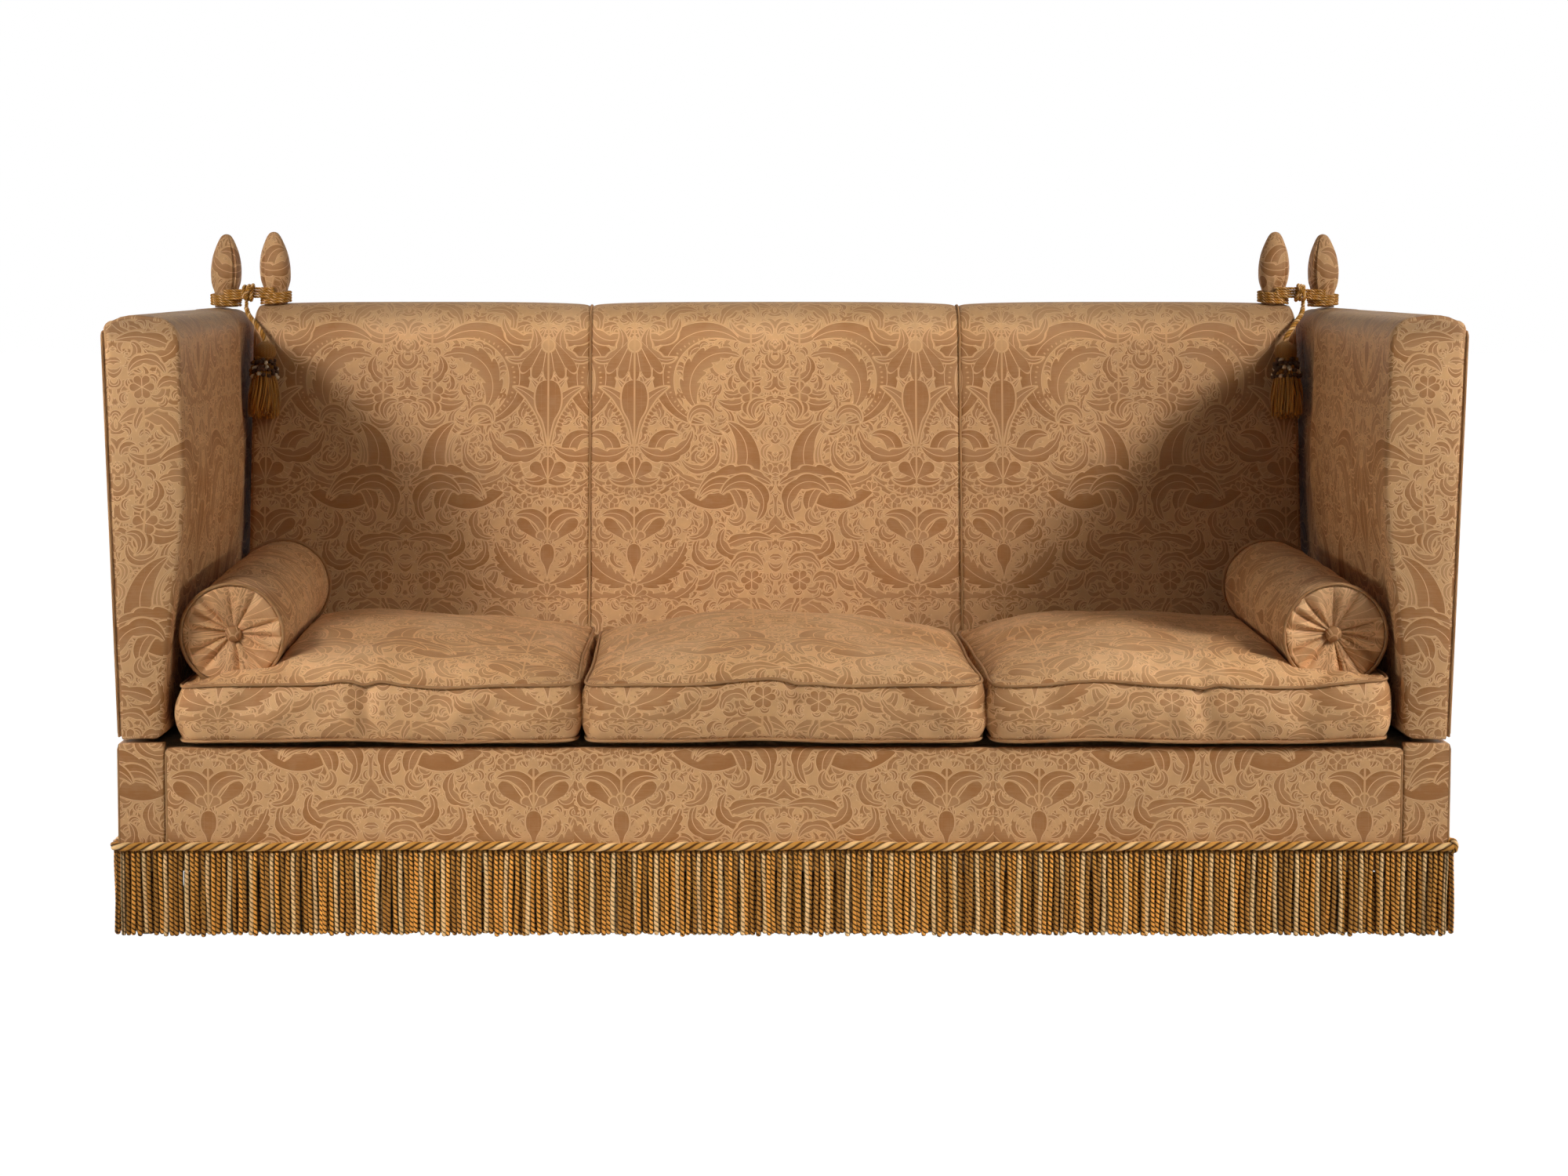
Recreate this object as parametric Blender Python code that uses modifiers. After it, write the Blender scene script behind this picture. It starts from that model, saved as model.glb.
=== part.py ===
"""A three-seat Knole sofa with drop arms, tied finials, loose cushions, bolsters and a bullion fringe.

Sizes are metres. +Z is up, the seat faces -Y, and the left end is the one at -X. Three coordinates place
the pieces: s runs outwards from the middle, d runs back from the front plane and z runs up from the floor.
An arm has its own: u runs inwards from its outer face, v back from its front and w up from its foot.
"""

import math

import bmesh
import bpy
from mathutils import Matrix, Vector

# Fits
SEAT_GAP = 0.0003
SOFT_GAP = 0.0008
CUT_OVERRUN = 0.02
WELD = 0.00005

# Base
BASE_HALF_WIDTH = 1.116
BODY_DEPTH = 0.921
FOOT_HEIGHT = 0.115
FOOT_TOP_RADIUS = 0.026
FOOT_LOW_RADIUS = 0.020
BASE_TOP = 0.330
BORDER_TOP_DROP = 0.008
BORDER_THICKNESS = 0.0215
BORDER_EDGE = 0.008
SIDE_BLOCK_WIDTH = 0.078
SIDE_WALL = 0.0117
COVER_EDGE = 0.005
COVER_LAP = 0.002
RAIL_THICKNESS = 0.040
FRONT_RAIL_THICKNESS = 0.030
REAR_RAIL_THICKNESS = 0.045
FRONT_RAIL_DROP = 0.004
REAR_PANEL_THICKNESS = 0.005
WEBBING_THICKNESS = 0.002
WEBBING_STRAP = 0.060
WEBBING_CROSS_STRAPS = 9
WEBBING_LONG_STRAPS = 3
DECK_THICKNESS = 0.040

# Back
BACK_END_INSET = 0.101
BACK_SEAM_SHARE = 0.353
BACK_SEAM_EDGE = 0.005
BACK_END_EDGE = 0.014
BACK_FOOT_THICKNESS = 0.257
BACK_LEAN = math.radians(10)
BACK_RISE = 0.006
BACK_ROLL_HEIGHT = 0.060
BACK_RAIL_COVER = 0.061
BACK_RAIL_THICKNESS = 0.030
BACK_RAIL_PADDING = 0.0204
BACK_POST_WIDTH = 0.060
BACK_POST_THICKNESS = 0.040
BACK_POST_END_WALL = 0.030
BACK_RAIL_END_WALL = 0.020

# Arms
ARM_REAR_INSET = 0.016
ARM_HEIGHT = 0.709
ARM_LEAN = math.radians(1.56)
ARM_FOOT_THICKNESS = 0.080
ARM_BULGE = 0.051
ARM_REAR_BULGE_SHARE = 0.42
ARM_BULGE_ENDS_SHARE = 0.62
ARM_REAR_STARTS_SHARE = 0.75
ARM_PANEL_THICKNESS = 0.005
ARM_FOOT_OUTER_RADIUS = 0.008
ARM_FOOT_INNER_RADIUS = 0.020
ARM_TOP_INNER_RADIUS = 0.042
ARM_TOP_OUTER_RADIUS = 0.016
ARM_CREST_DROP = 0.004
ARM_FRONT_EDGE = 0.006
ARM_INNER_SHARES = ((0.16, 0.17), (0.30, 0.38), (0.44, 0.72), (0.58, 0.94), (0.80, 1.0))
MEMBER_THICKNESS = 0.040
POST_WIDTH = 0.060
POST_INSET_V = 0.035
REAR_POST_INSET_V = 0.015
ARM_BOTTOM_RAIL_HEIGHT = 0.070
ARM_TOP_RAIL_WIDTH = 0.078
ARM_TOP_RAIL_THICKNESS = 0.030
ARM_TOP_RAIL_COVER = 0.049
ARM_PANEL_TOP_DROP = 0.014

# Arm hinges
JOINT_GAP = 0.006
HINGE_INSET = 0.004
HINGE_START_V = 0.080
HINGE_END_INSET = 0.105
HINGE_WIDTH = 0.038
LEAF_THICKNESS = 0.0018
TAB_SHARE = 0.8
KNUCKLE_RADIUS = 0.0026
KNUCKLE_COUNT = 7
KNUCKLE_END_GAP = 0.0006
PIN_RADIUS = 0.0012
BORE_RADIUS = 0.0017
HINGE_SIDES = 12

# Finials
FINIAL_REAR_INSET = 0.081
ARM_FINIAL_U = 0.060
BACK_FINIAL_INSET = 0.037
FINIAL_FLATNESS_SHARE = 0.85
FINIAL_NECK_RADIUS = 0.0225
FINIAL_NECK_HEIGHT = 0.034
FINIAL_HEIGHT = 0.143
FINIAL_RADIUS = 0.031
FINIAL_STEPS = 16
FINIAL_PROFILE_SHARES = ((0.0, 0.0), (0.32, 0.035), (0.62, 0.13), (0.89, 0.32), (1.0, 0.53), (0.97, 0.72))
DOWEL_RADIUS = 0.009
DOWEL_LENGTH = 0.072
DOWEL_SIDES = 12

# Tie cords and tassels
CORD_RADIUS = 0.005
CORD_SELF_GAP = 0.0006
CORD_TURNS = 2.25
LOOP_POINTS = 24
KNOT_OUT = 0.012
KNOT_RADIUS = 0.0085
KNOT_TAIL_SHARES = ((0.7, 0.7), (1.0, 2.0), (1.0, 4.0))
TASSEL_RADIUS = 0.030
TASSEL_LENGTH = 0.150
TASSEL_LEAN = BACK_LEAN
TASSEL_STEPS = 16
TASSEL_PROFILE_SHARES = (
    (0.16, 0.0), (0.36, 0.03), (0.62, 0.10), (0.70, 0.20), (0.56, 0.29), (0.78, 0.34),
    (0.95, 0.42), (0.74, 0.50), (0.84, 0.62), (1.0, 0.84), (0.94, 1.0),
)
TASSEL_CORD_END_TAPER_SHARES = (0.20, 0.75, 1.0)
TASSEL_CORD_ROUTE = (
    (0.0, 0.0, -0.0010), (-0.0002, -0.0011, -0.0051), (-0.0020, -0.0051, -0.0096), (-0.0055, -0.0141, -0.0151),
    (-0.0115, -0.0266, -0.0216), (-0.0200, -0.0406, -0.0289), (-0.0290, -0.0521, -0.0381),
    (-0.0370, -0.0601, -0.0481), (-0.0430, -0.0646, -0.0571), (-0.0470, -0.0671, -0.0661),
)

# Seat cushions
CUSHION_SIDE_GAP = 0.020
CUSHION_GAP = 0.003
CUSHION_FRONT_D = -0.010
CUSHION_BACK_GAP = 0.004
CUSHION_BOXING = 0.098
CUSHION_LOW_EDGE_RISE = 0.012
CUSHION_CROWN = 0.072
CUSHION_WAIST = 0.007
CUSHION_CELLS = 5
CUSHION_RIM_SHARE = 0.99
CUSHION_SEAM_CREASE = 0.55
CUSHION_FRONT_DIP = 0.006

# Bolsters
BOLSTER_RADIUS = 0.0865
BOLSTER_REAR_GAP = 0.057
BOLSTER_END_INSET = 0.186
BOLSTER_FRONT_D = 0.042
BOLSTER_SINK = 0.0083
BOLSTER_TILT = math.radians(2.0)
BOLSTER_STEPS = 28
BOLSTER_END_DISH = 0.020
BOLSTER_WELT = 0.0025
BOLSTER_WAIST = 0.0015
BOLSTER_END_SHARES = ((0.45, 0.55), (0.75, 0.90))
BOLSTER_SHOULDER_SHARES = (0.80, 0.75, 0.40)
BUTTON_RADIUS = 0.0125
BUTTON_HEIGHT = 0.009
BUTTON_PROFILE_SHARES = ((0.0, 1.0), (0.6, 0.85), (1.0, 0.4), (0.8, 0.0), (0.0, 0.0))
BUTTON_STEPS = 14

# Trim
ROPE_RADIUS = 0.0065
ROPE_RISE = 0.045
ROPE_CORNER_STEPS = 4
FRINGE_LOW = 0.006
FRINGE_THICKNESS = 0.0092
FRINGE_RIB_DEPTH = 0.0026
FRINGE_RIB_PITCH = 0.0276

# Colours, as linear red, green and blue
DAMASK = (0.431, 0.254, 0.119)
BEECH = (0.520, 0.352, 0.195)
HESSIAN = (0.340, 0.245, 0.138)
JUTE = (0.300, 0.200, 0.100)
STEEL = (0.480, 0.470, 0.450)
GOLD_CORD = (0.500, 0.290, 0.085)
GOLD_BULLION = (0.440, 0.245, 0.080)
TASSEL_GOLD = (0.370, 0.160, 0.022)
WALNUT = (0.110, 0.058, 0.030)

# Places worked out from the sizes
FRONT_Y = -BODY_DEPTH / 2
BORDER_TOP = BASE_TOP - BORDER_TOP_DROP
COVER_LOW = FOOT_HEIGHT - COVER_LAP
ROPE_Z = COVER_LOW + ROPE_RISE
ARM_BOTTOM_Z = BASE_TOP + JOINT_GAP
HINGE_Z = BASE_TOP + JOINT_GAP / 2
HINGE_S = BASE_HALF_WIDTH - HINGE_INSET
REAR_PANEL_D = BODY_DEPTH - REAR_PANEL_THICKNESS
REAR_RAIL_D = REAR_PANEL_D - SEAT_GAP - REAR_RAIL_THICKNESS
FRONT_RAIL_D = BORDER_THICKNESS + SEAT_GAP
SIDE_RAIL_S = BASE_HALF_WIDTH - SIDE_WALL - SEAT_GAP - RAIL_THICKNESS
SEAT_HALF_WIDTH = BASE_HALF_WIDTH - SIDE_BLOCK_WIDTH
DECK_TOP = BASE_TOP
RAIL_TOP = BASE_TOP - SEAT_GAP
RAIL_LOW = FOOT_HEIGHT + SEAT_GAP
CUSHION_LOW = DECK_TOP + SEAT_GAP
ARM_LENGTH = BODY_DEPTH - ARM_REAR_INSET
ARM_TOP_RAIL_TOP_W = ARM_HEIGHT - ARM_TOP_RAIL_COVER
HINGE_LENGTH = ARM_LENGTH - HINGE_START_V - HINGE_END_INSET
FINIAL_D = BODY_DEPTH - FINIAL_REAR_INSET
MEMBER_U = ARM_PANEL_THICKNESS + 2 * SEAT_GAP
REAR_POST_V = ARM_LENGTH - REAR_POST_INSET_V - POST_WIDTH
BACK_PAD_REAR_D = REAR_PANEL_D - SEAT_GAP
BACK_CREST = ARM_BOTTOM_Z + ARM_HEIGHT + BACK_RISE
BACK_HALF_WIDTH = BASE_HALF_WIDTH - BACK_END_INSET
BACK_SEAM_S = BACK_HALF_WIDTH * BACK_SEAM_SHARE
BACK_FOOT_D = BODY_DEPTH - BACK_FOOT_THICKNESS
BACK_RAIL_TOP = BACK_CREST - BACK_RAIL_COVER
BACK_FINIAL_S = BACK_HALF_WIDTH - BACK_FINIAL_INSET
KNOT_S = BACK_HALF_WIDTH + KNOT_OUT
BACK_ROLL_Z = BACK_CREST - BACK_ROLL_HEIGHT
BOLSTER_S = BASE_HALF_WIDTH - BOLSTER_END_INSET
BOLSTER_LENGTH = BACK_FOOT_D - BOLSTER_FRONT_D - BOLSTER_REAR_GAP
BOLSTER_FRONT_Z = CUSHION_LOW + CUSHION_BOXING + BOLSTER_RADIUS - BOLSTER_SINK
BOLSTER_PLACE_D = BOLSTER_FRONT_D + BOLSTER_LENGTH / 2
BOLSTER_PLACE_Z = BOLSTER_FRONT_Z + math.tan(BOLSTER_TILT) * BOLSTER_LENGTH / 2

PARTS = None
CUTTERS = None


def clear_scene():
    """Empties the file and makes the collections for the parts and for what cuts them."""
    global PARTS, CUTTERS
    for obj in list(bpy.data.objects):
        bpy.data.objects.remove(obj)
    PARTS = bpy.data.collections.new("knole_sofa")
    CUTTERS = bpy.data.collections.new("cutters")
    for collection in (PARTS, CUTTERS):
        bpy.context.scene.collection.children.link(collection)


def material(name, colour, roughness, metallic=0.0):
    """A Principled material of one colour."""
    made = bpy.data.materials.new(name)
    made.use_nodes = True
    shader = made.node_tree.nodes["Principled BSDF"]
    shader.inputs["Base Color"].default_value = (*colour, 1.0)
    shader.inputs["Roughness"].default_value = roughness
    shader.inputs["Metallic"].default_value = metallic
    return made


def world(s, d, z, side=1):
    """The world point s out from the middle on one side, d behind the front plane and z up."""
    return Vector((side * s, FRONT_Y + d, z))


def in_arm(side, u, v, w):
    """A point of an upright arm, measured from its hinge axis."""
    return Vector((side * (HINGE_INSET - u), FRONT_Y + v, w + JOINT_GAP / 2))


def add(name, data, finish, place=None, parent=None, collection=None):
    """Links a new object that holds data, with its material, place and parent."""
    obj = bpy.data.objects.new(name, data)
    (collection or PARTS).objects.link(obj)
    if finish is not None:
        data.materials.append(finish)
    obj.parent = parent
    obj.location = place or Vector()
    return obj


def mesh_from(name, form):
    """Turns a bmesh into a mesh with its faces pointing out."""
    bmesh.ops.recalc_face_normals(form, faces=form.faces)
    data = bpy.data.meshes.new(name)
    form.to_mesh(data)
    form.free()
    return data


def smooth(obj, angle=math.radians(40)):
    """Shades a mesh smooth, with its sharper edges kept."""
    obj.data.shade_smooth()
    obj.data.set_sharp_from_angle(angle=angle)
    return obj


def bevel(obj, width, segments=2):
    """Rounds the edges of a hard-edged mesh."""
    modifier = obj.modifiers.new("edges", "BEVEL")
    modifier.width = width
    modifier.segments = segments
    modifier.limit_method = "ANGLE"
    return obj


def bevel_outside(obj, width):
    """Rounds the edges that stand out and leaves the inside corners sharp."""
    form = bmesh.new()
    form.from_mesh(obj.data)
    weight = form.edges.layers.float.new("bevel_weight_edge")
    for edge in form.edges:
        edge[weight] = float(edge.is_convex)
    form.to_mesh(obj.data)
    form.free()
    bevel(obj, width).modifiers["edges"].limit_method = "WEIGHT"


def box(name, corner, opposite, finish, parent=None, edge=0.0, collection=None):
    """A box between two opposite corners, placed by its centre."""
    low = Vector(map(min, corner, opposite))
    high = Vector(map(max, corner, opposite))
    form = bmesh.new()
    bmesh.ops.create_cube(form, size=1.0, matrix=Matrix.Diagonal((*(high - low), 1.0)))
    obj = add(name, mesh_from(name, form), finish, (low + high) / 2, parent, collection)
    return bevel(obj, edge) if edge else obj


def as_cutter(obj):
    """Marks an object as a helper that only cuts or joins."""
    obj.hide_render = True
    obj.display_type = "WIRE"
    return obj


def boolean(obj, other, operation="DIFFERENCE"):
    """Cuts or joins one mesh with another."""
    modifier = obj.modifiers.new(other.name, "BOOLEAN")
    modifier.operation = operation
    modifier.solver = "EXACT"
    modifier.object = other
    return obj


def cut_box(obj, name, corner, opposite, parent=None):
    """Cuts a box-shaped pocket."""
    return boolean(obj, as_cutter(box(name, corner, opposite, None, parent, collection=CUTTERS)))


def cylinder(form, radius, depth, sides, matrix):
    """Adds a closed cylinder to a bmesh."""
    bmesh.ops.create_cone(
        form, cap_ends=True, segments=sides, radius1=radius, radius2=radius, depth=depth, matrix=matrix
    )


def cut_bore(obj, name, place, depth, radius, sides, parent=None, turn=None):
    """Cuts a round hole centred on a place, upright unless it is turned."""
    form = bmesh.new()
    cylinder(form, radius / math.cos(math.pi / sides), depth, sides, Matrix())
    cutter = add(name, mesh_from(name, form), None, place, parent, CUTTERS)
    if turn is not None:
        cutter.rotation_euler = turn
    return boolean(obj, as_cutter(cutter))


def turned(name, profile, steps, finish, place, parent=None):
    """A shape turned about its own Z axis from (radius, height) points that run from top to bottom."""
    form = bmesh.new()
    points = [form.verts.new((radius, 0.0, height)) for radius, height in profile]
    for upper, lower in zip(points, points[1:]):
        form.edges.new((upper, lower))
    data = bpy.data.meshes.new(name)
    form.to_mesh(data)
    form.free()
    obj = add(name, data, finish, place, parent)
    screw = obj.modifiers.new("turn", "SCREW")
    screw.steps = screw.render_steps = steps
    screw.use_merge_vertices = True
    screw.merge_threshold = WELD
    screw.use_smooth_shade = True
    return obj


def tube(name, points, radius, finish, parent=None, cyclic=False, widths=None, resolution=1):
    """A round tube along a run of points."""
    data = bpy.data.curves.new(name, "CURVE")
    data.dimensions = "3D"
    data.bevel_depth = radius
    data.bevel_resolution = resolution
    data.use_fill_caps = True
    spline = data.splines.new("POLY")
    spline.points.add(len(points) - 1)
    for index, (point, place) in enumerate(zip(spline.points, points)):
        point.co = (*place, 1.0)
        point.radius = widths[index] if widths else 1.0
    spline.use_cyclic_u = cyclic
    return add(name, data, finish, parent=parent)


def plate(name, outlines, thickness, finish, place, upright=False):
    """A flat piece from one or more closed outlines, lying flat or upright across the sofa."""
    data = bpy.data.curves.new(name, "CURVE")
    data.dimensions = "2D"
    data.fill_mode = "BOTH"
    data.extrude = thickness / 2
    for outline in outlines:
        spline = data.splines.new("POLY")
        spline.points.add(len(outline) - 1)
        for point, (x, y) in zip(spline.points, outline):
            point.co = (x, y, 0.0, 1.0)
        spline.use_cyclic_u = True
    obj = add(name, data, finish, place)
    if upright:
        obj.rotation_euler = (math.pi / 2, 0.0, 0.0)
    return obj


def rectangle(half_x, half_y, x=0.0, y=0.0):
    """The corners of an upright rectangle about a point."""
    return [(x - half_x, y - half_y), (x + half_x, y - half_y), (x + half_x, y + half_y), (x - half_x, y + half_y)]


def arc(centre, radii, start, end, steps):
    """Points along an elliptical arc, with its angles in degrees."""
    angles = (math.radians(start + (end - start) * i / steps) for i in range(steps + 1))
    return [(centre[0] + radii[0] * math.cos(a), centre[1] + radii[1] * math.sin(a)) for a in angles]


def inset(outline, distance):
    """An outline that runs anticlockwise, moved inwards by a distance along its own normals."""
    if not distance:
        return list(outline)
    moved = []
    for index, point in enumerate(outline):
        before, after = outline[index - 1], outline[(index + 1) % len(outline)]
        along = Vector((after[0] - before[0], after[1] - before[1])).normalized()
        moved.append((point[0] - along.y * distance, point[1] + along.x * distance))
    return moved


def loft(name, rings, finish, place=None, parent=None):
    """A closed skin over rings of 3-D points that all have the same count."""
    form = bmesh.new()
    rows = [[form.verts.new(point) for point in ring] for ring in rings]
    count = len(rows[0])
    for near, far in zip(rows, rows[1:]):
        for i in range(count):
            form.faces.new((near[i], near[(i + 1) % count], far[(i + 1) % count], far[i]))
    form.faces.new(rows[0])
    form.faces.new(rows[-1])
    return smooth(add(name, mesh_from(name, form), finish, place, parent))


def make_base_frame(beech, jute, hessian, walnut):
    """The beech rails, the feet, the webbing, the sprung block and the stuffed deck over it."""
    front = REAR_RAIL_D
    for name, side in (("left_side_rail", -1), ("right_side_rail", 1)):
        low = world(SIDE_RAIL_S, FRONT_RAIL_D, RAIL_LOW, side)
        high = world(SIDE_RAIL_S + RAIL_THICKNESS, REAR_PANEL_D - SEAT_GAP, RAIL_TOP, side)
        box(name, low, high, beech)
    across = SIDE_RAIL_S - SEAT_GAP
    front_rail_back = FRONT_RAIL_D + FRONT_RAIL_THICKNESS
    box(
        "front_rail", world(-across, FRONT_RAIL_D, RAIL_LOW),
        world(across, front_rail_back, BORDER_TOP - FRONT_RAIL_DROP), beech,
    )
    box("rear_rail", world(-across, front, RAIL_LOW), world(across, front + REAR_RAIL_THICKNESS, RAIL_TOP), beech)

    inside_front, inside_back = front_rail_back + SEAT_GAP, front - SEAT_GAP
    half_x, half_y = across - SEAT_GAP, (inside_back - inside_front) / 2
    middle_y = (inside_front + inside_back) / 2
    webbing = [rectangle(half_x, half_y)]
    columns, rows = WEBBING_CROSS_STRAPS + 1, WEBBING_LONG_STRAPS + 1
    hole_x = (2 * half_x - (columns + 1) * WEBBING_STRAP) / columns
    hole_y = (2 * half_y - (rows + 1) * WEBBING_STRAP) / rows
    for column in range(columns):
        for row in range(rows):
            x = -half_x + WEBBING_STRAP + hole_x / 2 + column * (hole_x + WEBBING_STRAP)
            y = -half_y + WEBBING_STRAP + hole_y / 2 + row * (hole_y + WEBBING_STRAP)
            webbing.append(rectangle(hole_x / 2, hole_y / 2, x, y))
    plate("seat_webbing", webbing, WEBBING_THICKNESS, jute, world(0.0, middle_y, RAIL_LOW + WEBBING_THICKNESS / 2))
    block_low = RAIL_LOW + WEBBING_THICKNESS + SEAT_GAP
    block_high = DECK_TOP - DECK_THICKNESS
    box(
        "sprung_seat_block", world(-half_x, inside_front, block_low),
        world(half_x, inside_back, block_high - SEAT_GAP), hessian,
    )
    box("seat_deck", world(-half_x, inside_front, block_high), world(half_x, inside_back, DECK_TOP), hessian)

    foot_s = SIDE_RAIL_S + RAIL_THICKNESS - FOOT_TOP_RADIUS
    front_d, rear_d = FRONT_RAIL_D + FOOT_TOP_RADIUS, REAR_PANEL_D - SEAT_GAP - FOOT_TOP_RADIUS
    for name, s, d in (
        ("left_front_foot", -foot_s, front_d), ("middle_front_foot", 0.0, front_d),
        ("right_front_foot", foot_s, front_d), ("left_rear_foot", -foot_s, rear_d),
        ("middle_rear_foot", 0.0, rear_d), ("right_rear_foot", foot_s, rear_d),
    ):
        form = bmesh.new()
        bmesh.ops.create_cone(
            form, cap_ends=True, segments=HINGE_SIDES, radius1=FOOT_LOW_RADIUS, radius2=FOOT_TOP_RADIUS,
            depth=FOOT_HEIGHT,
        )
        smooth(add(name, mesh_from(name, form), walnut, world(s, d, FOOT_HEIGHT / 2)))


def make_base_covers(damask):
    """The padded front border, the two side covers with their front blocks, and the outside back."""
    half = SEAT_HALF_WIDTH - SEAT_GAP
    border = box("front_border", world(-half, 0.0, COVER_LOW), world(half, BORDER_THICKNESS, BORDER_TOP), damask)
    bevel(border, BORDER_EDGE, 3)
    for name, side in (("left_base_cover", -1), ("right_base_cover", 1)):
        inner, wall = SEAT_HALF_WIDTH, BASE_HALF_WIDTH - SIDE_WALL
        outline = (
            (inner, 0.0), (BASE_HALF_WIDTH, 0.0), (BASE_HALF_WIDTH, BODY_DEPTH), (wall, BODY_DEPTH),
            (wall, BORDER_THICKNESS), (inner, BORDER_THICKNESS),
        )
        rings = [[world(s, d, z, side) for s, d in outline] for z in (COVER_LOW, BASE_TOP)]
        bevel_outside(loft(name, rings, damask), COVER_EDGE)
    low_half = BASE_HALF_WIDTH - SIDE_WALL - SEAT_GAP
    shoulder, top = BASE_TOP - COVER_LOW, BACK_RAIL_TOP - COVER_LOW
    corners = ((-low_half, 0.0), (low_half, 0.0), (low_half, shoulder), (BACK_HALF_WIDTH, shoulder),
               (BACK_HALF_WIDTH, top), (-BACK_HALF_WIDTH, top), (-BACK_HALF_WIDTH, shoulder), (-low_half, shoulder))
    rear_d = REAR_PANEL_D + REAR_PANEL_THICKNESS / 2
    plate("outside_back_panel", [corners], REAR_PANEL_THICKNESS, damask, world(0.0, rear_d, COVER_LOW), upright=True)


def back_front_d(z):
    """How far behind the front plane the padded back lies at a height."""
    return BACK_FOOT_D + (z - CUSHION_LOW) * math.tan(BACK_LEAN)


def back_outline():
    """The padded back seen from its end, anticlockwise in (d, z)."""
    roll_front = back_front_d(BACK_ROLL_Z)
    half = (BACK_PAD_REAR_D - roll_front) / 2
    top = arc((roll_front + half, BACK_ROLL_Z), (half, BACK_ROLL_HEIGHT), 0, 180, 9)
    front_steps = 3
    heights = [BACK_ROLL_Z + (CUSHION_LOW - BACK_ROLL_Z) * i / front_steps for i in range(1, front_steps + 1)]
    return [(BACK_PAD_REAR_D, CUSHION_LOW), *top, *((back_front_d(z), z) for z in heights)]


def make_back(damask, beech):
    """The posts and top rail of the back, and its three stuffed panels."""
    outline = back_outline()
    end = BACK_HALF_WIDTH
    seam = BACK_SEAM_S - SEAT_GAP / 2
    rail_low = BACK_RAIL_TOP - BACK_RAIL_THICKNESS
    rail_front = back_front_d(BACK_RAIL_TOP) + BACK_RAIL_PADDING
    rail_end = end - BACK_RAIL_END_WALL
    post_outer = end - BACK_POST_END_WALL
    post_inner = post_outer - BACK_POST_WIDTH
    post_front = BACK_PAD_REAR_D - SEAT_GAP - BACK_POST_THICKNESS
    post_rear = BACK_PAD_REAR_D - SEAT_GAP
    box("back_top_rail", world(-rail_end, rail_front, rail_low), world(rail_end, post_rear, BACK_RAIL_TOP), beech)
    for side, spelled in ((-1, "left"), (1, "right")):
        box(
            f"{spelled}_back_post", world(post_inner, post_front, RAIL_TOP + SEAT_GAP, side),
            world(post_outer, post_rear, rail_low - SEAT_GAP, side), beech,
        )
    bore_top = BACK_CREST + CUT_OVERRUN
    bore_depth = bore_top - (BACK_CREST - DOWEL_LENGTH - SEAT_GAP)
    rail = bpy.data.objects["back_top_rail"]
    for side, spelled in ((-1, "left"), (1, "right")):
        place = world(BACK_FINIAL_S, FINIAL_D, bore_top - bore_depth / 2, side)
        cut_bore(rail, f"{spelled}_rail_dowel_bore", place, bore_depth, DOWEL_RADIUS + SEAT_GAP, DOWEL_SIDES)
    for name, inner, outer, side in (
        ("left_back_panel", seam + SEAT_GAP, end, -1), ("middle_back_panel", -seam, seam, 1),
        ("right_back_panel", seam + SEAT_GAP, end, 1),
    ):
        last = BACK_END_EDGE if outer == end else BACK_SEAM_EDGE
        stops = (
            (inner, BACK_SEAM_EDGE), (inner + BACK_SEAM_EDGE, BACK_SEAM_EDGE / 4), (inner + 3 * BACK_SEAM_EDGE, 0.0),
            (outer - 2 * last, 0.0), (outer - last / 3, last / 3), (outer, last),
        )
        rings = [[world(s, d, z, side) for d, z in inset(outline, edge)] for s, edge in stops]
        pad = loft(name, rings, damask)
        reach = rail_end + SEAT_GAP if outer == end else outer + CUT_OVERRUN
        cut_box(
            pad, name + "_rail_pocket", world(inner - CUT_OVERRUN, rail_front - SEAT_GAP, rail_low - SEAT_GAP, side),
            world(reach, BODY_DEPTH + CUT_OVERRUN, BACK_RAIL_TOP + SEAT_GAP, side),
        )
        if outer != end:
            continue
        cut_box(
            pad, name + "_post_pocket",
            world(post_inner - SEAT_GAP, post_front - SEAT_GAP, CUSHION_LOW - CUT_OVERRUN, side),
            world(post_outer + SEAT_GAP, BODY_DEPTH + CUT_OVERRUN, rail_low + BACK_RAIL_THICKNESS / 2, side),
        )
        place = world(BACK_FINIAL_S, FINIAL_D, bore_top - bore_depth / 2, side)
        cut_bore(pad, name + "_dowel_bore", place, bore_depth, DOWEL_RADIUS + SEAT_GAP, DOWEL_SIDES)


def arm_outline(bulge_share):
    """The stuffed arm seen from the front, anticlockwise in (-u, w), with its inner side swelling by a share."""
    outer = ARM_PANEL_THICKNESS + SEAT_GAP
    swell = ARM_BULGE * bulge_share
    foot, crest = ARM_FOOT_THICKNESS, ARM_HEIGHT
    radius = ARM_FOOT_OUTER_RADIUS
    points = arc((outer + radius, radius), (radius, radius), 180, 270, 2)
    inner = ARM_FOOT_INNER_RADIUS
    points += arc((foot - inner, inner), (inner, inner), -90, 0, 3)
    points += [(foot + swell * out, crest * up) for up, out in ARM_INNER_SHARES]
    top = ARM_TOP_INNER_RADIUS
    points += arc((foot + swell - top, crest - top - ARM_CREST_DROP), (top, top), 10, 90, 3)
    points.append(((foot + swell + outer - top) / 2, crest))
    edge = ARM_TOP_OUTER_RADIUS
    points += arc((outer + edge, crest - edge - 2 * ARM_CREST_DROP), (edge, edge), 100, 180, 2)
    return points


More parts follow.
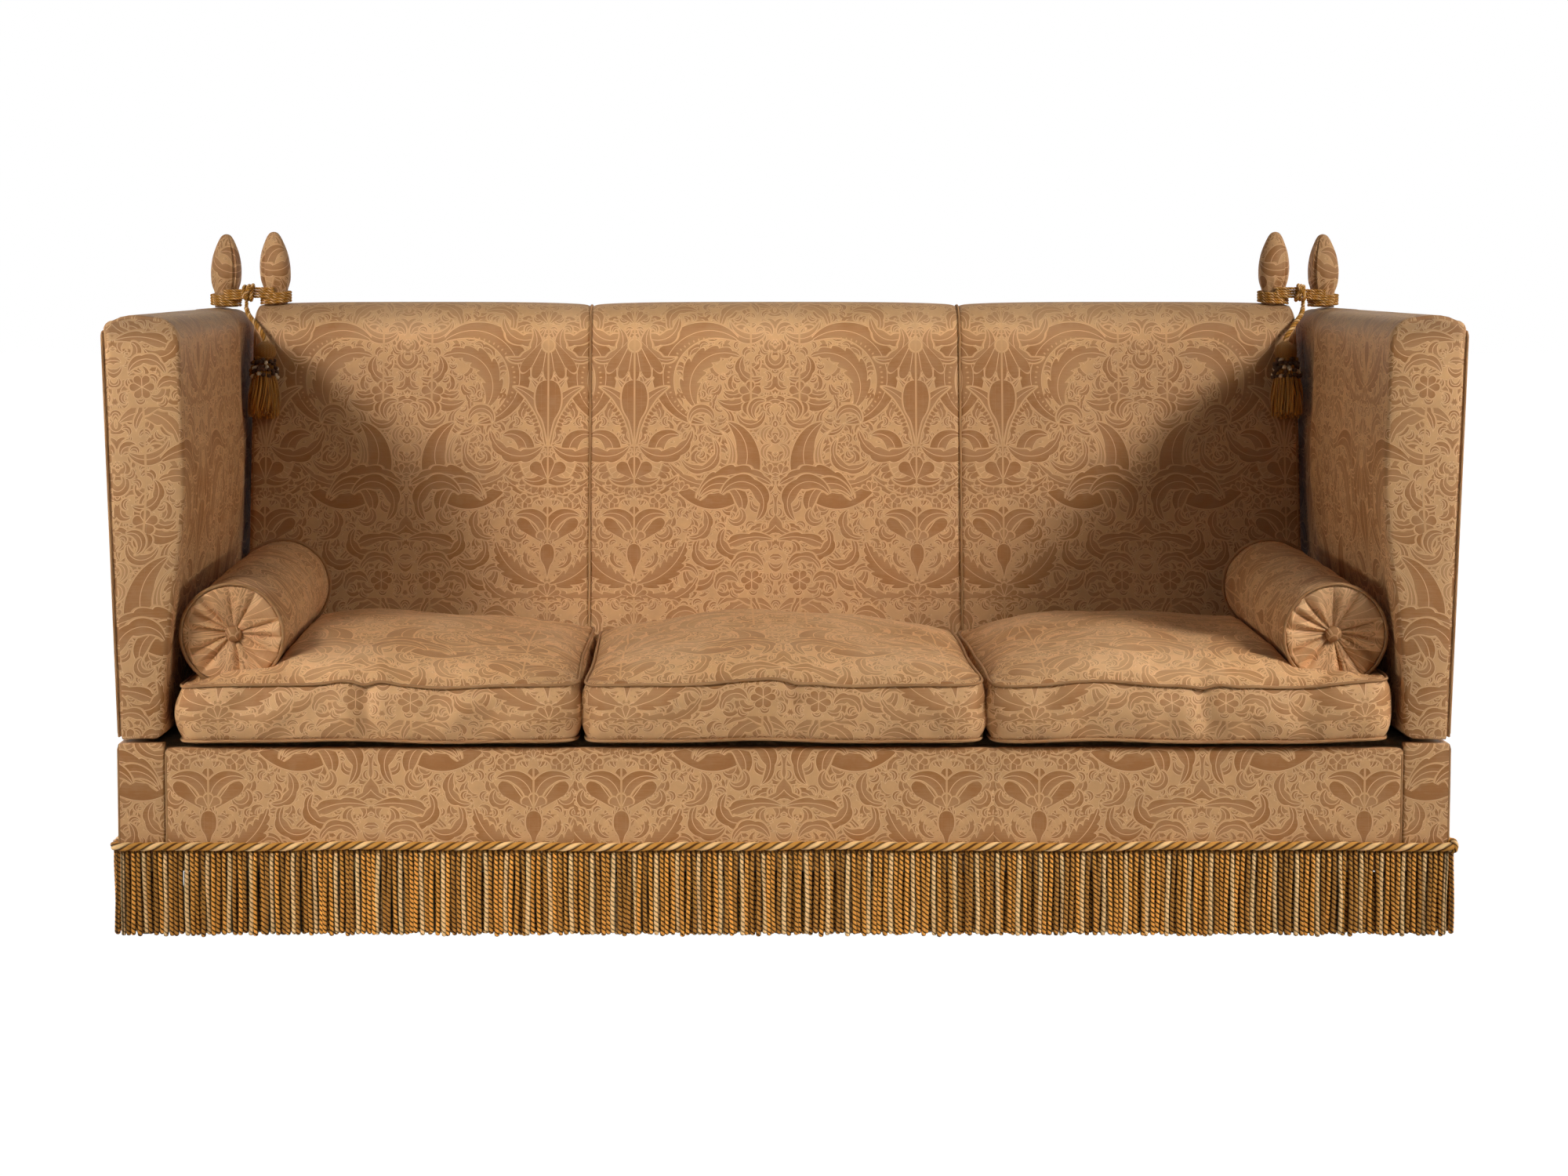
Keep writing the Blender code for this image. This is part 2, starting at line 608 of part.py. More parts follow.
def make_arm(side, spelled, damask, beech):
    """One drop arm, upright about its hinge axis: frame, stuffed cover, outside panel. Returns its pivot."""
    pivot = bpy.data.objects.new(f"{spelled}_arm_pivot", None)
    PARTS.objects.link(pivot)
    pivot.location = (side * HINGE_S, 0.0, HINGE_Z)
    pivot.rotation_euler = (0.0, side * ARM_LEAN, 0.0)

    def bar(name, start, end):
        return box(f"{spelled}_arm_{name}", in_arm(side, *start), in_arm(side, *end), beech, pivot)

    depth_u = MEMBER_U + MEMBER_THICKNESS
    rail_low = ARM_TOP_RAIL_TOP_W - ARM_TOP_RAIL_THICKNESS
    front_v, rear_v = POST_INSET_V, REAR_POST_V
    bar("front_post", (MEMBER_U, front_v, 0.0), (depth_u, front_v + POST_WIDTH, rail_low - SEAT_GAP))
    bar("rear_post", (MEMBER_U, rear_v, 0.0), (depth_u, rear_v + POST_WIDTH, rail_low - SEAT_GAP))
    bar(
        "bottom_rail", (MEMBER_U, front_v + POST_WIDTH + SEAT_GAP, 0.0),
        (depth_u, rear_v - SEAT_GAP, ARM_BOTTOM_RAIL_HEIGHT),
    )
    top_rail = bar(
        "top_rail", (MEMBER_U, front_v, rail_low),
        (MEMBER_U + ARM_TOP_RAIL_WIDTH, rear_v + POST_WIDTH, ARM_TOP_RAIL_TOP_W),
    )

    edge = ARM_FRONT_EDGE
    bulge_ends, rear_starts = ARM_LENGTH * ARM_BULGE_ENDS_SHARE, ARM_LENGTH * ARM_REAR_STARTS_SHARE
    stops = (
        (0.0, edge, 1.0), (edge / 3, edge / 3, 1.0), (edge, 0.0, 1.0), (bulge_ends, 0.0, 1.0),
        ((bulge_ends + rear_starts) / 2, 0.0, (1.0 + ARM_REAR_BULGE_SHARE) / 2),
        (rear_starts, 0.0, ARM_REAR_BULGE_SHARE), (ARM_LENGTH - edge, 0.0, ARM_REAR_BULGE_SHARE),
        (ARM_LENGTH, edge, ARM_REAR_BULGE_SHARE),
    )
    rings = [
        [in_arm(side, u, v, w) for u, w in inset(arm_outline(share), distance)] for v, distance, share in stops
    ]
    cover = loft(f"{spelled}_arm_cover", rings, damask, parent=pivot)
    outside, gap = -CUT_OVERRUN, SEAT_GAP
    pockets = (
        ("front_post", (outside, front_v - gap, outside), (depth_u + gap, front_v + POST_WIDTH + gap, rail_low + gap)),
        ("rear_post", (outside, rear_v - gap, outside), (depth_u + gap, rear_v + POST_WIDTH + gap, rail_low + gap)),
        (
            "bottom_rail", (outside, front_v + POST_WIDTH / 2, outside),
            (depth_u + gap, rear_v + POST_WIDTH / 2, ARM_BOTTOM_RAIL_HEIGHT + gap),
        ),
        (
            "top_rail", (outside, front_v - 2 * gap, rail_low - gap),
            (MEMBER_U + ARM_TOP_RAIL_WIDTH + gap, rear_v + POST_WIDTH + 2 * gap, ARM_TOP_RAIL_TOP_W + gap),
        ),
    )
    for name, start, end in pockets:
        cut_box(cover, f"{spelled}_{name}_pocket", in_arm(side, *start), in_arm(side, *end), pivot)
    bore_top = ARM_HEIGHT + CUT_OVERRUN
    bore_depth = CUT_OVERRUN + DOWEL_LENGTH + SEAT_GAP
    place = in_arm(side, ARM_FINIAL_U, FINIAL_D, bore_top - bore_depth / 2)
    for obj in (cover, top_rail):
        cut_bore(obj, f"{obj.name}_dowel_bore", place, bore_depth, DOWEL_RADIUS + SEAT_GAP, DOWEL_SIDES, pivot)

    radius = ARM_FOOT_OUTER_RADIUS
    start = in_arm(side, 0.0, edge, radius / 2)
    end = in_arm(side, ARM_PANEL_THICKNESS, ARM_LENGTH - edge, ARM_HEIGHT - ARM_PANEL_TOP_DROP - ARM_TOP_OUTER_RADIUS)
    box(f"{spelled}_arm_outside_panel", start, end, damask, pivot, edge=ARM_PANEL_THICKNESS / 3)
    return pivot


def make_hinge(side, spelled, pivot, steel):
    """A long butt hinge: the base leaf carries the pin, and the arm leaf turns on it."""
    pitch = HINGE_LENGTH / KNUCKLE_COUNT
    along = Matrix.Rotation(math.pi / 2, 4, "X")
    leaf_near = HINGE_INSET + KNUCKLE_RADIUS + 2 * SEAT_GAP
    leaf_far = leaf_near + HINGE_WIDTH
    leaf_out = JOINT_GAP / 2 - SEAT_GAP
    leaf_in = leaf_out - LEAF_THICKNESS

    def leaf(name, up, parent, place, first):
        near = Vector((side * (HINGE_INSET - leaf_near), FRONT_Y + HINGE_START_V, up * leaf_in))
        far = Vector((side * (HINGE_INSET - leaf_far), FRONT_Y + HINGE_START_V + HINGE_LENGTH, up * leaf_out))
        plate_obj = box(name, near + place, far + place, steel, parent)
        form = bmesh.new()
        for index in range(first, KNUCKLE_COUNT, 2):
            y = FRONT_Y + HINGE_START_V + (index + 0.5) * pitch
            length = pitch - KNUCKLE_END_GAP
            cylinder(form, KNUCKLE_RADIUS, length, HINGE_SIDES, Matrix.Translation((0.0, y, 0.0)) @ along)
        knuckles = add(f"{name}_knuckles", mesh_from(name, form), None, place, parent, CUTTERS)
        form = bmesh.new()
        for index in range(first, KNUCKLE_COUNT, 2):
            y = FRONT_Y + HINGE_START_V + (index + 0.5) * pitch
            reach = leaf_near - HINGE_INSET + LEAF_THICKNESS
            size = (reach, pitch - 2 * KNUCKLE_END_GAP, LEAF_THICKNESS * TAB_SHARE)
            middle = Vector((-side * reach / 2, y, up * (leaf_in + leaf_out) / 2))
            bmesh.ops.create_cube(form, size=1.0, matrix=Matrix.Translation(middle) @ Matrix.Diagonal((*size, 1.0)))
        tabs = add(f"{name}_tabs", mesh_from(name, form), None, place, parent, CUTTERS)
        boolean(plate_obj, as_cutter(tabs), "UNION")
        return boolean(plate_obj, as_cutter(knuckles), "UNION")

    middle_y = FRONT_Y + HINGE_START_V + HINGE_LENGTH / 2
    axis = Vector((side * HINGE_S, 0.0, HINGE_Z))
    base_leaf = leaf(f"{spelled}_hinge_base_leaf", -1, None, axis, 0)
    form = bmesh.new()
    length = HINGE_LENGTH - KNUCKLE_END_GAP * 2
    cylinder(form, PIN_RADIUS, length, HINGE_SIDES, Matrix.Translation((0.0, middle_y, 0.0)) @ along)
    pin = add(f"{spelled}_hinge_pin", mesh_from("pin", form), None, axis, None, CUTTERS)
    boolean(base_leaf, as_cutter(pin), "UNION")
    arm_leaf = leaf(f"{spelled}_hinge_arm_leaf", 1, pivot, Vector(), 1)
    form = bmesh.new()
    cylinder(form, BORE_RADIUS, HINGE_LENGTH + CUT_OVERRUN, HINGE_SIDES, Matrix.Translation((0.0, middle_y, 0.0)) @ along)
    bore = add(f"{spelled}_hinge_bore", mesh_from("bore", form), None, Vector(), pivot, CUTTERS)
    boolean(arm_leaf, as_cutter(bore))


def make_finial(name, place, finish, parent=None):
    """A covered teardrop finial on its neck, with the dowel that holds it."""
    head = FINIAL_HEIGHT - FINIAL_NECK_HEIGHT
    profile = [
        (FINIAL_RADIUS * out, FINIAL_HEIGHT - head * down) for out, down in FINIAL_PROFILE_SHARES
    ]
    profile += [
        (FINIAL_NECK_RADIUS, FINIAL_NECK_HEIGHT), (FINIAL_NECK_RADIUS, SEAT_GAP), (DOWEL_RADIUS, SEAT_GAP),
        (DOWEL_RADIUS, -DOWEL_LENGTH), (0.0, -DOWEL_LENGTH),
    ]
    finial = turned(name, profile, FINIAL_STEPS, finish, place, parent)
    finial.scale = (1.0, FINIAL_FLATNESS_SHARE, 1.0)
    return finial


def winding(centre, foot, outwards, finish_angle):
    """Points of a cord wound up round a finial's neck that ends at the front. outwards is its turning sense."""
    radius_x = FINIAL_NECK_RADIUS + CORD_RADIUS + SOFT_GAP
    radius_y = FINIAL_NECK_RADIUS * FINIAL_FLATNESS_SHARE + CORD_RADIUS + SOFT_GAP
    pitch = 2 * CORD_RADIUS + CORD_SELF_GAP
    steps = round(CORD_TURNS * LOOP_POINTS)
    points = []
    for index in range(steps + 1):
        left = 1 - index / steps
        angle = finish_angle + outwards * left * CORD_TURNS * 2 * math.pi
        rise = pitch * CORD_TURNS * (1 - left)
        points.append(centre + Vector((radius_x * math.cos(angle), radius_y * math.sin(angle), foot + rise)))
    return points


def least_gap(points, radius, skip):
    """The least gap between stretches of one tube that are more than skip points apart."""
    gaps = [
        (a - b).length for i, a in enumerate(points) for b in points[i + skip:]
    ]
    return min(gaps) - 2 * radius


def make_cords(side, spelled, pivot, cord):
    """The tie cord of one corner: the turns on the arm's finial, and those on the back's finial with the knot.

    Returns the knot's lower end.
    """
    foot = CORD_RADIUS + SOFT_GAP
    front = -math.pi / 2
    quarter = LOOP_POINTS // 2
    centre = in_arm(side, ARM_FINIAL_U, FINIAL_D, ARM_HEIGHT)
    points = winding(centre, foot, -side, front)
    knot_edge = KNOT_S + KNOT_RADIUS + CORD_RADIUS + 2 * SOFT_GAP
    rise = ARM_HEIGHT + JOINT_GAP / 2
    reach = (HINGE_S + rise * math.sin(ARM_LEAN) - knot_edge) / math.cos(ARM_LEAN)
    points.append(Vector((-side * (ARM_FINIAL_U - HINGE_INSET + reach) / 2, points[-1].y, points[-1].z)))
    points.append(Vector((-side * reach, points[-1].y, points[-1].z)))
    print(f"{spelled}_arm_cord least gap to itself {1000 * least_gap(points, CORD_RADIUS, quarter):.2f} mm")
    tube(f"{spelled}_arm_cord", points, CORD_RADIUS, cord, parent=pivot)

    centre = world(BACK_FINIAL_S, FINIAL_D, BACK_CREST, side)
    points = winding(centre, foot, side, front)
    tail = points[-1]
    steps = LOOP_POINTS // 2
    drop = 2 * CORD_RADIUS + CORD_SELF_GAP
    points.append(Vector(((tail.x + side * KNOT_S) / 2, tail.y, tail.z)))
    for index in range(steps + 1):
        turn = 2 * math.pi * index / steps
        x = side * (KNOT_S + KNOT_RADIUS * math.sin(turn))
        y = tail.y + KNOT_RADIUS * (1 - math.cos(turn))
        points.append(Vector((x, y, tail.z - drop * index / steps)))
    for out, down in KNOT_TAIL_SHARES:
        x = side * (KNOT_S + CORD_RADIUS * out)
        points.append(Vector((x, tail.y, tail.z - drop - CORD_RADIUS * down)))
    print(f"{spelled}_back_cord least gap to itself {1000 * least_gap(points, CORD_RADIUS, quarter):.2f} mm")
    tube(f"{spelled}_back_cord", points, CORD_RADIUS, cord)
    return points[-1]


def make_tassel(side, spelled, knot_end, cord, gold):
    """The hanging end of the tie cord, from the knot down, and its tassel, which leans on the padded back."""
    route = [knot_end + Vector((side * s, d, z)) for s, d, z in TASSEL_CORD_ROUTE]
    spare = len(route) - len(TASSEL_CORD_END_TAPER_SHARES)
    widths = [*TASSEL_CORD_END_TAPER_SHARES, *([1.0] * spare)]
    tube(f"{spelled}_tassel_cord", route, CORD_RADIUS, cord, widths=widths)
    profile = [(0.0, 0.0)] + [(TASSEL_RADIUS * out, -TASSEL_LENGTH * down) for out, down in TASSEL_PROFILE_SHARES]
    profile.append((0.0, -TASSEL_LENGTH))
    along = Vector((0.0, math.sin(TASSEL_LEAN), math.cos(TASSEL_LEAN)))
    tassel = turned(f"{spelled}_tassel", profile, TASSEL_STEPS, gold, route[-1] - along * (CORD_RADIUS / 2))
    tassel.rotation_euler = (-TASSEL_LEAN, 0.0, 0.0)


def make_cushion(name, low_s, high_s, finish):
    """A boxed seat cushion: flat where it rests, crowned on top and drawn in between its corners."""
    front, back = CUSHION_FRONT_D, back_front_d(CUSHION_LOW) - CUSHION_BACK_GAP
    width, depth = high_s - low_s, back - front
    cells = CUSHION_CELLS
    form = bmesh.new()
    bmesh.ops.create_grid(form, x_segments=cells, y_segments=cells, size=1.0)
    faces = form.faces[:]
    layers = 2
    for vert in form.verts:
        vert.co.z = 0.0
    for layer in range(1, layers + 1):
        grown = bmesh.ops.extrude_face_region(form, geom=faces)["geom"]
        if layer > 1:
            bmesh.ops.delete(form, geom=faces, context="FACES")
        faces = [item for item in grown if isinstance(item, bmesh.types.BMFace)]
        for item in grown:
            if isinstance(item, bmesh.types.BMVert):
                item.co.z = float(layer)
    for vert in form.verts:
        x, y, layer = vert.co.x, vert.co.y, round(vert.co.z)
        rim = max(abs(x), abs(y))
        dome = (1 - x * x) * (1 - y * y)
        waist_x = CUSHION_WAIST * (1 - y * y) * x * (abs(x) > CUSHION_RIM_SHARE)
        waist_y = CUSHION_WAIST * (1 - x * x) * y * (y > CUSHION_RIM_SHARE)
        bulge = CUSHION_WAIST if layer == 1 and rim > CUSHION_RIM_SHARE else 0.0
        z = CUSHION_LOW + CUSHION_BOXING * layer / layers
        if layer == 0:
            z = CUSHION_LOW + (CUSHION_LOW_EDGE_RISE if rim > CUSHION_RIM_SHARE else 0.0)
        if layer == layers:
            z += CUSHION_CROWN * math.sqrt(dome) - CUSHION_FRONT_DIP * (1 - y) / 2
        inner_x = 1 - (2 * (CUSHION_WAIST - bulge) / width)
        inner_y = 1 - (2 * (CUSHION_WAIST - bulge) / depth)
        vert.co = Vector((x * inner_x * width / 2 - waist_x, y * inner_y * depth / 2 - waist_y, z))
    crease = form.edges.layers.float.new("crease_edge")
    for edge in form.edges:
        flat = abs(edge.calc_face_angle(0.0)) > math.radians(50)
        edge[crease] = CUSHION_SEAM_CREASE if flat else 0.0
    obj = add(name, mesh_from(name, form), finish, Vector(((low_s + high_s) / 2, FRONT_Y + (front + back) / 2, 0.0)))
    obj.data.shade_smooth()
    soften = obj.modifiers.new("soft form", "SUBSURF")
    soften.levels = soften.render_levels = 1
    return obj


def make_cushions(finish):
    """The three seat cushions, with a trough in the outer two where the bolsters lie."""
    end = SEAT_HALF_WIDTH - CUSHION_SIDE_GAP
    width = (2 * end - 2 * CUSHION_GAP) / 3
    made = []
    for index, spelled in enumerate(("left", "middle", "right")):
        low = -end + index * (width + CUSHION_GAP)
        made.append(make_cushion(f"{spelled}_seat_cushion", low, low + width, finish))
    for cushion, side, spelled in ((made[0], -1, "left"), (made[2], 1, "right")):
        form = bmesh.new()
        radius = (BOLSTER_RADIUS + BOLSTER_WELT + SEAT_GAP) / math.cos(math.pi / BOLSTER_STEPS)
        length = BOLSTER_LENGTH + 4 * SOFT_GAP
        cylinder(form, radius, length, BOLSTER_STEPS, Matrix())
        trough = add(f"{spelled}_trough", mesh_from("trough", form), None, bolster_place(side), None, CUTTERS)
        trough.rotation_euler = (math.pi / 2 + BOLSTER_TILT, 0.0, 0.0)
        boolean(cushion, as_cutter(trough))


def bolster_place(side):
    """The middle of a bolster."""
    return world(BOLSTER_S, BOLSTER_PLACE_D, BOLSTER_PLACE_Z, side)


def make_bolster(side, spelled, finish):
    """A round bolster with a welt at each end and dished, pleated ends drawn to a covered button."""
    centre = bpy.data.objects.new(f"{spelled}_bolster_axis", None)
    PARTS.objects.link(centre)
    centre.location = bolster_place(side)
    centre.rotation_euler = (math.pi / 2 + BOLSTER_TILT, 0.0, 0.0)
    half, radius, dish = BOLSTER_LENGTH / 2, BOLSTER_RADIUS, BOLSTER_END_DISH
    shoulders = zip((radius - BOLSTER_WELT, radius + BOLSTER_WELT, radius), BOLSTER_SHOULDER_SHARES)
    end = [(0.0, half - dish), (BUTTON_RADIUS, half - dish)]
    end += [(radius * out, half - dish * (1 - up)) for out, up in BOLSTER_END_SHARES]
    end += [(r, half - dish * (1 - up)) for r, up in shoulders]
    sides = ((radius - BOLSTER_WAIST, half / 2), (radius, 0.0), (radius - BOLSTER_WAIST, -half / 2))
    profile = [*end, *sides, *((r, -z) for r, z in reversed(end))]
    turned(f"{spelled}_bolster", profile, BOLSTER_STEPS, finish, Vector(), centre)
    foot = half - dish + SEAT_GAP
    button = [(BUTTON_RADIUS * out, foot + BUTTON_HEIGHT * up) for out, up in BUTTON_PROFILE_SHARES]
    turned(f"{spelled}_bolster_button", button, BUTTON_STEPS, finish, Vector(), centre)


def rounded_path(half_x, half_y, radius, steps):
    """Points round a rectangle with round corners, anticlockwise from the rear right corner."""
    points = []
    for index, (x, y) in enumerate(((1, 1), (-1, 1), (-1, -1), (1, -1))):
        centre = (x * (half_x - radius), y * (half_y - radius))
        points += arc(centre, (radius, radius), 90 * index, 90 * index + 90, steps)
    return points


def make_trim(rope_finish, fringe_finish):
    """The rope heading and the bullion fringe that hang round all four sides of the base."""
    out = ROPE_RADIUS + SEAT_GAP
    path = rounded_path(BASE_HALF_WIDTH + out, BODY_DEPTH / 2 + out, COVER_EDGE + out, ROPE_CORNER_STEPS)
    rope = [Vector((x, y, ROPE_Z)) for x, y in path]
    tube("fringe_heading_rope", rope, ROPE_RADIUS, rope_finish, cyclic=True)

    inner_x, inner_y = BASE_HALF_WIDTH + SEAT_GAP, BODY_DEPTH / 2 + SEAT_GAP
    outer_x, outer_y = inner_x + FRINGE_THICKNESS, inner_y + FRINGE_THICKNESS
    outline = []
    for start, end in (
        ((-outer_x, -outer_y), (outer_x, -outer_y)), ((outer_x, -outer_y), (outer_x, outer_y)),
        ((outer_x, outer_y), (-outer_x, outer_y)), ((-outer_x, outer_y), (-outer_x, -outer_y)),
    ):
        run = Vector((end[0] - start[0], end[1] - start[1]))
        ribs = max(2, round(run.length / FRINGE_RIB_PITCH))
        inwards = Vector((-run.y, run.x)).normalized() * FRINGE_RIB_DEPTH
        for rib in range(ribs):
            ridge = Vector(start) + run * (rib / ribs)
            valley = Vector(start) + run * ((rib + 0.5) / ribs) + inwards
            outline += [tuple(ridge), tuple(valley)]
    top = ROPE_Z - ROPE_RADIUS - SEAT_GAP
    height = top - FRINGE_LOW
    plate(
        "bullion_fringe", [outline, rectangle(inner_x, inner_y)], height, fringe_finish,
        Vector((0.0, 0.0, FRINGE_LOW + height / 2)),
    )


def main():
    clear_scene()
    damask = material("damask", DAMASK, 0.75)
    beech = material("beech", BEECH, 0.6)
    hessian = material("hessian", HESSIAN, 0.9)
    jute = material("jute_webbing", JUTE, 0.9)
    steel = material("hinge_steel", STEEL, 0.4, 1.0)
    cord = material("gold_cord", GOLD_CORD, 0.6)
    bullion = material("gold_bullion", GOLD_BULLION, 0.65)
    gold = material("tassel_gold", TASSEL_GOLD, 0.7)
    walnut = material("walnut_feet", WALNUT, 0.45)

    make_base_frame(beech, jute, hessian, walnut)
    make_base_covers(damask)
    make_back(damask, beech)
    make_cushions(damask)
    for side, spelled in ((-1, "left"), (1, "right")):
        pivot = make_arm(side, spelled, damask, beech)
        make_hinge(side, spelled, pivot, steel)
        make_finial(
            f"{spelled}_arm_finial", in_arm(side, ARM_FINIAL_U, FINIAL_D, ARM_HEIGHT), damask, pivot
        )
        make_finial(f"{spelled}_back_finial", world(BACK_FINIAL_S, FINIAL_D, BACK_CREST, side), damask)
        knot_end = make_cords(side, spelled, pivot, cord)
        make_tassel(side, spelled, knot_end, cord, gold)
        make_bolster(side, spelled, damask)
    make_trim(cord, bullion)


main()
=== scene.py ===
"""A three-seat knole sofa in woven damask: cloth, cords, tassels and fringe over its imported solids."""

import logging
import math
import random
from collections.abc import Callable, Iterable, Sequence
from dataclasses import dataclass
from enum import Enum
from functools import cache

import bmesh
import bpy
import numpy as np
from mathutils import Matrix, Vector

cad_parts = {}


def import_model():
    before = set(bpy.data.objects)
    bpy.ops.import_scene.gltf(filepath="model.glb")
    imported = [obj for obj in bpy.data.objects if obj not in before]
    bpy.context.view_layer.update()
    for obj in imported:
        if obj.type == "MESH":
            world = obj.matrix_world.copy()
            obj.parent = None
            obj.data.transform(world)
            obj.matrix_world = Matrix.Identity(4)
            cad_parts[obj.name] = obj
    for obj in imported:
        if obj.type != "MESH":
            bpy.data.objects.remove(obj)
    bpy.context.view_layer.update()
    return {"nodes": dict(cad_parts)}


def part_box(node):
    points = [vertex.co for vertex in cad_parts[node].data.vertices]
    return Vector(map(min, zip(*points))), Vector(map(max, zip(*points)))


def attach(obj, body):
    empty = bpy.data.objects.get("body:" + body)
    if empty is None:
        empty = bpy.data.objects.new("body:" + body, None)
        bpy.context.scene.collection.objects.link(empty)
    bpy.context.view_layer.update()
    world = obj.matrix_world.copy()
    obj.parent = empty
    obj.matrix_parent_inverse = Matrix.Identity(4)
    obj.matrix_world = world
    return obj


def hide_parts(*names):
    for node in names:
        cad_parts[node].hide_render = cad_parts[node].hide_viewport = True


log = logging.getLogger("knole_sofa")

Colour = tuple[float, float, float]
Point = tuple[float, float]
Spot = tuple[float, float, float]
Socket = bpy.types.NodeSocket
Node = bpy.types.Node
Tree = bpy.types.NodeTree
Piece = bpy.types.Object
Material = bpy.types.Material
Sockets = dict[str, Socket]
Grid = np.ndarray | Sequence[np.ndarray]
Feed = float | Sequence[float] | Socket

CLOTH = "cloth"
WEAR_AND_HIGHLIGHT = "wear"
HELD = "held"
TONE = "tone"
TURN = 2 * math.pi
FINE_WELD = 1e-6


class Body(Enum):
    """The bodies that pieces ride on."""

    FRAME = "frame"
    LEFT_ARM = "left_arm"
    RIGHT_ARM = "right_arm"
    LEFT_CUSHION = "left_cushion"
    MIDDLE_CUSHION = "middle_cushion"
    RIGHT_CUSHION = "right_cushion"
    LEFT_BOLSTER = "left_bolster_roll"
    RIGHT_BOLSTER = "right_bolster_roll"
    LEFT_TASSEL = "left_tie_tassel"
    RIGHT_TASSEL = "right_tie_tassel"


class Hand(Enum):
    """The two ends of the sofa, seen from the front."""

    LEFT = -1
    RIGHT = 1

    @property
    def word(self) -> str:
        """The end's name in lower case."""
        return self.name.lower()

    @property
    def arm(self) -> Body:
        """The body of this end's arm."""
        return Body[f"{self.name}_ARM"]

    @property
    def tassel(self) -> Body:
        """The body of this end's tassel."""
        return Body[f"{self.name}_TASSEL"]

    @property
    def bolster(self) -> Body:
        """The body of this end's bolster."""
        return Body[f"{self.name}_BOLSTER"]


@dataclass(frozen=True)
class Plan:
    """Sizes that several pieces share, in metres, as the solids have them."""

    half_width: float = 1.116
    depth: float = 0.921
    cover_low: float = 0.113
    base_top: float = 0.330
    border_top: float = 0.322
    border_thickness: float = 0.0215
    seat_half: float = 1.038
    side_wall: float = 0.0117
    back_half: float = 1.015
    back_seam: float = 0.3583
    back_foot: float = 0.664
    back_rear: float = 0.9157
    back_lean: float = math.radians(10)
    back_crest: float = 1.051
    roll_height: float = 0.060
    rail_top: float = 0.990
    seat_low: float = 0.3303
    arm_length: float = 0.905
    arm_height: float = 0.709
    arm_lean: float = math.radians(1.56)
    hinge_inset: float = 0.004
    hinge_s: float = 1.112
    hinge_z: float = 0.333
    joint_gap: float = 0.006
    finial_depth: float = 0.840
    arm_finial_u: float = 0.060
    back_finial_s: float = 0.978
    knot_s: float = 1.027
    rope_z: float = 0.158
    rope_radius: float = 0.0065

    @property
    def front_y(self) -> float:
        """Where the front plane of the base lies."""
        return -self.depth / 2

    def place(self, s: float, d: float, z: float, side: int = 1) -> Vector:
        """Turns a distance from the middle, a depth and a height into a point.

        Args:
            s: Distance from the middle plane.
            d: Distance behind the front plane.
            z: Height.
            side: -1 for the left half, 1 for the right half.

        Returns:
            The point in the sofa's frame.
        """
        return Vector((side * s, self.front_y + d, z))

    def back_face(self, z: float) -> float:
        """How far behind the front plane the padded back lies at a height."""
        return self.back_foot + (z - self.seat_low) * math.tan(self.back_lean)

    def in_arm(self, side: int, u: np.ndarray, v: np.ndarray, w: np.ndarray) -> np.ndarray:
        """Places points of an upright arm where the leaning arm has them.

        Args:
            side: -1 for the left arm, 1 for the right arm.
            u: Distances in from the arm's outer face.
            v: Distances back from its front.
            w: Heights above its foot.

        Returns:
            The points in the sofa's frame, one row of three each.
        """
        u, v, w = np.broadcast_arrays(np.asarray(u, float), np.asarray(v, float), np.asarray(w, float))
        x, z = side * (self.hinge_inset - u), w + self.joint_gap / 2
        turn = side * self.arm_lean
        across = side * self.hinge_s + x * math.cos(turn) + z * math.sin(turn)
        up = self.hinge_z - x * math.sin(turn) + z * math.cos(turn)
        return spots(across, self.front_y + v, up)

    def at_arm_finial(self, side: int, points: np.ndarray) -> np.ndarray:
        """Places points about the foot of an arm's finial."""
        x, y, z = points.T
        return self.in_arm(side, self.arm_finial_u - side * x, self.finial_depth + y, self.arm_height + z)

    def at_back_finial(self, side: int, points: np.ndarray) -> np.ndarray:
        """Places points about the foot of a back finial."""
        return points + np.array(self.place(self.back_finial_s, self.finial_depth, self.back_crest, side))


PLAN = Plan()


@dataclass(frozen=True)
class Shades:
    """The colours of the finishes, as linear red, green and blue."""

    ground: Colour = (0.625, 0.352, 0.155)
    figure: Colour = (0.350, 0.146, 0.042)
    outline: Colour = (0.760, 0.480, 0.250)
    worn: Colour = (0.560, 0.370, 0.205)
    piping: Colour = (0.400, 0.225, 0.100)
    gold: Colour = (0.620, 0.285, 0.052)
    deep_gold: Colour = (0.300, 0.120, 0.016)
    bullion: Colour = (0.980, 0.430, 0.076)
    # Painted shade down between the plies of the heading rope and the fringe cords.
    groove: Colour = (0.075, 0.024, 0.003)
    cream: Colour = (0.980, 0.640, 0.290)
    # Brighter than the cords' gold: painted light on the tassel, which hangs in the arm's shadow.
    silk: Colour = (0.860, 0.420, 0.075)
    tuft_brown: Colour = (0.090, 0.042, 0.020)
    tuft_white: Colour = (0.820, 0.660, 0.440)
    beech: Colour = (0.520, 0.352, 0.195)
    walnut: Colour = (0.110, 0.058, 0.030)
    hessian: Colour = (0.340, 0.245, 0.138)
    jute: Colour = (0.300, 0.200, 0.100)
    steel: Colour = (0.230, 0.212, 0.186)


SHADES = Shades()


def opaque(value: Feed) -> Feed:
    """Adds full opacity to a plain colour, and leaves all else as it is."""
    return (*value, 1.0) if isinstance(value, tuple) and len(value) == 3 else value


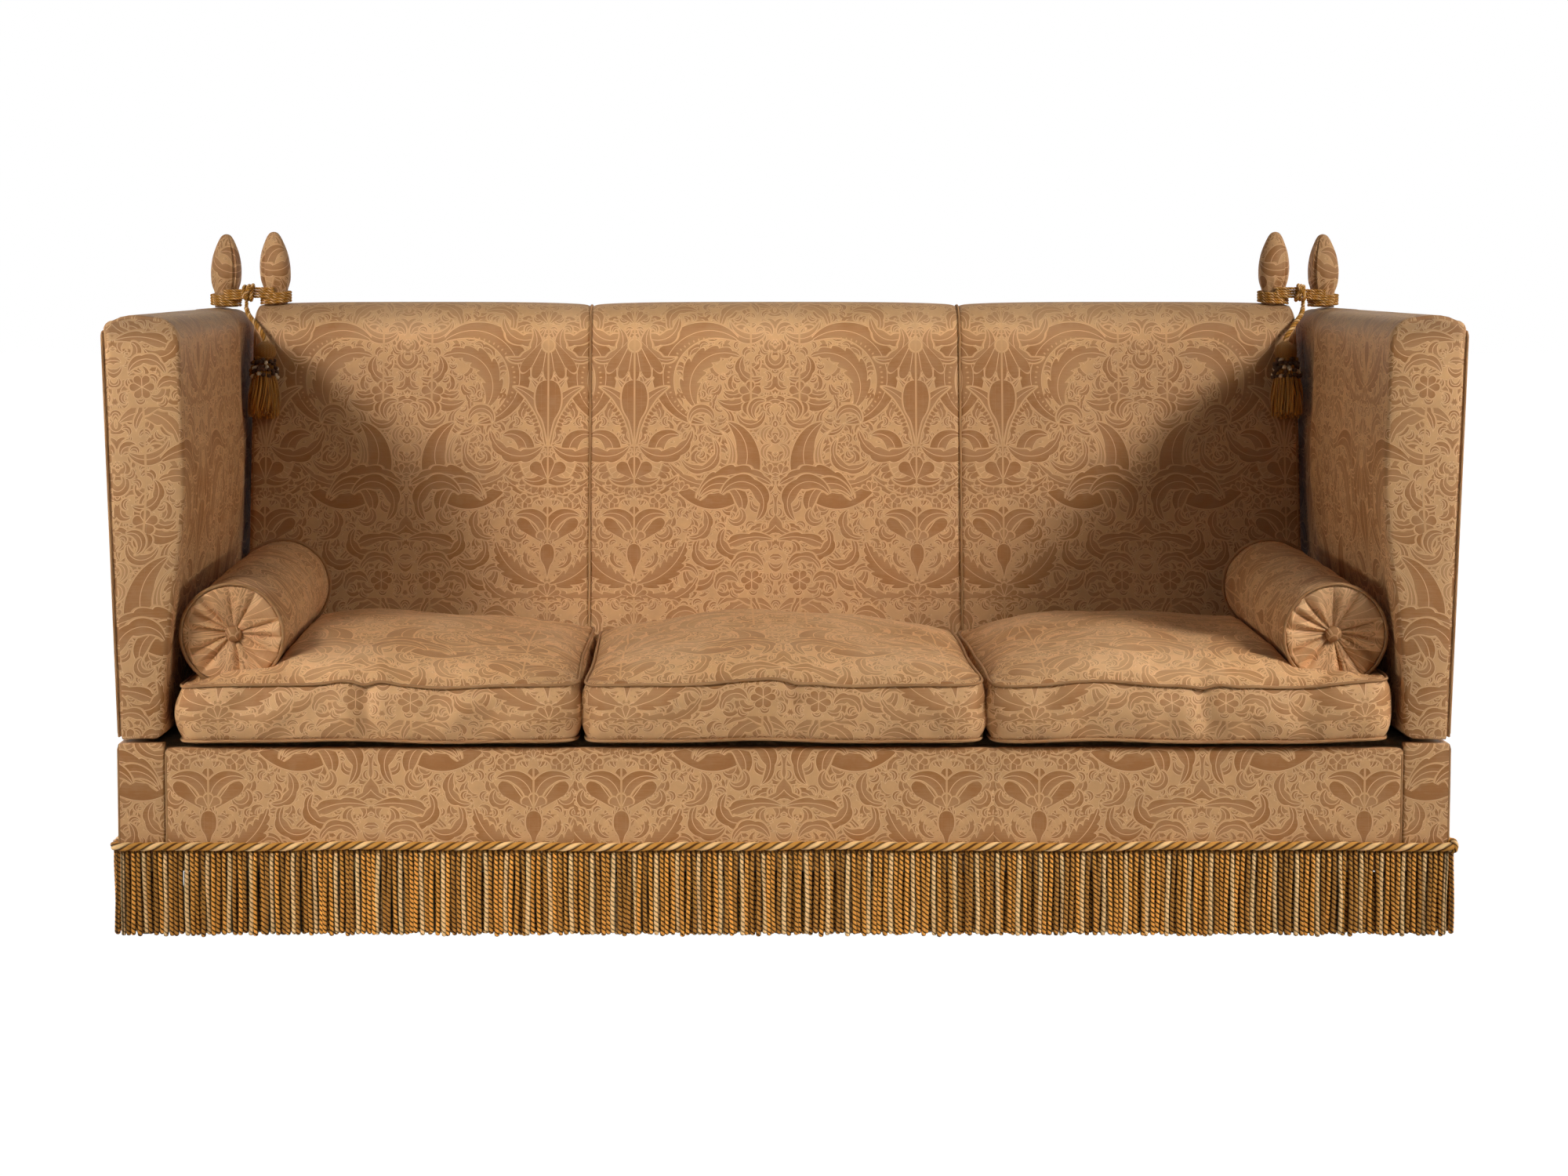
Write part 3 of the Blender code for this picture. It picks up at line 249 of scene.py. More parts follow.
class Wiring:
    """Adds nodes to one tree and joins them."""

    def __init__(self, tree: Tree) -> None:
        """Starts wiring a tree.

        Args:
            tree: The shader or geometry tree.
        """
        self.tree = tree

    def node(self, kind: str, **settings: object) -> Node:
        """Adds one node.

        Args:
            kind: The node's type name.
            **settings: Properties to set on it.

        Returns:
            The node.
        """
        made = self.tree.nodes.new(kind)
        for name, value in settings.items():
            setattr(made, name, value)
        return made

    def feed(self, target: Socket, value: Feed) -> None:
        """Joins a socket to another, or sets its value.

        Args:
            target: The input.
            value: An output or a plain value.
        """
        if isinstance(value, Socket):
            self.tree.links.new(value, target)
        else:
            target.default_value = value

    def wired(self, kind: str, feeds: dict[int | str, Feed], **settings: object) -> Node:
        """Adds one node and feeds its inputs.

        Args:
            kind: The node's type name.
            feeds: What each input gets, by its number or name.
            **settings: Properties to set on it.

        Returns:
            The node.
        """
        made = self.node(kind, **settings)
        for target, value in feeds.items():
            self.feed(made.inputs[target], value)
        return made

    def math(self, operation: str, *values: Feed) -> Socket:
        """Adds a Math node.

        Args:
            operation: Its operation.
            *values: Its inputs in order.

        Returns:
            Its result.
        """
        return self.wired("ShaderNodeMath", dict(enumerate(values)), operation=operation).outputs[0]

    def add(self, a: Feed, b: Feed) -> Socket:
        """Adds two numbers."""
        return self.math("ADD", a, b)

    def less(self, a: Feed, b: Feed) -> Socket:
        """Takes the second number from the first."""
        return self.math("SUBTRACT", a, b)

    def times(self, a: Feed, b: Feed) -> Socket:
        """Multiplies two numbers."""
        return self.math("MULTIPLY", a, b)

    def over(self, a: Feed, b: Feed) -> Socket:
        """Divides the first number by the second."""
        return self.math("DIVIDE", a, b)

    def scaled(self, a: Feed, by: Feed, more: Feed) -> Socket:
        """Multiplies the first number by the second, and adds the third."""
        return self.math("MULTIPLY_ADD", a, by, more)

    def absolute(self, a: Feed) -> Socket:
        """Drops a number's sign."""
        return self.math("ABSOLUTE", a)

    def above(self, a: Feed, b: Feed) -> Socket:
        """Gives 1 where the first number is the larger one, and 0 elsewhere."""
        return self.math("GREATER_THAN", a, b)

    def below(self, a: Feed, b: Feed) -> Socket:
        """Gives 1 where the first number is the smaller one, and 0 elsewhere."""
        return self.math("LESS_THAN", a, b)

    def sine(self, a: Feed) -> Socket:
        """The sine of an angle."""
        return self.math("SINE", a)

    def fraction(self, a: Feed) -> Socket:
        """What a number has beyond the whole number below it."""
        return self.math("FRACT", a)

    def hold(self, value: Feed) -> Socket:
        """Holds a value from 0 to 1, by plain steps that keep a long shader small."""
        return self.math("MINIMUM", self.math("MAXIMUM", value, 0.0), 1.0)

    def split(self, value: Feed) -> tuple[Socket, ...]:
        """Splits a vector into its three numbers."""
        return tuple(self.wired("ShaderNodeSeparateXYZ", {0: value}).outputs)

    def join(self, x: Feed, y: Feed, z: Feed = 0.0) -> Socket:
        """Joins three numbers into a vector."""
        return self.wired("ShaderNodeCombineXYZ", {0: x, 1: y, 2: z}).outputs[0]

    def stretched(self, axes: Sequence[Socket], *factors: float) -> Socket:
        """Joins the axes of a place, each multiplied by its factor."""
        return self.join(*(self.times(axis, factor) for axis, factor in zip(axes, factors)))

    def curve(self, value: Feed, points: Sequence[Point]) -> Socket:
        """Reads a value off a smooth curve.

        Args:
            value: The input.
            points: The curve's points, from left to right.

        Returns:
            The curve's height there.
        """
        made = self.node("ShaderNodeFloatCurve")
        line = made.mapping.curves[0]
        line.points[0].location, line.points[1].location = points[0], points[-1]
        for point in points[1:-1]:
            line.points.new(*point)
        made.mapping.update()
        self.feed(made.inputs["Value"], value)
        return made.outputs[0]

    def fit(self, value: Feed, low: float, high: float, start: float = 0.0, end: float = 1.0) -> Socket:
        """Fits a range of values into another, smoothly.

        Args:
            value: The input.
            low: The input that gives start.
            high: The input that gives end.
            start: The output at low.
            end: The output at high.

        Returns:
            The fitted value.
        """
        feeds = dict(enumerate((value, low, high, start, end)))
        return self.wired("ShaderNodeMapRange", feeds, interpolation_type="SMOOTHSTEP").outputs[0]

    def blend(self, amount: Feed, low: Feed, high: Feed) -> Socket:
        """Blends two numbers."""
        return self.wired("ShaderNodeMix", {0: amount, 2: low, 3: high}, data_type="FLOAT").outputs[0]

    def tint(self, amount: Feed, low: Feed, high: Feed, kind: str = "MIX") -> Socket:
        """Blends two colours.

        Args:
            amount: How much of the second, from 0 to 1.
            low: The first colour.
            high: The second colour.
            kind: The blend mode.

        Returns:
            The blended colour.
        """
        feeds = {0: amount, 6: opaque(low), 7: opaque(high)}
        return self.wired("ShaderNodeMix", feeds, data_type="RGBA", blend_type=kind).outputs[2]

    def shaded(self, base: Feed, shade: Feed) -> Socket:
        """Multiplies a colour by a number."""
        return self.tint(1.0, base, self.join(shade, shade, shade), "MULTIPLY")

    def noise(self, place: Feed, scale: float, detail: float = 2.0, rough: float = 0.5) -> Socket:
        """Adds a noise of a given scale and returns its height."""
        feeds = {"Vector": place, "Scale": scale, "Detail": detail, "Roughness": rough}
        return self.wired("ShaderNodeTexNoise", feeds).outputs[0]

    def cloth(self) -> Socket:
        """The cloth's own coordinates, along and across its threads."""
        return self.node("ShaderNodeUVMap", uv_map=CLOTH).outputs[0]

    def place(self) -> Socket:
        """The place on the piece."""
        return self.node("ShaderNodeTexCoord").outputs["Object"]

    def mark(self, name: str) -> Socket:
        """One of the mesh's named numbers."""
        return self.node("ShaderNodeAttribute", attribute_name=name).outputs["Fac"]

    def group(self, tree: Tree, **values: Feed) -> Node:
        """Places a node group.

        Args:
            tree: The group's tree.
            **values: Its inputs by name, with _ for a space.

        Returns:
            The group node.
        """
        feeds = {name.replace("_", " "): value for name, value in values.items()}
        return self.wired("ShaderNodeGroup", feeds, node_tree=tree)


Builder = Callable[[Wiring, Sockets], Sockets]


class Shared:
    """Shader node groups that are built once and placed in several materials."""

    made: dict[str, Tree] = {}

    @classmethod
    def group(
        cls, name: str, inputs: Sequence[tuple[str, str]], outputs: Sequence[tuple[str, str]],
        build: Builder,
    ) -> Tree:
        """Returns a group, built on its first use.

        Args:
            name: The group's name.
            inputs: The name and kind (Float, Vector or Color) of each input.
            outputs: The same for each output.
            build: Wires the group's inputs to its outputs.

        Returns:
            The group's tree.
        """
        if name in cls.made:
            return cls.made[name]
        tree = bpy.data.node_groups.new(name, "ShaderNodeTree")
        for direction, sockets in (("INPUT", inputs), ("OUTPUT", outputs)):
            for socket, kind in sockets:
                tree.interface.new_socket(socket, in_out=direction, socket_type=f"NodeSocket{kind}")
        wires = Wiring(tree)
        start, end = wires.node("NodeGroupInput"), wires.node("NodeGroupOutput")
        results = build(wires, {socket.name: socket for socket in start.outputs if socket.name})
        for socket, value in results.items():
            wires.feed(end.inputs[socket], value)
        cls.made[name] = tree
        return tree


@dataclass(frozen=True)
class Leaf:
    """A curved leaf of the damask, from its base to its tip, in millimetres of half a repeat."""

    base: Point
    tip: Point
    bend: float
    width: float
    lobes: float = 0.0
    cut: float = 0.0
    tone: float = 1.0

    def arc(self) -> tuple[Point, float, float, float, float]:
        """Finds the circle that the leaf follows.

        Returns:
            Its centre, its radius, the sweep's first angle, the sweep, and 1 where the base is at its end.
        """
        (x0, y0), (x1, y1) = self.base, self.tip
        chord = math.hypot(x1 - x0, y1 - y0)
        rise = self.bend * chord
        radius = (chord * chord / 4 + rise * rise) / (2 * abs(rise))
        left = (-(y1 - y0) / chord, (x1 - x0) / chord)
        away = math.copysign(radius, rise) - rise
        centre = ((x0 + x1) / 2 - left[0] * away, (y0 + y1) / 2 - left[1] * away)
        angles = [math.atan2(y - centre[1], x - centre[0]) for x, y in (self.base, self.tip)]
        clockwise = self.bend > 0
        start = angles[1] if clockwise else angles[0]
        sweep = (angles[0] - angles[1] if clockwise else angles[1] - angles[0]) % TURN
        return centre, radius, start, sweep, 1.0 if clockwise else 0.0


@dataclass(frozen=True)
class Fan:
    """A flower, shell or lace edge: petals spread about a direction, in millimetres and degrees."""

    centre: Point
    facing: float
    spread: float
    petals: float
    radius: float
    cut: float = 0.3
    hollow: float = 0.0
    tone: float = 1.0


@dataclass(frozen=True)
class Drop:
    """An upright teardrop, from its point to its round end."""

    point: Point
    height: float
    width: float
    tone: float = 1.0


@dataclass(frozen=True)
class Pearls:
    """A curved string of pearls or short strokes."""

    base: Point
    tip: Point
    bend: float
    count: float
    size: float
    tone: float = 0.8


Motif = Leaf | Fan | Drop | Pearls


@dataclass(frozen=True)
class Filler:
    """A small curl, or a sprig of petals, strewn between the larger motifs, in millimetres and degrees."""

    rows: int
    radius: float
    sweep: float
    width: float = 0.0
    petals: float = 0.0
    seed: float = 0.0
    stray: float = 0.3
    tone: float = 0.85


@dataclass(frozen=True)
class Damask:
    """A baroque damask of the usual kind: palmettes, lotus flowers and scrolls, mirrored in every repeat."""

    half_repeat: float = 272.5
    repeat: float = 590.0
    edge: float = 0.7
    moat: float = 2.2
    line: float = 0.5
    line_depth: float = 0.9
    line_width: float = 0.6
    hair: float = 0.002
    shared_inputs: tuple[str, ...] = ("Across", "Up", "Centre X", "Centre Y")
    fillers: tuple[Filler, ...] = (
        Filler(18, 10.5, 215, width=7.5, seed=1),
        Filler(14, 13.0, 200, width=10.0, seed=9),
        Filler(16, 9.0, 150, petals=3, seed=5, tone=0.8),
        Filler(12, 15.0, 235, width=10.0, seed=14),
        Filler(20, 6.5, 220, width=5.5, seed=23, tone=0.9),
    )

    def motifs(self) -> tuple[Motif, ...]:
        """Lays out half a repeat, back to front, from the scroll axis at 0 to the flower column.

        Returns:
            The motifs, in millimetres.
        """
        col = self.half_repeat
        return (
            # Great C scrolls with their pearl row, the leaf inside them, and the feathers above
            Leaf((6, 566), (104, 520), 0.34, 17, 4, 0.3, 0.75),
            Leaf((112, 574), (34, 548), -0.42, 13, 3, 0.3, 0.85),
            Leaf((150, 556), (196, 512), 0.5, 13, 3, 0.3, 0.8),
            Leaf((20, 515), (88, 540), -0.32, 11, 0, 0, 0.8),
            Leaf((150, 366), (64, 466), -0.42, 24, 6, 0.34, 0.8),
            Leaf((74, 502), (128, 338), 0.68, 23, 0, 0, 1.0),
            Pearls((94, 496), (150, 348), 0.54, 26, 1.9, 0.0),
            Leaf((132, 338), (112, 368), 1.1, 8, 0, 0, 0.9),
            Leaf((112, 384), (56, 452), 0.5, 17, 4, 0.34, 0.9),
            Leaf((60, 470), (22, 430), 0.5, 12, 3, 0.3, 0.95),
            Leaf((100, 402), (62, 418), 0.4, 10, 3, 0.3, 0.9),
            Fan((48, 398), 90, 180, 5, 23, 0.4, 0, 0.9),
            Drop((47, 336), 44, 18, 1.0),
            Leaf((22, 362), (74, 362), -0.5, 10, 0, 0, 0.85),
            Leaf((18, 380), (34, 344), 0.5, 9, 0, 0, 0.9),
            # Full commas below the scrolls, their wings, and the lines inside them
            Leaf((196, 246), (96, 342), 0.72, 33, 0, 0, 1.0),
            Leaf((190, 256), (110, 326), 0.70, 9, 0, 0, 0.55),
            Leaf((182, 270), (124, 312), 0.62, 11, 3, 0.3, 0.85),
            Leaf((206, 262), (104, 226), 0.20, 12, 4, 0.3, 0.85),
            Leaf((204, 254), (182, 312), -0.62, 17, 0, 0, 0.95),
            Leaf((120, 344), (164, 336), 0.6, 9, 0, 0, 0.8),
            Fan((138, 290), 60, 95, 4, 14, 0.45, 0, 0.75),
            Fan((10, 238), 90, 110, 5, 22, 0.45, 0, 0.8),
            Leaf((6, 330), (10, 300), 0.5, 7, 0, 0, 0.5),
            Leaf((6, 296), (10, 266), 0.5, 7, 0, 0, 0.5),
            # Flower column: bell, teardrop with its leaves, drooping petals, lace and tulip
            Leaf((col - 8, 522), (col - 86, 548), 0.42, 15, 3, 0.3, 0.85),
            Leaf((col - 30, 524), (col - 84, 468), 0.42, 13, 3, 0.3, 0.85),
            Fan((col, 530), 90, 62, 5, 34, 0.3, 0, 0.85),
            Fan((col, 512), -90, 44, 5, 92, 0.3, 0, 0.95),
            Fan((col, 490), 90, 180, 1, 13, 0.0, 0, 0.15),
            Leaf((col - 6, 300), (col - 38, 428), -0.16, 12, 0, 0, 0.8),
            Leaf((col - 4, 296), (col - 70, 410), -0.20, 15, 0, 0, 0.85),
            Pearls((col - 20, 316), (col - 96, 392), -0.20, 15, 3.4, 0.85),
            Leaf((col - 10, 294), (col - 112, 330), 0.34, 16, 4, 0.3, 0.9),
            Drop((col, 292), 130, 27, 1.0),
            Leaf((col - 2, 290), (col - 86, 240), 0.56, 18, 0, 0, 0.95),
            Leaf((col - 2, 284), (col - 62, 218), 0.42, 15, 4, 0.25, 0.85),
            Fan((col, 268), -90, 78, 13, 74, 0.22, 0, 0.85),
            Fan((col, 268), -90, 82, 13, 54, 0.0, 0, 0.1),
            Leaf((col - 4, 282), (col - 50, 234), 0.50, 13, 0, 0, 0.95),
            Fan((col, 228), 90, 66, 3, 46, 0.25, 0, 1.0),
            # Acanthus that meets on the scroll axis, and its branches
            Leaf((150, 190), (4, 216), -0.24, 21, 5, 0.25, 0.95),
            Leaf((146, 196), (92, 138), -0.75, 15, 3, 0.3, 0.95),
            Leaf((104, 200), (42, 146), -0.66, 17, 3, 0.3, 1.0),
            Leaf((6, 202), (40, 122), -0.36, 15, 3, 0.3, 0.9),
            Leaf((70, 172), (92, 158), -0.8, 9, 0, 0, 0.8),
            Leaf((2, 112), (134, 60), 0.18, 13, 4, 0.35, 0.9),
            Leaf((52, 98), (94, 136), -0.62, 14, 3, 0.3, 1.0),
            Leaf((98, 78), (142, 118), -0.60, 13, 3, 0.3, 0.95),
            Leaf((30, 108), (20, 84), 0.6, 9, 0, 0, 0.85),
            Leaf((140, 170), (172, 118), -0.42, 12, 3, 0.3, 0.85),
            Leaf((120, 52), (168, 66), -0.7, 12, 0, 0, 0.9),
            Fan((184, 206), 60, 110, 5, 20, 0.45, 0, 0.8),
            Fan((46, 34), 90, 180, 6, 22, 0.42, 0, 0.95),
            Leaf((24, 58), (86, 50), 0.42, 11, 3, 0.3, 0.85),
            Leaf((72, 30), (112, 12), 0.5, 12, 3, 0.3, 0.85),
            Leaf((6, 8), (72, 2), -0.42, 10, 3, 0.3, 0.85),
            # Lotus flower on its stem, with feathers and pearl strings
            Leaf((col - 4, 22), (col - 124, 46), 0.30, 17, 6, 0.34, 0.85),
            Leaf((col - 122, 40), (col - 92, 20), 0.9, 8, 0, 0, 0.9),
            Leaf((col - 6, 26), (col - 100, 112), 0.16, 23, 7, 0.36, 0.95),
            Pearls((col - 8, 36), (col - 50, 98), -0.14, 9, 4.6, 0.0),
            Fan((col, 100), 90, 60, 5, 78, 0.26, 0, 1.0),
            Leaf((col - 8, 104), (col - 66, 156), -0.40, 14, 0, 0, 0.95),
            Fan((col, 108), 90, 70, 3, 26, 0.2, 0, 0.7),
            Drop((col, 34), 70, 15, 1.0),
            Fan((col - 46, 186), 90, 120, 3, 16, 0.45, 0, 0.85),
            Fan((col, 192), 90, 90, 5, 17, 0.45, 0, 0.85),
            Fan((col, 2), 90, 84, 5, 28, 0.35, 0, 0.85),
        )

    @staticmethod
    def polar(w: Wiring, i: Sockets) -> tuple[Socket, Socket]:
        """Finds how far a point is from a motif's centre, and its angle there."""
        x, y = w.less(i["Across"], i["Centre X"]), w.less(i["Up"], i["Centre Y"])
        radius = w.math("SQRT", w.scaled(x, x, w.times(y, y)))
        return radius, w.math("ARCTAN2", y, x)

    def along(self, w: Wiring, i: Sockets, angle: Socket) -> Socket:
        """Finds how far along its sweep an angle lies, with more than 1 past its end."""
        turned = w.math("FLOORED_MODULO", w.less(angle, i["Start"]), TURN)
        return w.over(turned, i["Sweep"])

    def finish(
        self, w: Wiring, depth: Socket, shown: Socket, rib: Socket,
        shade: Socket, tone: Socket,
    ) -> Sockets:
        """Turns the depth inside a motif into its mask and its tone, with a pale line inside its edge."""
        widened = w.hold(w.over(w.add(depth, self.moat), self.edge))
        body = w.hold(w.over(depth, self.edge))
        rim = w.math("COMPARE", depth, self.line_depth, self.line_width)
        line = w.math("MAXIMUM", rim, w.times(rib, body))
        filled = w.times(w.times(body, shade), tone)
        return {"Mask": w.times(widened, shown), "Tone": w.blend(line, filled, -self.line)}

    def shape(self, title: str, names: Sequence[str], build: Builder) -> Tree:
        """Returns the group that draws one kind of motif.

        Args:
            title: The group's name.
            names: Its inputs, apart from those that all kinds have.
            build: Wires it.

        Returns:
            The group's tree.
        """
        inputs = [(name, "Float") for name in (*self.shared_inputs, *names)]
        return Shared.group(title, inputs, [("Mask", "Float"), ("Tone", "Float")], build)

    def leaf_group(self, lobed: bool) -> Tree:
        """Builds the group that draws a leaf, plain or lobed."""

        def build(w: Wiring, i: Sockets) -> Sockets:
            """Wires the leaf."""
            radius, angle = self.polar(w, i)
            along = self.along(w, i, angle)
            shown = w.below(along, 1.0)
            up = w.absolute(w.less(i["Flip"], along))
            profile = w.curve(up, ((0.0, 0.22), (0.18, 0.72), (0.45, 1.0), (0.78, 0.62), (1.0, 0.0)))
            half = w.times(profile, i["Width"])
            side = w.less(radius, i["Radius"])
            rib = w.math("COMPARE", side, 0.0, 0.65)
            if lobed:
                slant = w.scaled(w.absolute(side), -0.010, up)
                wave = w.absolute(w.sine(w.times(slant, i["Lobes"])))
                notch = w.less(1.0, w.times(i["Cut"], w.less(1.0, wave)))
                half = w.times(half, notch)
            depth = w.less(half, w.absolute(side))
            shade = w.scaled(w.over(side, i["Width"]), 0.20, 0.84)
            return self.finish(w, depth, shown, rib, shade, i["Tone"])

        names = ["Radius", "Start", "Sweep", "Width", "Flip", "Tone"] + (["Lobes", "Cut"] if lobed else [])
        return self.shape("damask_acanthus" if lobed else "damask_blade", names, build)

    def fan_group(self) -> Tree:
        """Builds the group that draws a fan of petals."""

        def build(w: Wiring, i: Sockets) -> Sockets:
            """Wires the fan."""
            radius, angle = self.polar(w, i)
            along = self.along(w, i, angle)
            shown = w.times(w.below(along, 1.0), w.above(radius, i["Hollow"]))
            part = w.fraction(w.times(along, i["Petals"]))
            out = w.absolute(w.scaled(part, 2.0, -1.0))
            notch = w.times(w.math("POWER", out, 2.6), i["Cut"])
            rim = w.times(i["Radius"], w.less(1.0, notch))
            depth = w.less(rim, radius)
            gap = w.times(w.less(1.0, out), radius)
            rib = w.below(w.times(gap, w.over(i["Sweep"], i["Petals"])), 1.5)
            shade = w.scaled(w.over(radius, i["Radius"]), 0.30, 0.66)
            return self.finish(w, depth, shown, rib, shade, i["Tone"])

        names = ("Radius", "Start", "Sweep", "Petals", "Cut", "Hollow", "Tone")
        return self.shape("damask_fan", names, build)

    def pearl_group(self) -> Tree:
        """Builds the group that draws a string of pearls."""

        def build(w: Wiring, i: Sockets) -> Sockets:
            """Wires the string."""
            radius, angle = self.polar(w, i)
            along = self.along(w, i, angle)
            cell = w.less(w.fraction(w.times(along, i["Count"])), 0.5)
            across = w.times(cell, i["Pitch"])
            off = w.times(w.less(radius, i["Radius"]), 0.62)
            far = w.math("SQRT", w.scaled(across, across, w.times(off, off)))
            depth = w.less(i["Size"], far)
            mask = w.times(w.hold(w.over(depth, self.edge)), w.below(along, 1.0))
            return {"Mask": mask, "Tone": i["Tone"]}

        names = ("Radius", "Start", "Sweep", "Count", "Pitch", "Size", "Tone")
        return self.shape("damask_pearls", names, build)

    def drop_group(self) -> Tree:
        """Builds the group that draws a teardrop."""

        def build(w: Wiring, i: Sockets) -> Sockets:
            """Wires the teardrop."""
            x, y = w.less(i["Across"], i["Centre X"]), w.less(i["Up"], i["Centre Y"])
            up = w.hold(w.over(y, i["Height"]))
            half = w.curve(up, ((0.0, 0.04), (0.35, 0.38), (0.70, 0.98), (0.88, 0.88), (1.0, 0.0)))
            side = w.absolute(x)
            depth = w.less(w.times(half, i["Width"]), side)
            shown = w.above(up, 0.0)
            rib = w.math("COMPARE", side, w.times(i["Width"], 0.5), 0.1)
            shade = w.scaled(up, 0.26, 0.72)
            return self.finish(w, depth, shown, w.times(rib, 0.4), shade, i["Tone"])

        names = ("Height", "Width", "Tone")
        return self.shape("damask_drop", names, build)

    def draw(self, w: Wiring, across: Feed, up: Feed, motif: Motif, index: int) -> Node:
        """Places the group that draws one motif.

        Args:
            w: The wiring of the whole figure.
            across: How far across half a repeat a point lies, in millimetres.
            up: How far up it lies.
            motif: What to draw.
            index: The motif's number, which moves it by a hair, so that no two share a step of the shader.

        Returns:
            The group node.
        """
        hair = index * self.hair
        shared: dict[str, Feed] = {"Across": across, "Up": up, "Tone": motif.tone}
        if isinstance(motif, Drop):
            shared |= {"Centre X": motif.point[0] + hair, "Centre Y": motif.point[1] + hair}
            return w.group(self.drop_group(), **shared, Height=motif.height, Width=motif.width)
        if isinstance(motif, Fan):
            shared |= {"Centre X": motif.centre[0] + hair, "Centre Y": motif.centre[1] + hair}
            start, sweep = math.radians(motif.facing - motif.spread), math.radians(2 * motif.spread)
            shared |= {"Radius": motif.radius, "Start": start, "Sweep": sweep}
            petals, cut, hollow = motif.petals, motif.cut, motif.hollow
            return w.group(self.fan_group(), **shared, Petals=petals, Cut=cut, Hollow=hollow)
        arc = motif if isinstance(motif, Leaf) else Leaf(motif.base, motif.tip, motif.bend, motif.size)
        centre, radius, start, sweep, flip = arc.arc()
        shared |= {"Centre X": centre[0] + hair, "Centre Y": centre[1] + hair, "Radius": radius}
        shared |= {"Start": start, "Sweep": sweep}
        if isinstance(motif, Pearls):
            pitch = radius * sweep / motif.count
            return w.group(self.pearl_group(), **shared, Count=motif.count, Pitch=pitch, Size=motif.size)
        if motif.lobes:
            shared |= {"Lobes": math.pi * motif.lobes, "Cut": motif.cut}
            return w.group(self.leaf_group(True), **shared, Width=motif.width, Flip=flip)
        return w.group(self.leaf_group(False), **shared, Width=motif.width, Flip=flip)

    def scatter(self, w: Wiring, across: Feed, up: Feed, filler: "Filler") -> Node:
        """Strews one small motif over the ground, turned by chance.

        Args:
            w: The wiring of the whole figure.
            across: How far across half a repeat a point lies, in millimetres.
            up: How far up it lies.
            filler: What is strewn.

        Returns:
            The group node.
        """
        cell = self.repeat / filler.rows
        row = w.math("FLOOR", w.over(up, cell))
        slid = w.scaled(w.math("FLOORED_MODULO", row, 2.0), cell / 2, across)
        column = w.math("FLOOR", w.over(slid, cell))
        key = w.scaled(column, 12.99, w.scaled(row, 78.23, filler.seed))
        turn = w.fraction(w.times(w.sine(key), 437.6))
        drift = w.less(w.fraction(w.times(turn, 31.7)), 0.5)
        middle = w.scaled(w.scaled(drift, filler.stray, 0.5), cell, w.less(across, slid))
        height = w.times(w.add(row, w.scaled(turn, filler.stray, 0.35)), cell)
        shared: dict[str, Feed] = {
            "Across": across, "Up": up, "Centre X": w.scaled(column, cell, middle), "Centre Y": height,
            "Start": w.times(turn, 12 * math.pi), "Sweep": math.radians(filler.sweep), "Tone": filler.tone,
            "Radius": w.scaled(drift, filler.radius * 0.5, filler.radius),
        }
        if filler.petals:
            return w.group(self.fan_group(), **shared, Petals=filler.petals, Cut=0.4, Hollow=0.0)
        flip = w.above(drift, 0.0)
        return w.group(self.leaf_group(False), **shared, Width=filler.width, Flip=flip)

    def group(self) -> Tree:
        """Builds the whole figure, from cloth coordinates in metres to its tone, 0 on the ground."""

        def build(w: Wiring, i: Sockets) -> Sockets:
            """Folds the cloth into half a repeat and paints the motifs over each other."""
            u, v, _ = w.split(i["Cloth"])
            across = w.math("PINGPONG", w.times(u, 1000.0), self.half_repeat)
            up = w.math("FLOORED_MODULO", w.times(v, 1000.0), self.repeat)
            tone: Feed = 0.0
            for filler in self.fillers:
                drawn = self.scatter(w, across, up, filler)
                tone = w.blend(drawn.outputs["Mask"], tone, drawn.outputs["Tone"])
            for index, motif in enumerate(self.motifs()):
                drawn = self.draw(w, across, up, motif, index)
                tone = w.blend(drawn.outputs["Mask"], tone, drawn.outputs["Tone"])
            return {"Tone": tone}

        return Shared.group("damask_figure", [("Cloth", "Vector")], [("Tone", "Float")], build)


def cloth_grain() -> Tree:
    """Builds the fine weave that all the sofa's cloth shares: a height and a faint streak."""

    def build(w: Wiring, i: Sockets) -> Sockets:
        """Wires warp and weft, and the slubs that break them up."""
        u, v, _ = w.split(i["Cloth"])
        turns = w.over(TURN, i["Pitch"])
        warp = w.sine(w.times(u, turns))
        weft = w.sine(w.times(v, turns))
        streak = w.noise(w.join(w.times(u, 26.0), w.times(v, 340.0)), 1.0, 2.0, 0.6)
        height = w.scaled(w.times(warp, weft), 0.5, w.times(streak, 0.8))
        return {"Height": height, "Streak": streak}

    inputs, outputs = [("Cloth", "Vector"), ("Pitch", "Float")], [("Height", "Float"), ("Streak", "Float")]
    return Shared.group("cloth_grain", inputs, outputs, build)


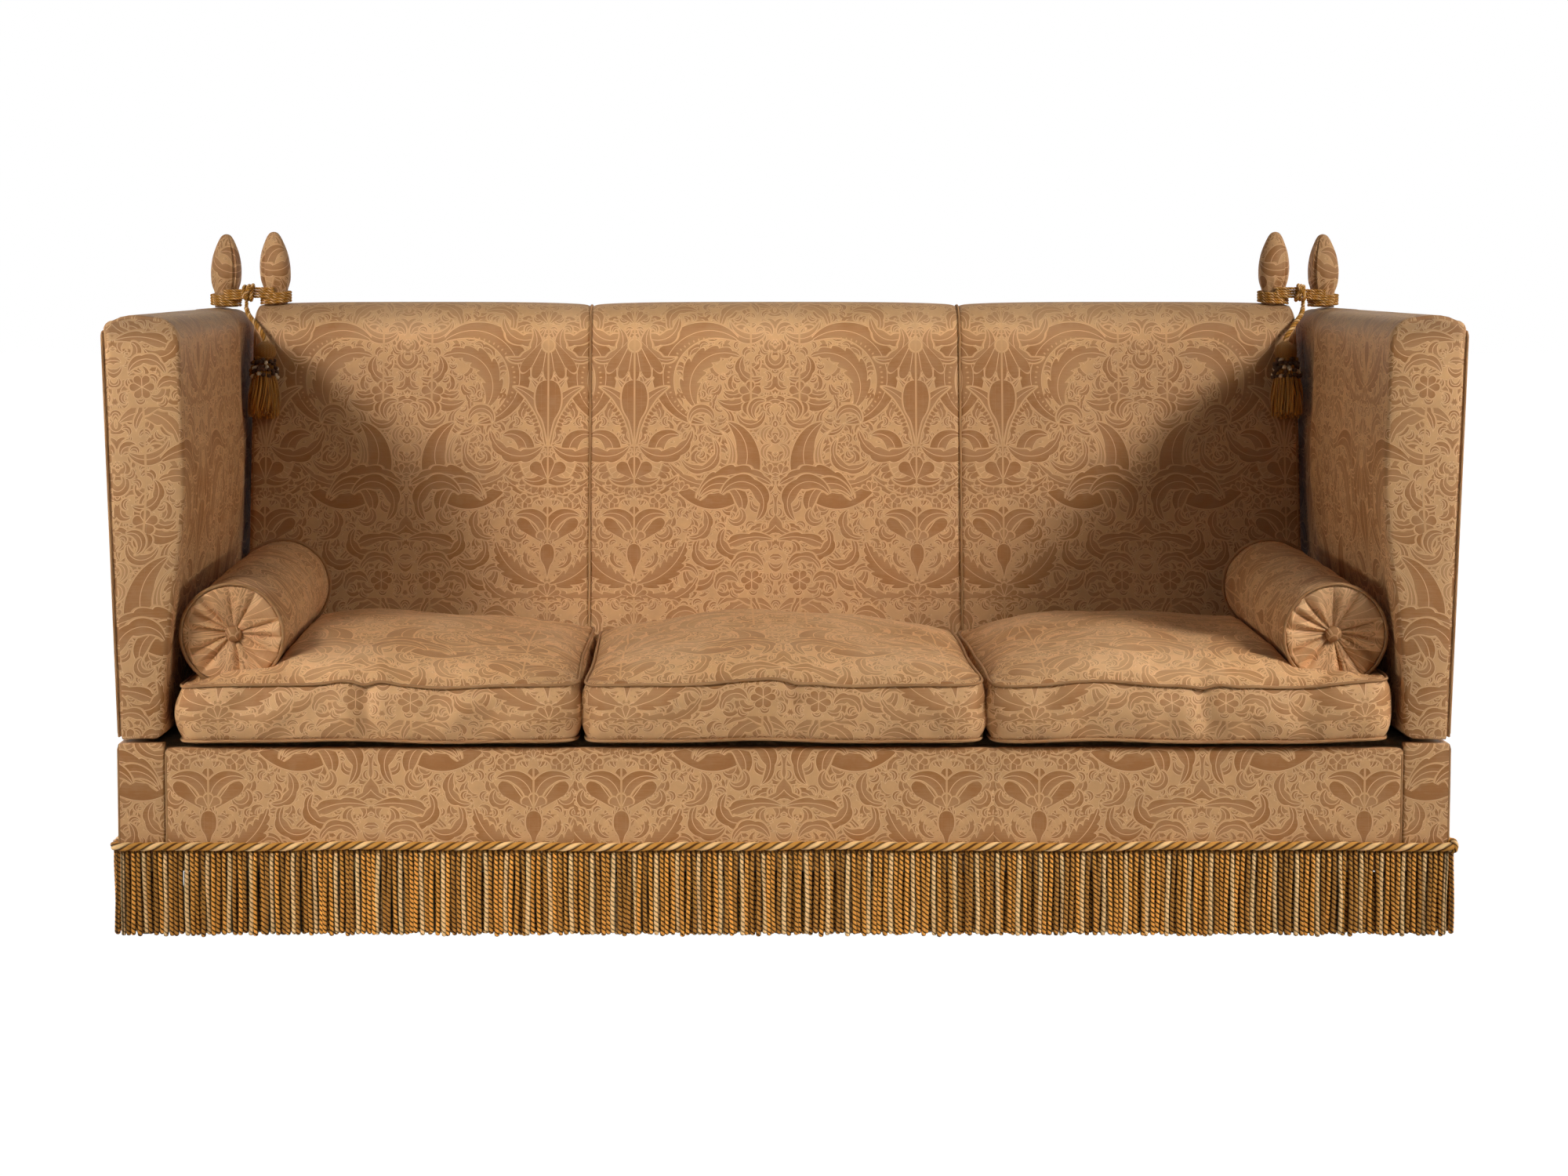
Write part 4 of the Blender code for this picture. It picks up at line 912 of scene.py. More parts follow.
class Finishes:
    """The materials, each built once on its first use."""

    @staticmethod
    def start(name: str, **sockets: Feed) -> tuple[Material, Wiring, Node]:
        """Starts a material with a Principled BSDF.

        Args:
            name: The material's name.
            **sockets: Constant values of the shader's sockets, with _ for a space.

        Returns:
            The material, its wiring and its shader.
        """
        material = bpy.data.materials.new(name)
        material.use_nodes = True
        shader = material.node_tree.nodes["Principled BSDF"]
        for socket, value in sockets.items():
            shader.inputs[socket.replace("_", " ")].default_value = opaque(value)
        return material, Wiring(material.node_tree), shader

    @staticmethod
    def coat(
        w: Wiring, shader: Node, colour: Socket, height: Socket, distance: float, strength: float
    ) -> None:
        """Feeds a shader its colour, and its normal by a Bump node.

        Args:
            w: The material's wiring.
            shader: Its shader.
            colour: The colour.
            height: The bump's height.
            distance: How far a height of 1 stands out, in metres.
            strength: How strong the bump is.
        """
        w.feed(shader.inputs["Base Color"], colour)
        made = w.wired("ShaderNodeBump", {"Strength": strength, "Distance": distance, "Height": height})
        w.feed(shader.inputs["Normal"], made.outputs[0])

    @classmethod
    @cache
    def damask(cls) -> Material:
        """The damask: straw ground, copper-brown figure, pale lines, faded where it is worn and lighter
        there, partly as painted highlight.
        """
        pitch = 0.0011
        sheen = {"Sheen_Weight": 0.05, "Sheen_Roughness": 0.35, "Sheen_Tint": (0.95, 0.80, 0.58)}
        material, w, shader = cls.start("damask_cloth", Specular_IOR_Level=0.3, **sheen)
        cloth, place, wear = w.cloth(), w.place(), w.mark(WEAR_AND_HIGHLIGHT)
        tone = w.group(Damask().group(), Cloth=cloth).outputs["Tone"]
        grain = w.group(cloth_grain(), Cloth=cloth, Pitch=pitch)
        patches = w.noise(place, 5.5, 3.0, 0.6)
        fine = w.noise(place, 38.0, 3.0, 0.65)
        mottled = w.scaled(w.less(fine, 0.5), 0.9, 1.0)
        streaked = w.scaled(w.less(grain.outputs["Streak"], 0.5), 0.5, 1.0)
        kept = w.scaled(wear, -0.20, 1.0)
        varied = w.times(kept, w.times(mottled, streaked))
        base = w.tint(w.hold(w.times(tone, varied)), SHADES.ground, SHADES.figure)
        base = w.tint(w.times(w.hold(w.times(tone, -1.4)), kept), base, SHADES.outline)
        faded = w.times(w.times(wear, w.fit(patches, 0.35, 0.65)), 0.34)
        base = w.tint(faded, base, SHADES.worn)
        shade = w.scaled(patches, 0.30, w.scaled(fine, 0.34, 0.68))
        # Darker in a band between these heights, over the back's round top; lighter where the wear mark is
        # high, partly paler wear and partly painted highlight
        _, _, height = w.split(place)
        top_band = w.times(w.fit(height, 0.985, 1.045), w.fit(height, 1.062, 1.078, 1.0, 0.0))
        shade = w.times(shade, w.scaled(top_band, -0.36, 1.0))
        # Painted highlight: the wear mark lightens the cloth, most on the cushion tops and bolster ends.
        shade = w.times(shade, w.scaled(wear, 0.36, 1.0))
        w.feed(shader.inputs["Roughness"], w.scaled(tone, -0.10, 0.66))
        cls.coat(w, shader, w.shaded(base, shade), grain.outputs["Height"], distance=0.0004, strength=0.35)
        return material

    @classmethod
    @cache
    def piping(cls) -> Material:
        """The covered piping: the same cloth cut on the cross, darker and broken along its length."""
        gloss = {"Roughness": 0.72, "Specular_IOR_Level": 0.25, "Sheen_Weight": 0.04}
        material, w, shader = cls.start("piping_cloth", **gloss)
        u, v, _ = w.split(w.cloth())
        patches = w.noise(w.stretched((u, v), 60.0, 30.0), 1.0, 3.0, 0.6)
        wide = w.noise(w.place(), 7.0, 2.0, 0.5)
        base = w.tint(w.fit(patches, 0.38, 0.62), SHADES.piping, SHADES.figure)
        base = w.tint(w.fit(wide, 0.45, 0.75, 0.0, 0.5), base, SHADES.ground)
        cls.coat(w, shader, base, patches, distance=0.0006, strength=0.4)
        return material

    @classmethod
    @cache
    def cord(
        cls, name: str, low: Colour, high: Colour, pale: Colour, plies: int, lay: float, pale_share: float
    ) -> Material:
        """A twisted cord: stripes of painted shade that wind round it between the plies, one ply paler where
        it has that, with silky threads.

        Args:
            name: The material's name.
            low: The painted shade down between the plies.
            high: The colour on top of them.
            pale: The colour of the pale ply or of the paler cords.
            plies: How many plies it has.
            lay: The length of one turn of a ply in metres; 0 where the mesh itself winds.
            pale_share: How far the pale ply shows.

        Returns:
            The material.
        """
        material, w, shader = cls.start(name, Roughness=0.6, Specular_IOR_Level=0.14)
        u, v, _ = w.split(w.cloth())
        turn = w.scaled(u, -1.0 / lay, v) if lay else v
        part = w.fraction(w.times(turn, float(plies)))
        crown = w.sine(w.times(part, math.pi))
        thread = w.sine(w.scaled(u, 5200.0, w.times(v, -40.0)))
        # Painted shade: dark down between the plies, full colour on their crowns.
        body = w.tint(w.fit(crown, 0.20, 0.85), low, high)
        if lay:
            tone = w.mark(TONE)
            pick: Feed = w.times(w.fit(tone, 0.70, 0.90), pale_share)
            body = w.shaded(body, w.fit(tone, 0.0, 0.6, 0.50, 1.0))
        else:
            ply = w.math("FLOOR", w.times(w.fraction(turn), float(plies)))
            pick = w.times(w.math("COMPARE", ply, 0.0, 0.25), pale_share)
        lit = w.tint(w.fit(crown, 0.15, 0.80, 0.22, 1.0), low, pale)
        base = w.tint(pick, body, lit)
        if lay:
            # The fringe: dark at its heading, and painted shade on the flanks of each cord, darker than on
            # its face, where the cords shade each other
            base = w.tint(w.fit(u, 0.0066, 0.0082, 0.85, 0.0), base, SHADES.deep_gold)
            across, along, _ = w.split(w.node("ShaderNodeNewGeometry").outputs["Normal"])
            x, _, _ = w.split(w.place())
            side = w.above(w.absolute(x), PLAN.half_width - 0.0085)
            facing = w.blend(side, w.absolute(along), w.absolute(across))
            base = w.shaded(base, w.fit(facing, 0.20, 0.92, 0.22, 1.0))
        base = w.shaded(base, w.scaled(thread, 0.07, 1.0))
        distance = 0.0016 if lay else 0.0004
        cls.coat(w, shader, base, w.scaled(thread, 0.05, crown), distance, strength=0.9)
        return material

    @classmethod
    @cache
    def threads(cls, name: str, low: Colour, high: Colour) -> Material:
        """Loose silky threads, each a little lighter or darker by its tone attribute."""
        material, w, shader = cls.start(name, Roughness=0.58, Specular_IOR_Level=0.3, Sheen_Weight=0.05)
        u, v, _ = w.split(w.cloth())
        twist = w.sine(w.scaled(u, 2400.0, w.times(v, TURN)))
        amount = w.hold(w.scaled(twist, 0.14, w.mark(TONE)))
        cls.coat(w, shader, w.tint(amount, low, high), twist, distance=0.0003, strength=0.6)
        return material

    @classmethod
    @cache
    def tufts(cls) -> Material:
        """The tassel's ruff of short tufts, dark brown, white or gold by their tone attribute."""
        material, w, shader = cls.start("tuft_wool", Roughness=0.8, Specular_IOR_Level=0.2)
        tone = w.mark(TONE)
        base = w.tint(w.above(tone, 0.50), SHADES.tuft_brown, SHADES.deep_gold)
        base = w.tint(w.above(tone, 0.74), base, SHADES.tuft_white)
        fuzz = w.noise(w.place(), 900.0, 2.0, 0.6)
        base = w.shaded(base, w.scaled(fuzz, 0.9, 0.55))
        cls.coat(w, shader, base, fuzz, distance=0.0006, strength=0.8)
        return material

    @classmethod
    @cache
    def wood(cls, name: str, colour: Colour, rough: float) -> Material:
        """Planed wood with its grain along its longest way, by object coordinates."""
        material, w, shader = cls.start(name)
        axes = w.split(w.place())
        rings = w.noise(w.stretched(axes, 2.0, 26.0, 26.0), 1.6, 4.0, 0.55)
        pores = w.noise(w.stretched(axes, 30.0, 420.0, 420.0), 1.0)
        dark = tuple(channel * 0.55 for channel in colour)
        base = w.tint(w.fit(rings, 0.35, 0.65), dark, colour)
        w.feed(shader.inputs["Roughness"], w.scaled(pores, 0.2, rough))
        base = w.tint(w.fit(pores, 0.58, 0.7, 0.0, 0.35), base, dark)
        cls.coat(w, shader, base, pores, distance=0.0003, strength=0.3)
        return material

    @classmethod
    @cache
    def sacking(cls, name: str, colour: Colour, pitch: float) -> Material:
        """Plain coarse weave for hessian and webbing, by object coordinates."""
        material, w, shader = cls.start(name, Roughness=0.92)
        x, y, z = w.split(w.place())
        turns = TURN / pitch
        warp = w.sine(w.times(w.add(x, z), turns))
        weft = w.sine(w.times(w.add(y, z), turns))
        weave = w.scaled(w.times(warp, weft), 0.5, 0.5)
        slub = w.noise(w.join(x, y, z), 60.0, 3.0, 0.6)
        pale = tuple(min(1.0, channel * 1.5) for channel in colour)
        dark = tuple(channel * 0.5 for channel in colour)
        base = w.tint(weave, dark, colour)
        base = w.tint(w.fit(slub, 0.45, 0.75, 0.0, 0.7), base, pale)
        cls.coat(w, shader, base, weave, distance=0.0006, strength=0.7)
        return material

    @classmethod
    @cache
    def steel(cls) -> Material:
        """Brushed hinge steel with a little dulling."""
        material, w, shader = cls.start("hinge_steel_brushed", Metallic=1.0)
        axes = w.split(w.place())
        lines = w.noise(w.stretched(axes, 900.0, 8.0, 900.0), 1.0)
        dull = w.noise(w.join(*axes), 22.0, 3.0, 0.6)
        dark = tuple(channel * 0.6 for channel in SHADES.steel)
        w.feed(shader.inputs["Base Color"], w.tint(w.fit(dull, 0.45, 0.7), SHADES.steel, dark))
        w.feed(shader.inputs["Roughness"], w.scaled(lines, 0.25, 0.42))
        return material


def stand(name: str, data: bpy.types.ID) -> Piece:
    """Makes an object of some data and puts it in the scene."""
    made = bpy.data.objects.new(name, data)
    bpy.context.scene.collection.objects.link(made)
    return made


class Patchwork:
    """Gathers cloth patches, each a grid with its cloth coordinates, and sews them into one mesh."""

    def __init__(self) -> None:
        """Starts with no patch."""
        self.points: list[np.ndarray] = []
        self.cloth: list[np.ndarray] = []
        self.marks: dict[str, list[np.ndarray]] = {WEAR_AND_HIGHLIGHT: [], HELD: []}
        self.faces: list[np.ndarray] = []
        self.count = 0

    def patch(self, points: Grid, cloth: Grid, wear: Grid | float = 0.0, held: Grid | float = 0.0) -> None:
        """Adds a grid.

        Args:
            points: Rows and columns of points.
            cloth: Their cloth coordinates in metres.
            wear: How worn each is, or one number for all; the damask also lightens with it, as painted
                highlight.
            held: How firmly each is held in the cloth simulation, or one number.
        """
        points = np.asarray(points, float)
        rows, columns = points.shape[:2]
        index = self.count + np.arange(rows * columns).reshape(rows, columns)
        quads = spots(index[:-1, :-1], index[:-1, 1:], index[1:, 1:], index[1:, :-1])
        self.faces.append(quads.reshape(-1, 4))
        self.points.append(points.reshape(-1, 3))
        self.cloth.append(np.broadcast_to(cloth, (rows, columns, 2)).reshape(-1, 2))
        for name, value in ((WEAR_AND_HIGHLIGHT, wear), (HELD, held)):
            self.marks[name].append(np.broadcast_to(np.asarray(value, float), (rows, columns)).reshape(-1))
        self.count += rows * columns

    def close(self, rim: np.ndarray, cloth: np.ndarray, middle: np.ndarray | None = None) -> None:
        """Closes an open end with a fan to the middle of its rim.

        Args:
            rim: The rim's points.
            cloth: Their cloth coordinates.
            middle: The cloth coordinates at the middle, where they aren't the rim's own.
        """
        centre = np.broadcast_to(rim.mean(axis=0), rim.shape)
        self.patch([rim, centre], [cloth, cloth if middle is None else middle])

    def sew(self, name: str, finish: Material, weld: float = 2e-5) -> Piece:
        """Joins the patches where they meet, turns the faces outwards and makes the object.

        Args:
            name: The piece's name.
            finish: Its material.
            weld: The distance within which points are one.

        Returns:
            The object, at the origin.
        """
        mesh = bpy.data.meshes.new(name)
        faces = np.concatenate(self.faces)
        mesh.from_pydata(np.concatenate(self.points).tolist(), [], faces.tolist())
        layer = mesh.uv_layers.new(name=CLOTH)
        corners = np.concatenate(self.cloth)[faces.reshape(-1)]
        layer.data.foreach_set("uv", corners.reshape(-1).astype(np.float32))
        for mark, values in self.marks.items():
            if any(value.any() for value in values):
                made = mesh.attributes.new(mark, "FLOAT", "POINT")
                made.data.foreach_set("value", np.concatenate(values).astype(np.float32))
        form = bmesh.new()
        form.from_mesh(mesh)
        bmesh.ops.remove_doubles(form, verts=form.verts[:], dist=weld)
        bmesh.ops.dissolve_degenerate(form, edges=form.edges[:], dist=weld / 4)
        bmesh.ops.recalc_face_normals(form, faces=form.faces[:])
        for face in form.faces:
            face.smooth = True
        form.to_mesh(mesh)
        form.free()
        mesh.materials.append(finish)
        return stand(name, mesh)


def dress(piece: Piece, body: Body, replaced: Iterable[str] = ()) -> Piece:
    """Ties a finished piece to its body and the solids that it stands for.

    Args:
        piece: The piece.
        body: The body that it rides on.
        replaced: The nodes that it replaces.

    Returns:
        The piece.
    """
    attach(piece, body.value)
    names = list(replaced)
    if names:
        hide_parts(*names)
    log.info("%s: %d faces, on %s", piece.name, len(piece.data.polygons), body.value)
    return piece


def spots(*axes: np.ndarray | float) -> np.ndarray:
    """Stacks coordinates into points; a plain number stands for one that is the same everywhere."""
    return np.stack(np.broadcast_arrays(*axes), -1)


def around(radius: np.ndarray | float, turn: np.ndarray, z: np.ndarray | float) -> np.ndarray:
    """Points at a radius about the upright axis, at some angles and a height."""
    return spots(radius * np.cos(turn), radius * np.sin(turn), z)


def moved_by(matrix: Matrix, points: Grid) -> np.ndarray:
    """Turns and moves points by a matrix."""
    return np.asarray(points) @ np.array(matrix.to_3x3()).T + np.array(matrix.translation)


def smooth_step(value: np.ndarray) -> np.ndarray:
    """Eases a value from 0 to 1."""
    eased = np.clip(value, 0.0, 1.0)
    return eased * eased * (3 - 2 * eased)


def bump_at(value: np.ndarray, middle: float, width: float) -> np.ndarray:
    """A soft bump of height 1 about a middle."""
    return np.exp(-(((value - middle) / width) ** 2))


def left_of(line: np.ndarray, closed: bool = True) -> np.ndarray:
    """The direction to the left of a flat line at each of its points.

    Args:
        line: The line's points.
        closed: Whether its last point is its first one.

    Returns:
        Directions of length 1.
    """
    tangents = np.gradient(line, axis=0)
    if closed:
        tangents[0] = tangents[-1] = tangents[0] + tangents[-1]
    tangents /= np.maximum(np.linalg.norm(tangents, axis=1), 1e-9)[:, None]
    return spots(-tangents[:, 1], tangents[:, 0])


def lengths(points: np.ndarray) -> np.ndarray:
    """The distance run along a line of points."""
    steps = np.linalg.norm(np.diff(points, axis=0), axis=1)
    return np.concatenate([[0.0], np.cumsum(steps)])


def resample(points: np.ndarray, step: float, closed: bool = False) -> np.ndarray:
    """Rounds a path through its points and spaces it evenly.

    Args:
        points: The path's own points.
        step: The wanted spacing in metres.
        closed: Whether it is a loop.

    Returns:
        The new points; a loop's last one is its first.
    """
    points = np.asarray(points, float)
    if closed:
        ring = np.vstack([points[-1], points, points[0], points[1]])
    else:
        ring = np.vstack([2 * points[0] - points[1], points, 2 * points[-1] - points[-2]])
    t = np.linspace(0.0, 1.0, 9)[:-1, None]
    runs = []
    for i in range(1, len(ring) - 2):
        a, b, c, d = ring[i - 1 : i + 3]
        bend, twist = 2 * a - 5 * b + 4 * c - d, 3 * b - a - 3 * c + d
        runs.append(0.5 * (2 * b + (c - a) * t + bend * t**2 + twist * t**3))
    dense = np.vstack([*runs, ring[-2]])
    run = lengths(dense)
    count = max(2, round(run[-1] / step))
    even = np.linspace(0.0, run[-1], count + 1)
    return np.stack([np.interp(even, run, dense[:, axis]) for axis in range(3)], -1)


@dataclass(frozen=True)
class Strand:
    """The cross-section of a cord or piping, and how its plies wind."""

    radius: float
    sides: int = 8
    plies: int = 0
    groove: float = 0.0
    lay: float = 0.03

    def lay_along(self, sewn: Patchwork, path: np.ndarray, closed: bool = False, ends: bool = True) -> None:
        """Adds the strand along a path.

        Args:
            sewn: The patchwork that takes it.
            path: Evenly spaced points; a loop's last one is its first.
            closed: Whether it is a loop.
            ends: Whether an open strand is rounded off at its ends.
        """
        run = lengths(path)
        tangents = np.gradient(path, axis=0)
        if closed:
            tangents[0] = tangents[-1] = path[1] - path[-2]
        tangents /= np.linalg.norm(tangents, axis=1)[:, None]
        guide = np.array([0.0, 0.0, 1.0]) if abs(tangents[0][2]) < 0.9 else np.array([1.0, 0.0, 0.0])
        normal = guide - tangents[0] * guide.dot(tangents[0])
        normals = [normal / np.linalg.norm(normal)]
        for tangent in tangents[1:]:
            normal = normals[-1] - tangent * normals[-1].dot(tangent)
            normals.append(normal / np.linalg.norm(normal))
        normals = np.array(normals)
        sides = np.cross(tangents, normals)
        drift = 0.0
        if closed:
            drift = -math.atan2(normals[-1].dot(sides[0]), normals[-1].dot(normals[0]))
        share = run / run[-1]
        turns = run[-1] / self.lay
        if closed:
            turns = round(turns)
        angle = np.linspace(0.0, TURN, self.sides + 1)[None, :]
        twist = (TURN * turns * share)[:, None] if self.plies else np.zeros((len(path), 1))
        wave = np.abs(np.cos(self.plies * angle / 2)) if self.plies else 1.0
        reach = self.radius * (1 - self.groove * (1 - wave)) * np.ones_like(twist)
        if ends and not closed:
            inside = (self.radius - np.minimum(run, run[-1] - run)) / self.radius
            reach = reach * np.sqrt(np.clip(1 - inside.clip(0) ** 2, 0, 1))[:, None]
        spin = angle + twist + (drift * share)[:, None]
        points = (
            path[:, None, :] + (reach * np.cos(spin))[..., None] * normals[:, None, :]
            + (reach * np.sin(spin))[..., None] * sides[:, None, :]
        )
        cloth = spots(run[:, None], angle / TURN + 0.5 / max(1, self.plies))
        sewn.patch(points, cloth)


def loft_sections(
    sewn: Patchwork, section: np.ndarray, stations: Sequence[tuple[float, float]], run: np.ndarray,
    place: Callable[[float, np.ndarray], np.ndarray], across: Callable[[float], float],
    wear: np.ndarray | float = 0.0, caps: tuple[bool, bool] = (True, True),
) -> None:
    """Lofts one outline along a piece, pushed in or out at each station, and closes its ends.

    Args:
        sewn: The patchwork that takes it.
        section: The outline's points, clockwise seen from its end, closed by the caller.
        stations: Each station's place along the piece, and how far the outline moves outwards there.
        run: The cloth's second coordinate at each point of the outline.
        place: Turns a station and the outline's points into points in space.
        across: Turns a station into the cloth's first coordinate.
        wear: How worn the cloth is at each point of the outline, which also lightens it as painted highlight.
        caps: Which ends are closed.
    """
    out = left_of(section)
    rows = [place(s, section + out * push) for s, push in stations]
    cloth = [spots(across(s), run) for s, _ in stations]
    sewn.patch(rows, cloth, np.broadcast_to(wear, (len(rows), len(section))))
    for end, wanted in ((0, caps[0]), (-1, caps[1])):
        if wanted:
            sewn.close(rows[end], section, np.broadcast_to(section.mean(axis=0), section.shape))


def rounded(low: Point, high: Point, radius: float, steps: int = 5, extra: int = 6) -> np.ndarray:
    """A rectangle with round corners, clockwise from its lower left, closed.

    Args:
        low: Its lower left corner.
        high: Its upper right corner.
        radius: Its corners' radius.
        steps: The steps in each corner.
        extra: The steps along each side.

    Returns:
        The outline's points, the first one again at the end.
    """
    points: list[Point] = []
    corners = (
        ((low[0] + radius, low[1] + radius), 270), ((low[0] + radius, high[1] - radius), 180),
        ((high[0] - radius, high[1] - radius), 90), ((high[0] - radius, low[1] + radius), 0),
    )
    for (x, y), start in corners:
        for step in range(steps + 1):
            angle = math.radians(start - 90 * step / steps)
            points.append((x + radius * math.cos(angle), y + radius * math.sin(angle)))
    points.append(points[0])
    spaced: list[Point] = []
    for a, b in zip(points, points[1:]):
        parts = extra if math.dist(a, b) > 2.5 * radius else 1
        step = ((b[0] - a[0]), (b[1] - a[1]))
        spaced += [(a[0] + step[0] * i / parts, a[1] + step[1] * i / parts) for i in range(parts)]
    spaced.append(points[0])
    return np.array(spaced)


def puff(piece: Piece, pressure: float, cap: float, ease: float = 0.02, frames: int = 18) -> None:
    """Stuffs a piece with Blender's cloth under pressure, and keeps the result within a cap.

    Args:
        piece: The piece, whose held attribute says which points stay.
        pressure: The pressure inside.
        cap: How far a point may move, in metres.
        ease: How much longer the cloth is than its pattern.
        frames: How many frames are run.
    """
    mesh = piece.data
    count = len(mesh.vertices)
    before = np.empty(count * 3)
    mesh.vertices.foreach_get("co", before)
    held = np.zeros(count)
    mesh.attributes[HELD].data.foreach_get("value", held)
    group = piece.vertex_groups.new(name=HELD)
    for level in (0.25, 0.5, 1.0):
        chosen = np.flatnonzero(np.abs(held - level) < 0.13)
        group.add(chosen.tolist(), level, "REPLACE")
    cloth = piece.modifiers.new("stuffing", "CLOTH")
    settings = cloth.settings
    values = {
        "quality": 5, "mass": 0.3, "tension_stiffness": 12.0, "compression_stiffness": 12.0,
        "shear_stiffness": 5.0, "bending_stiffness": 0.4, "use_pressure": True,
        "uniform_pressure_force": pressure, "shrink_min": -ease, "vertex_group_mass": HELD,
    }
    for name, value in values.items():
        setattr(settings, name, value)
    settings.effector_weights.gravity = 0.0
    cloth.collision_settings.use_collision = False
    scene = bpy.context.scene
    for number in range(1, frames + 1):
        scene.frame_set(number)
    shaped = piece.evaluated_get(bpy.context.evaluated_depsgraph_get())
    after = np.empty(count * 3)
    shaped.data.vertices.foreach_get("co", after)
    piece.modifiers.remove(cloth)
    piece.vertex_groups.remove(group)
    scene.frame_set(1)
    moved = (after - before).reshape(-1, 3)
    far = np.linalg.norm(moved, axis=1)
    moved *= (cap * np.tanh(far / cap) / np.maximum(far, 1e-9))[:, None]
    mesh.vertices.foreach_set("co", (before.reshape(-1, 3) + moved).reshape(-1))
    mesh.update()
    log.info("%s: stuffed, moved up to %.1f mm", piece.name, 1000 * np.linalg.norm(moved, axis=1).max())


def shape_points(piece: Piece, change: Callable[[np.ndarray], np.ndarray]) -> None:
    """Moves all points of a piece by a rule."""
    points = np.empty(len(piece.data.vertices) * 3)
    piece.data.vertices.foreach_get("co", points)
    piece.data.vertices.foreach_set("co", change(points.reshape(-1, 3)).reshape(-1))
    piece.data.update()


def soften(piece: Piece) -> None:
    """Adds one level of subdivision."""
    made = piece.modifiers.new("soft form", "SUBSURF")
    made.levels = made.render_levels = 1


def piped(name: str, paths: Sequence[tuple[np.ndarray, bool]], radius: float) -> Piece:
    """Makes covered piping along one or more paths.

    Args:
        name: The piece's name.
        paths: Each path's points, and whether it is a loop.
        radius: The piping's radius.

    Returns:
        The piping.
    """
    sewn = Patchwork()
    for path, closed in paths:
        Strand(radius, sides=7).lay_along(sewn, resample(path, 0.008, closed), closed)
    return sewn.sew(name, Finishes.piping(), FINE_WELD)


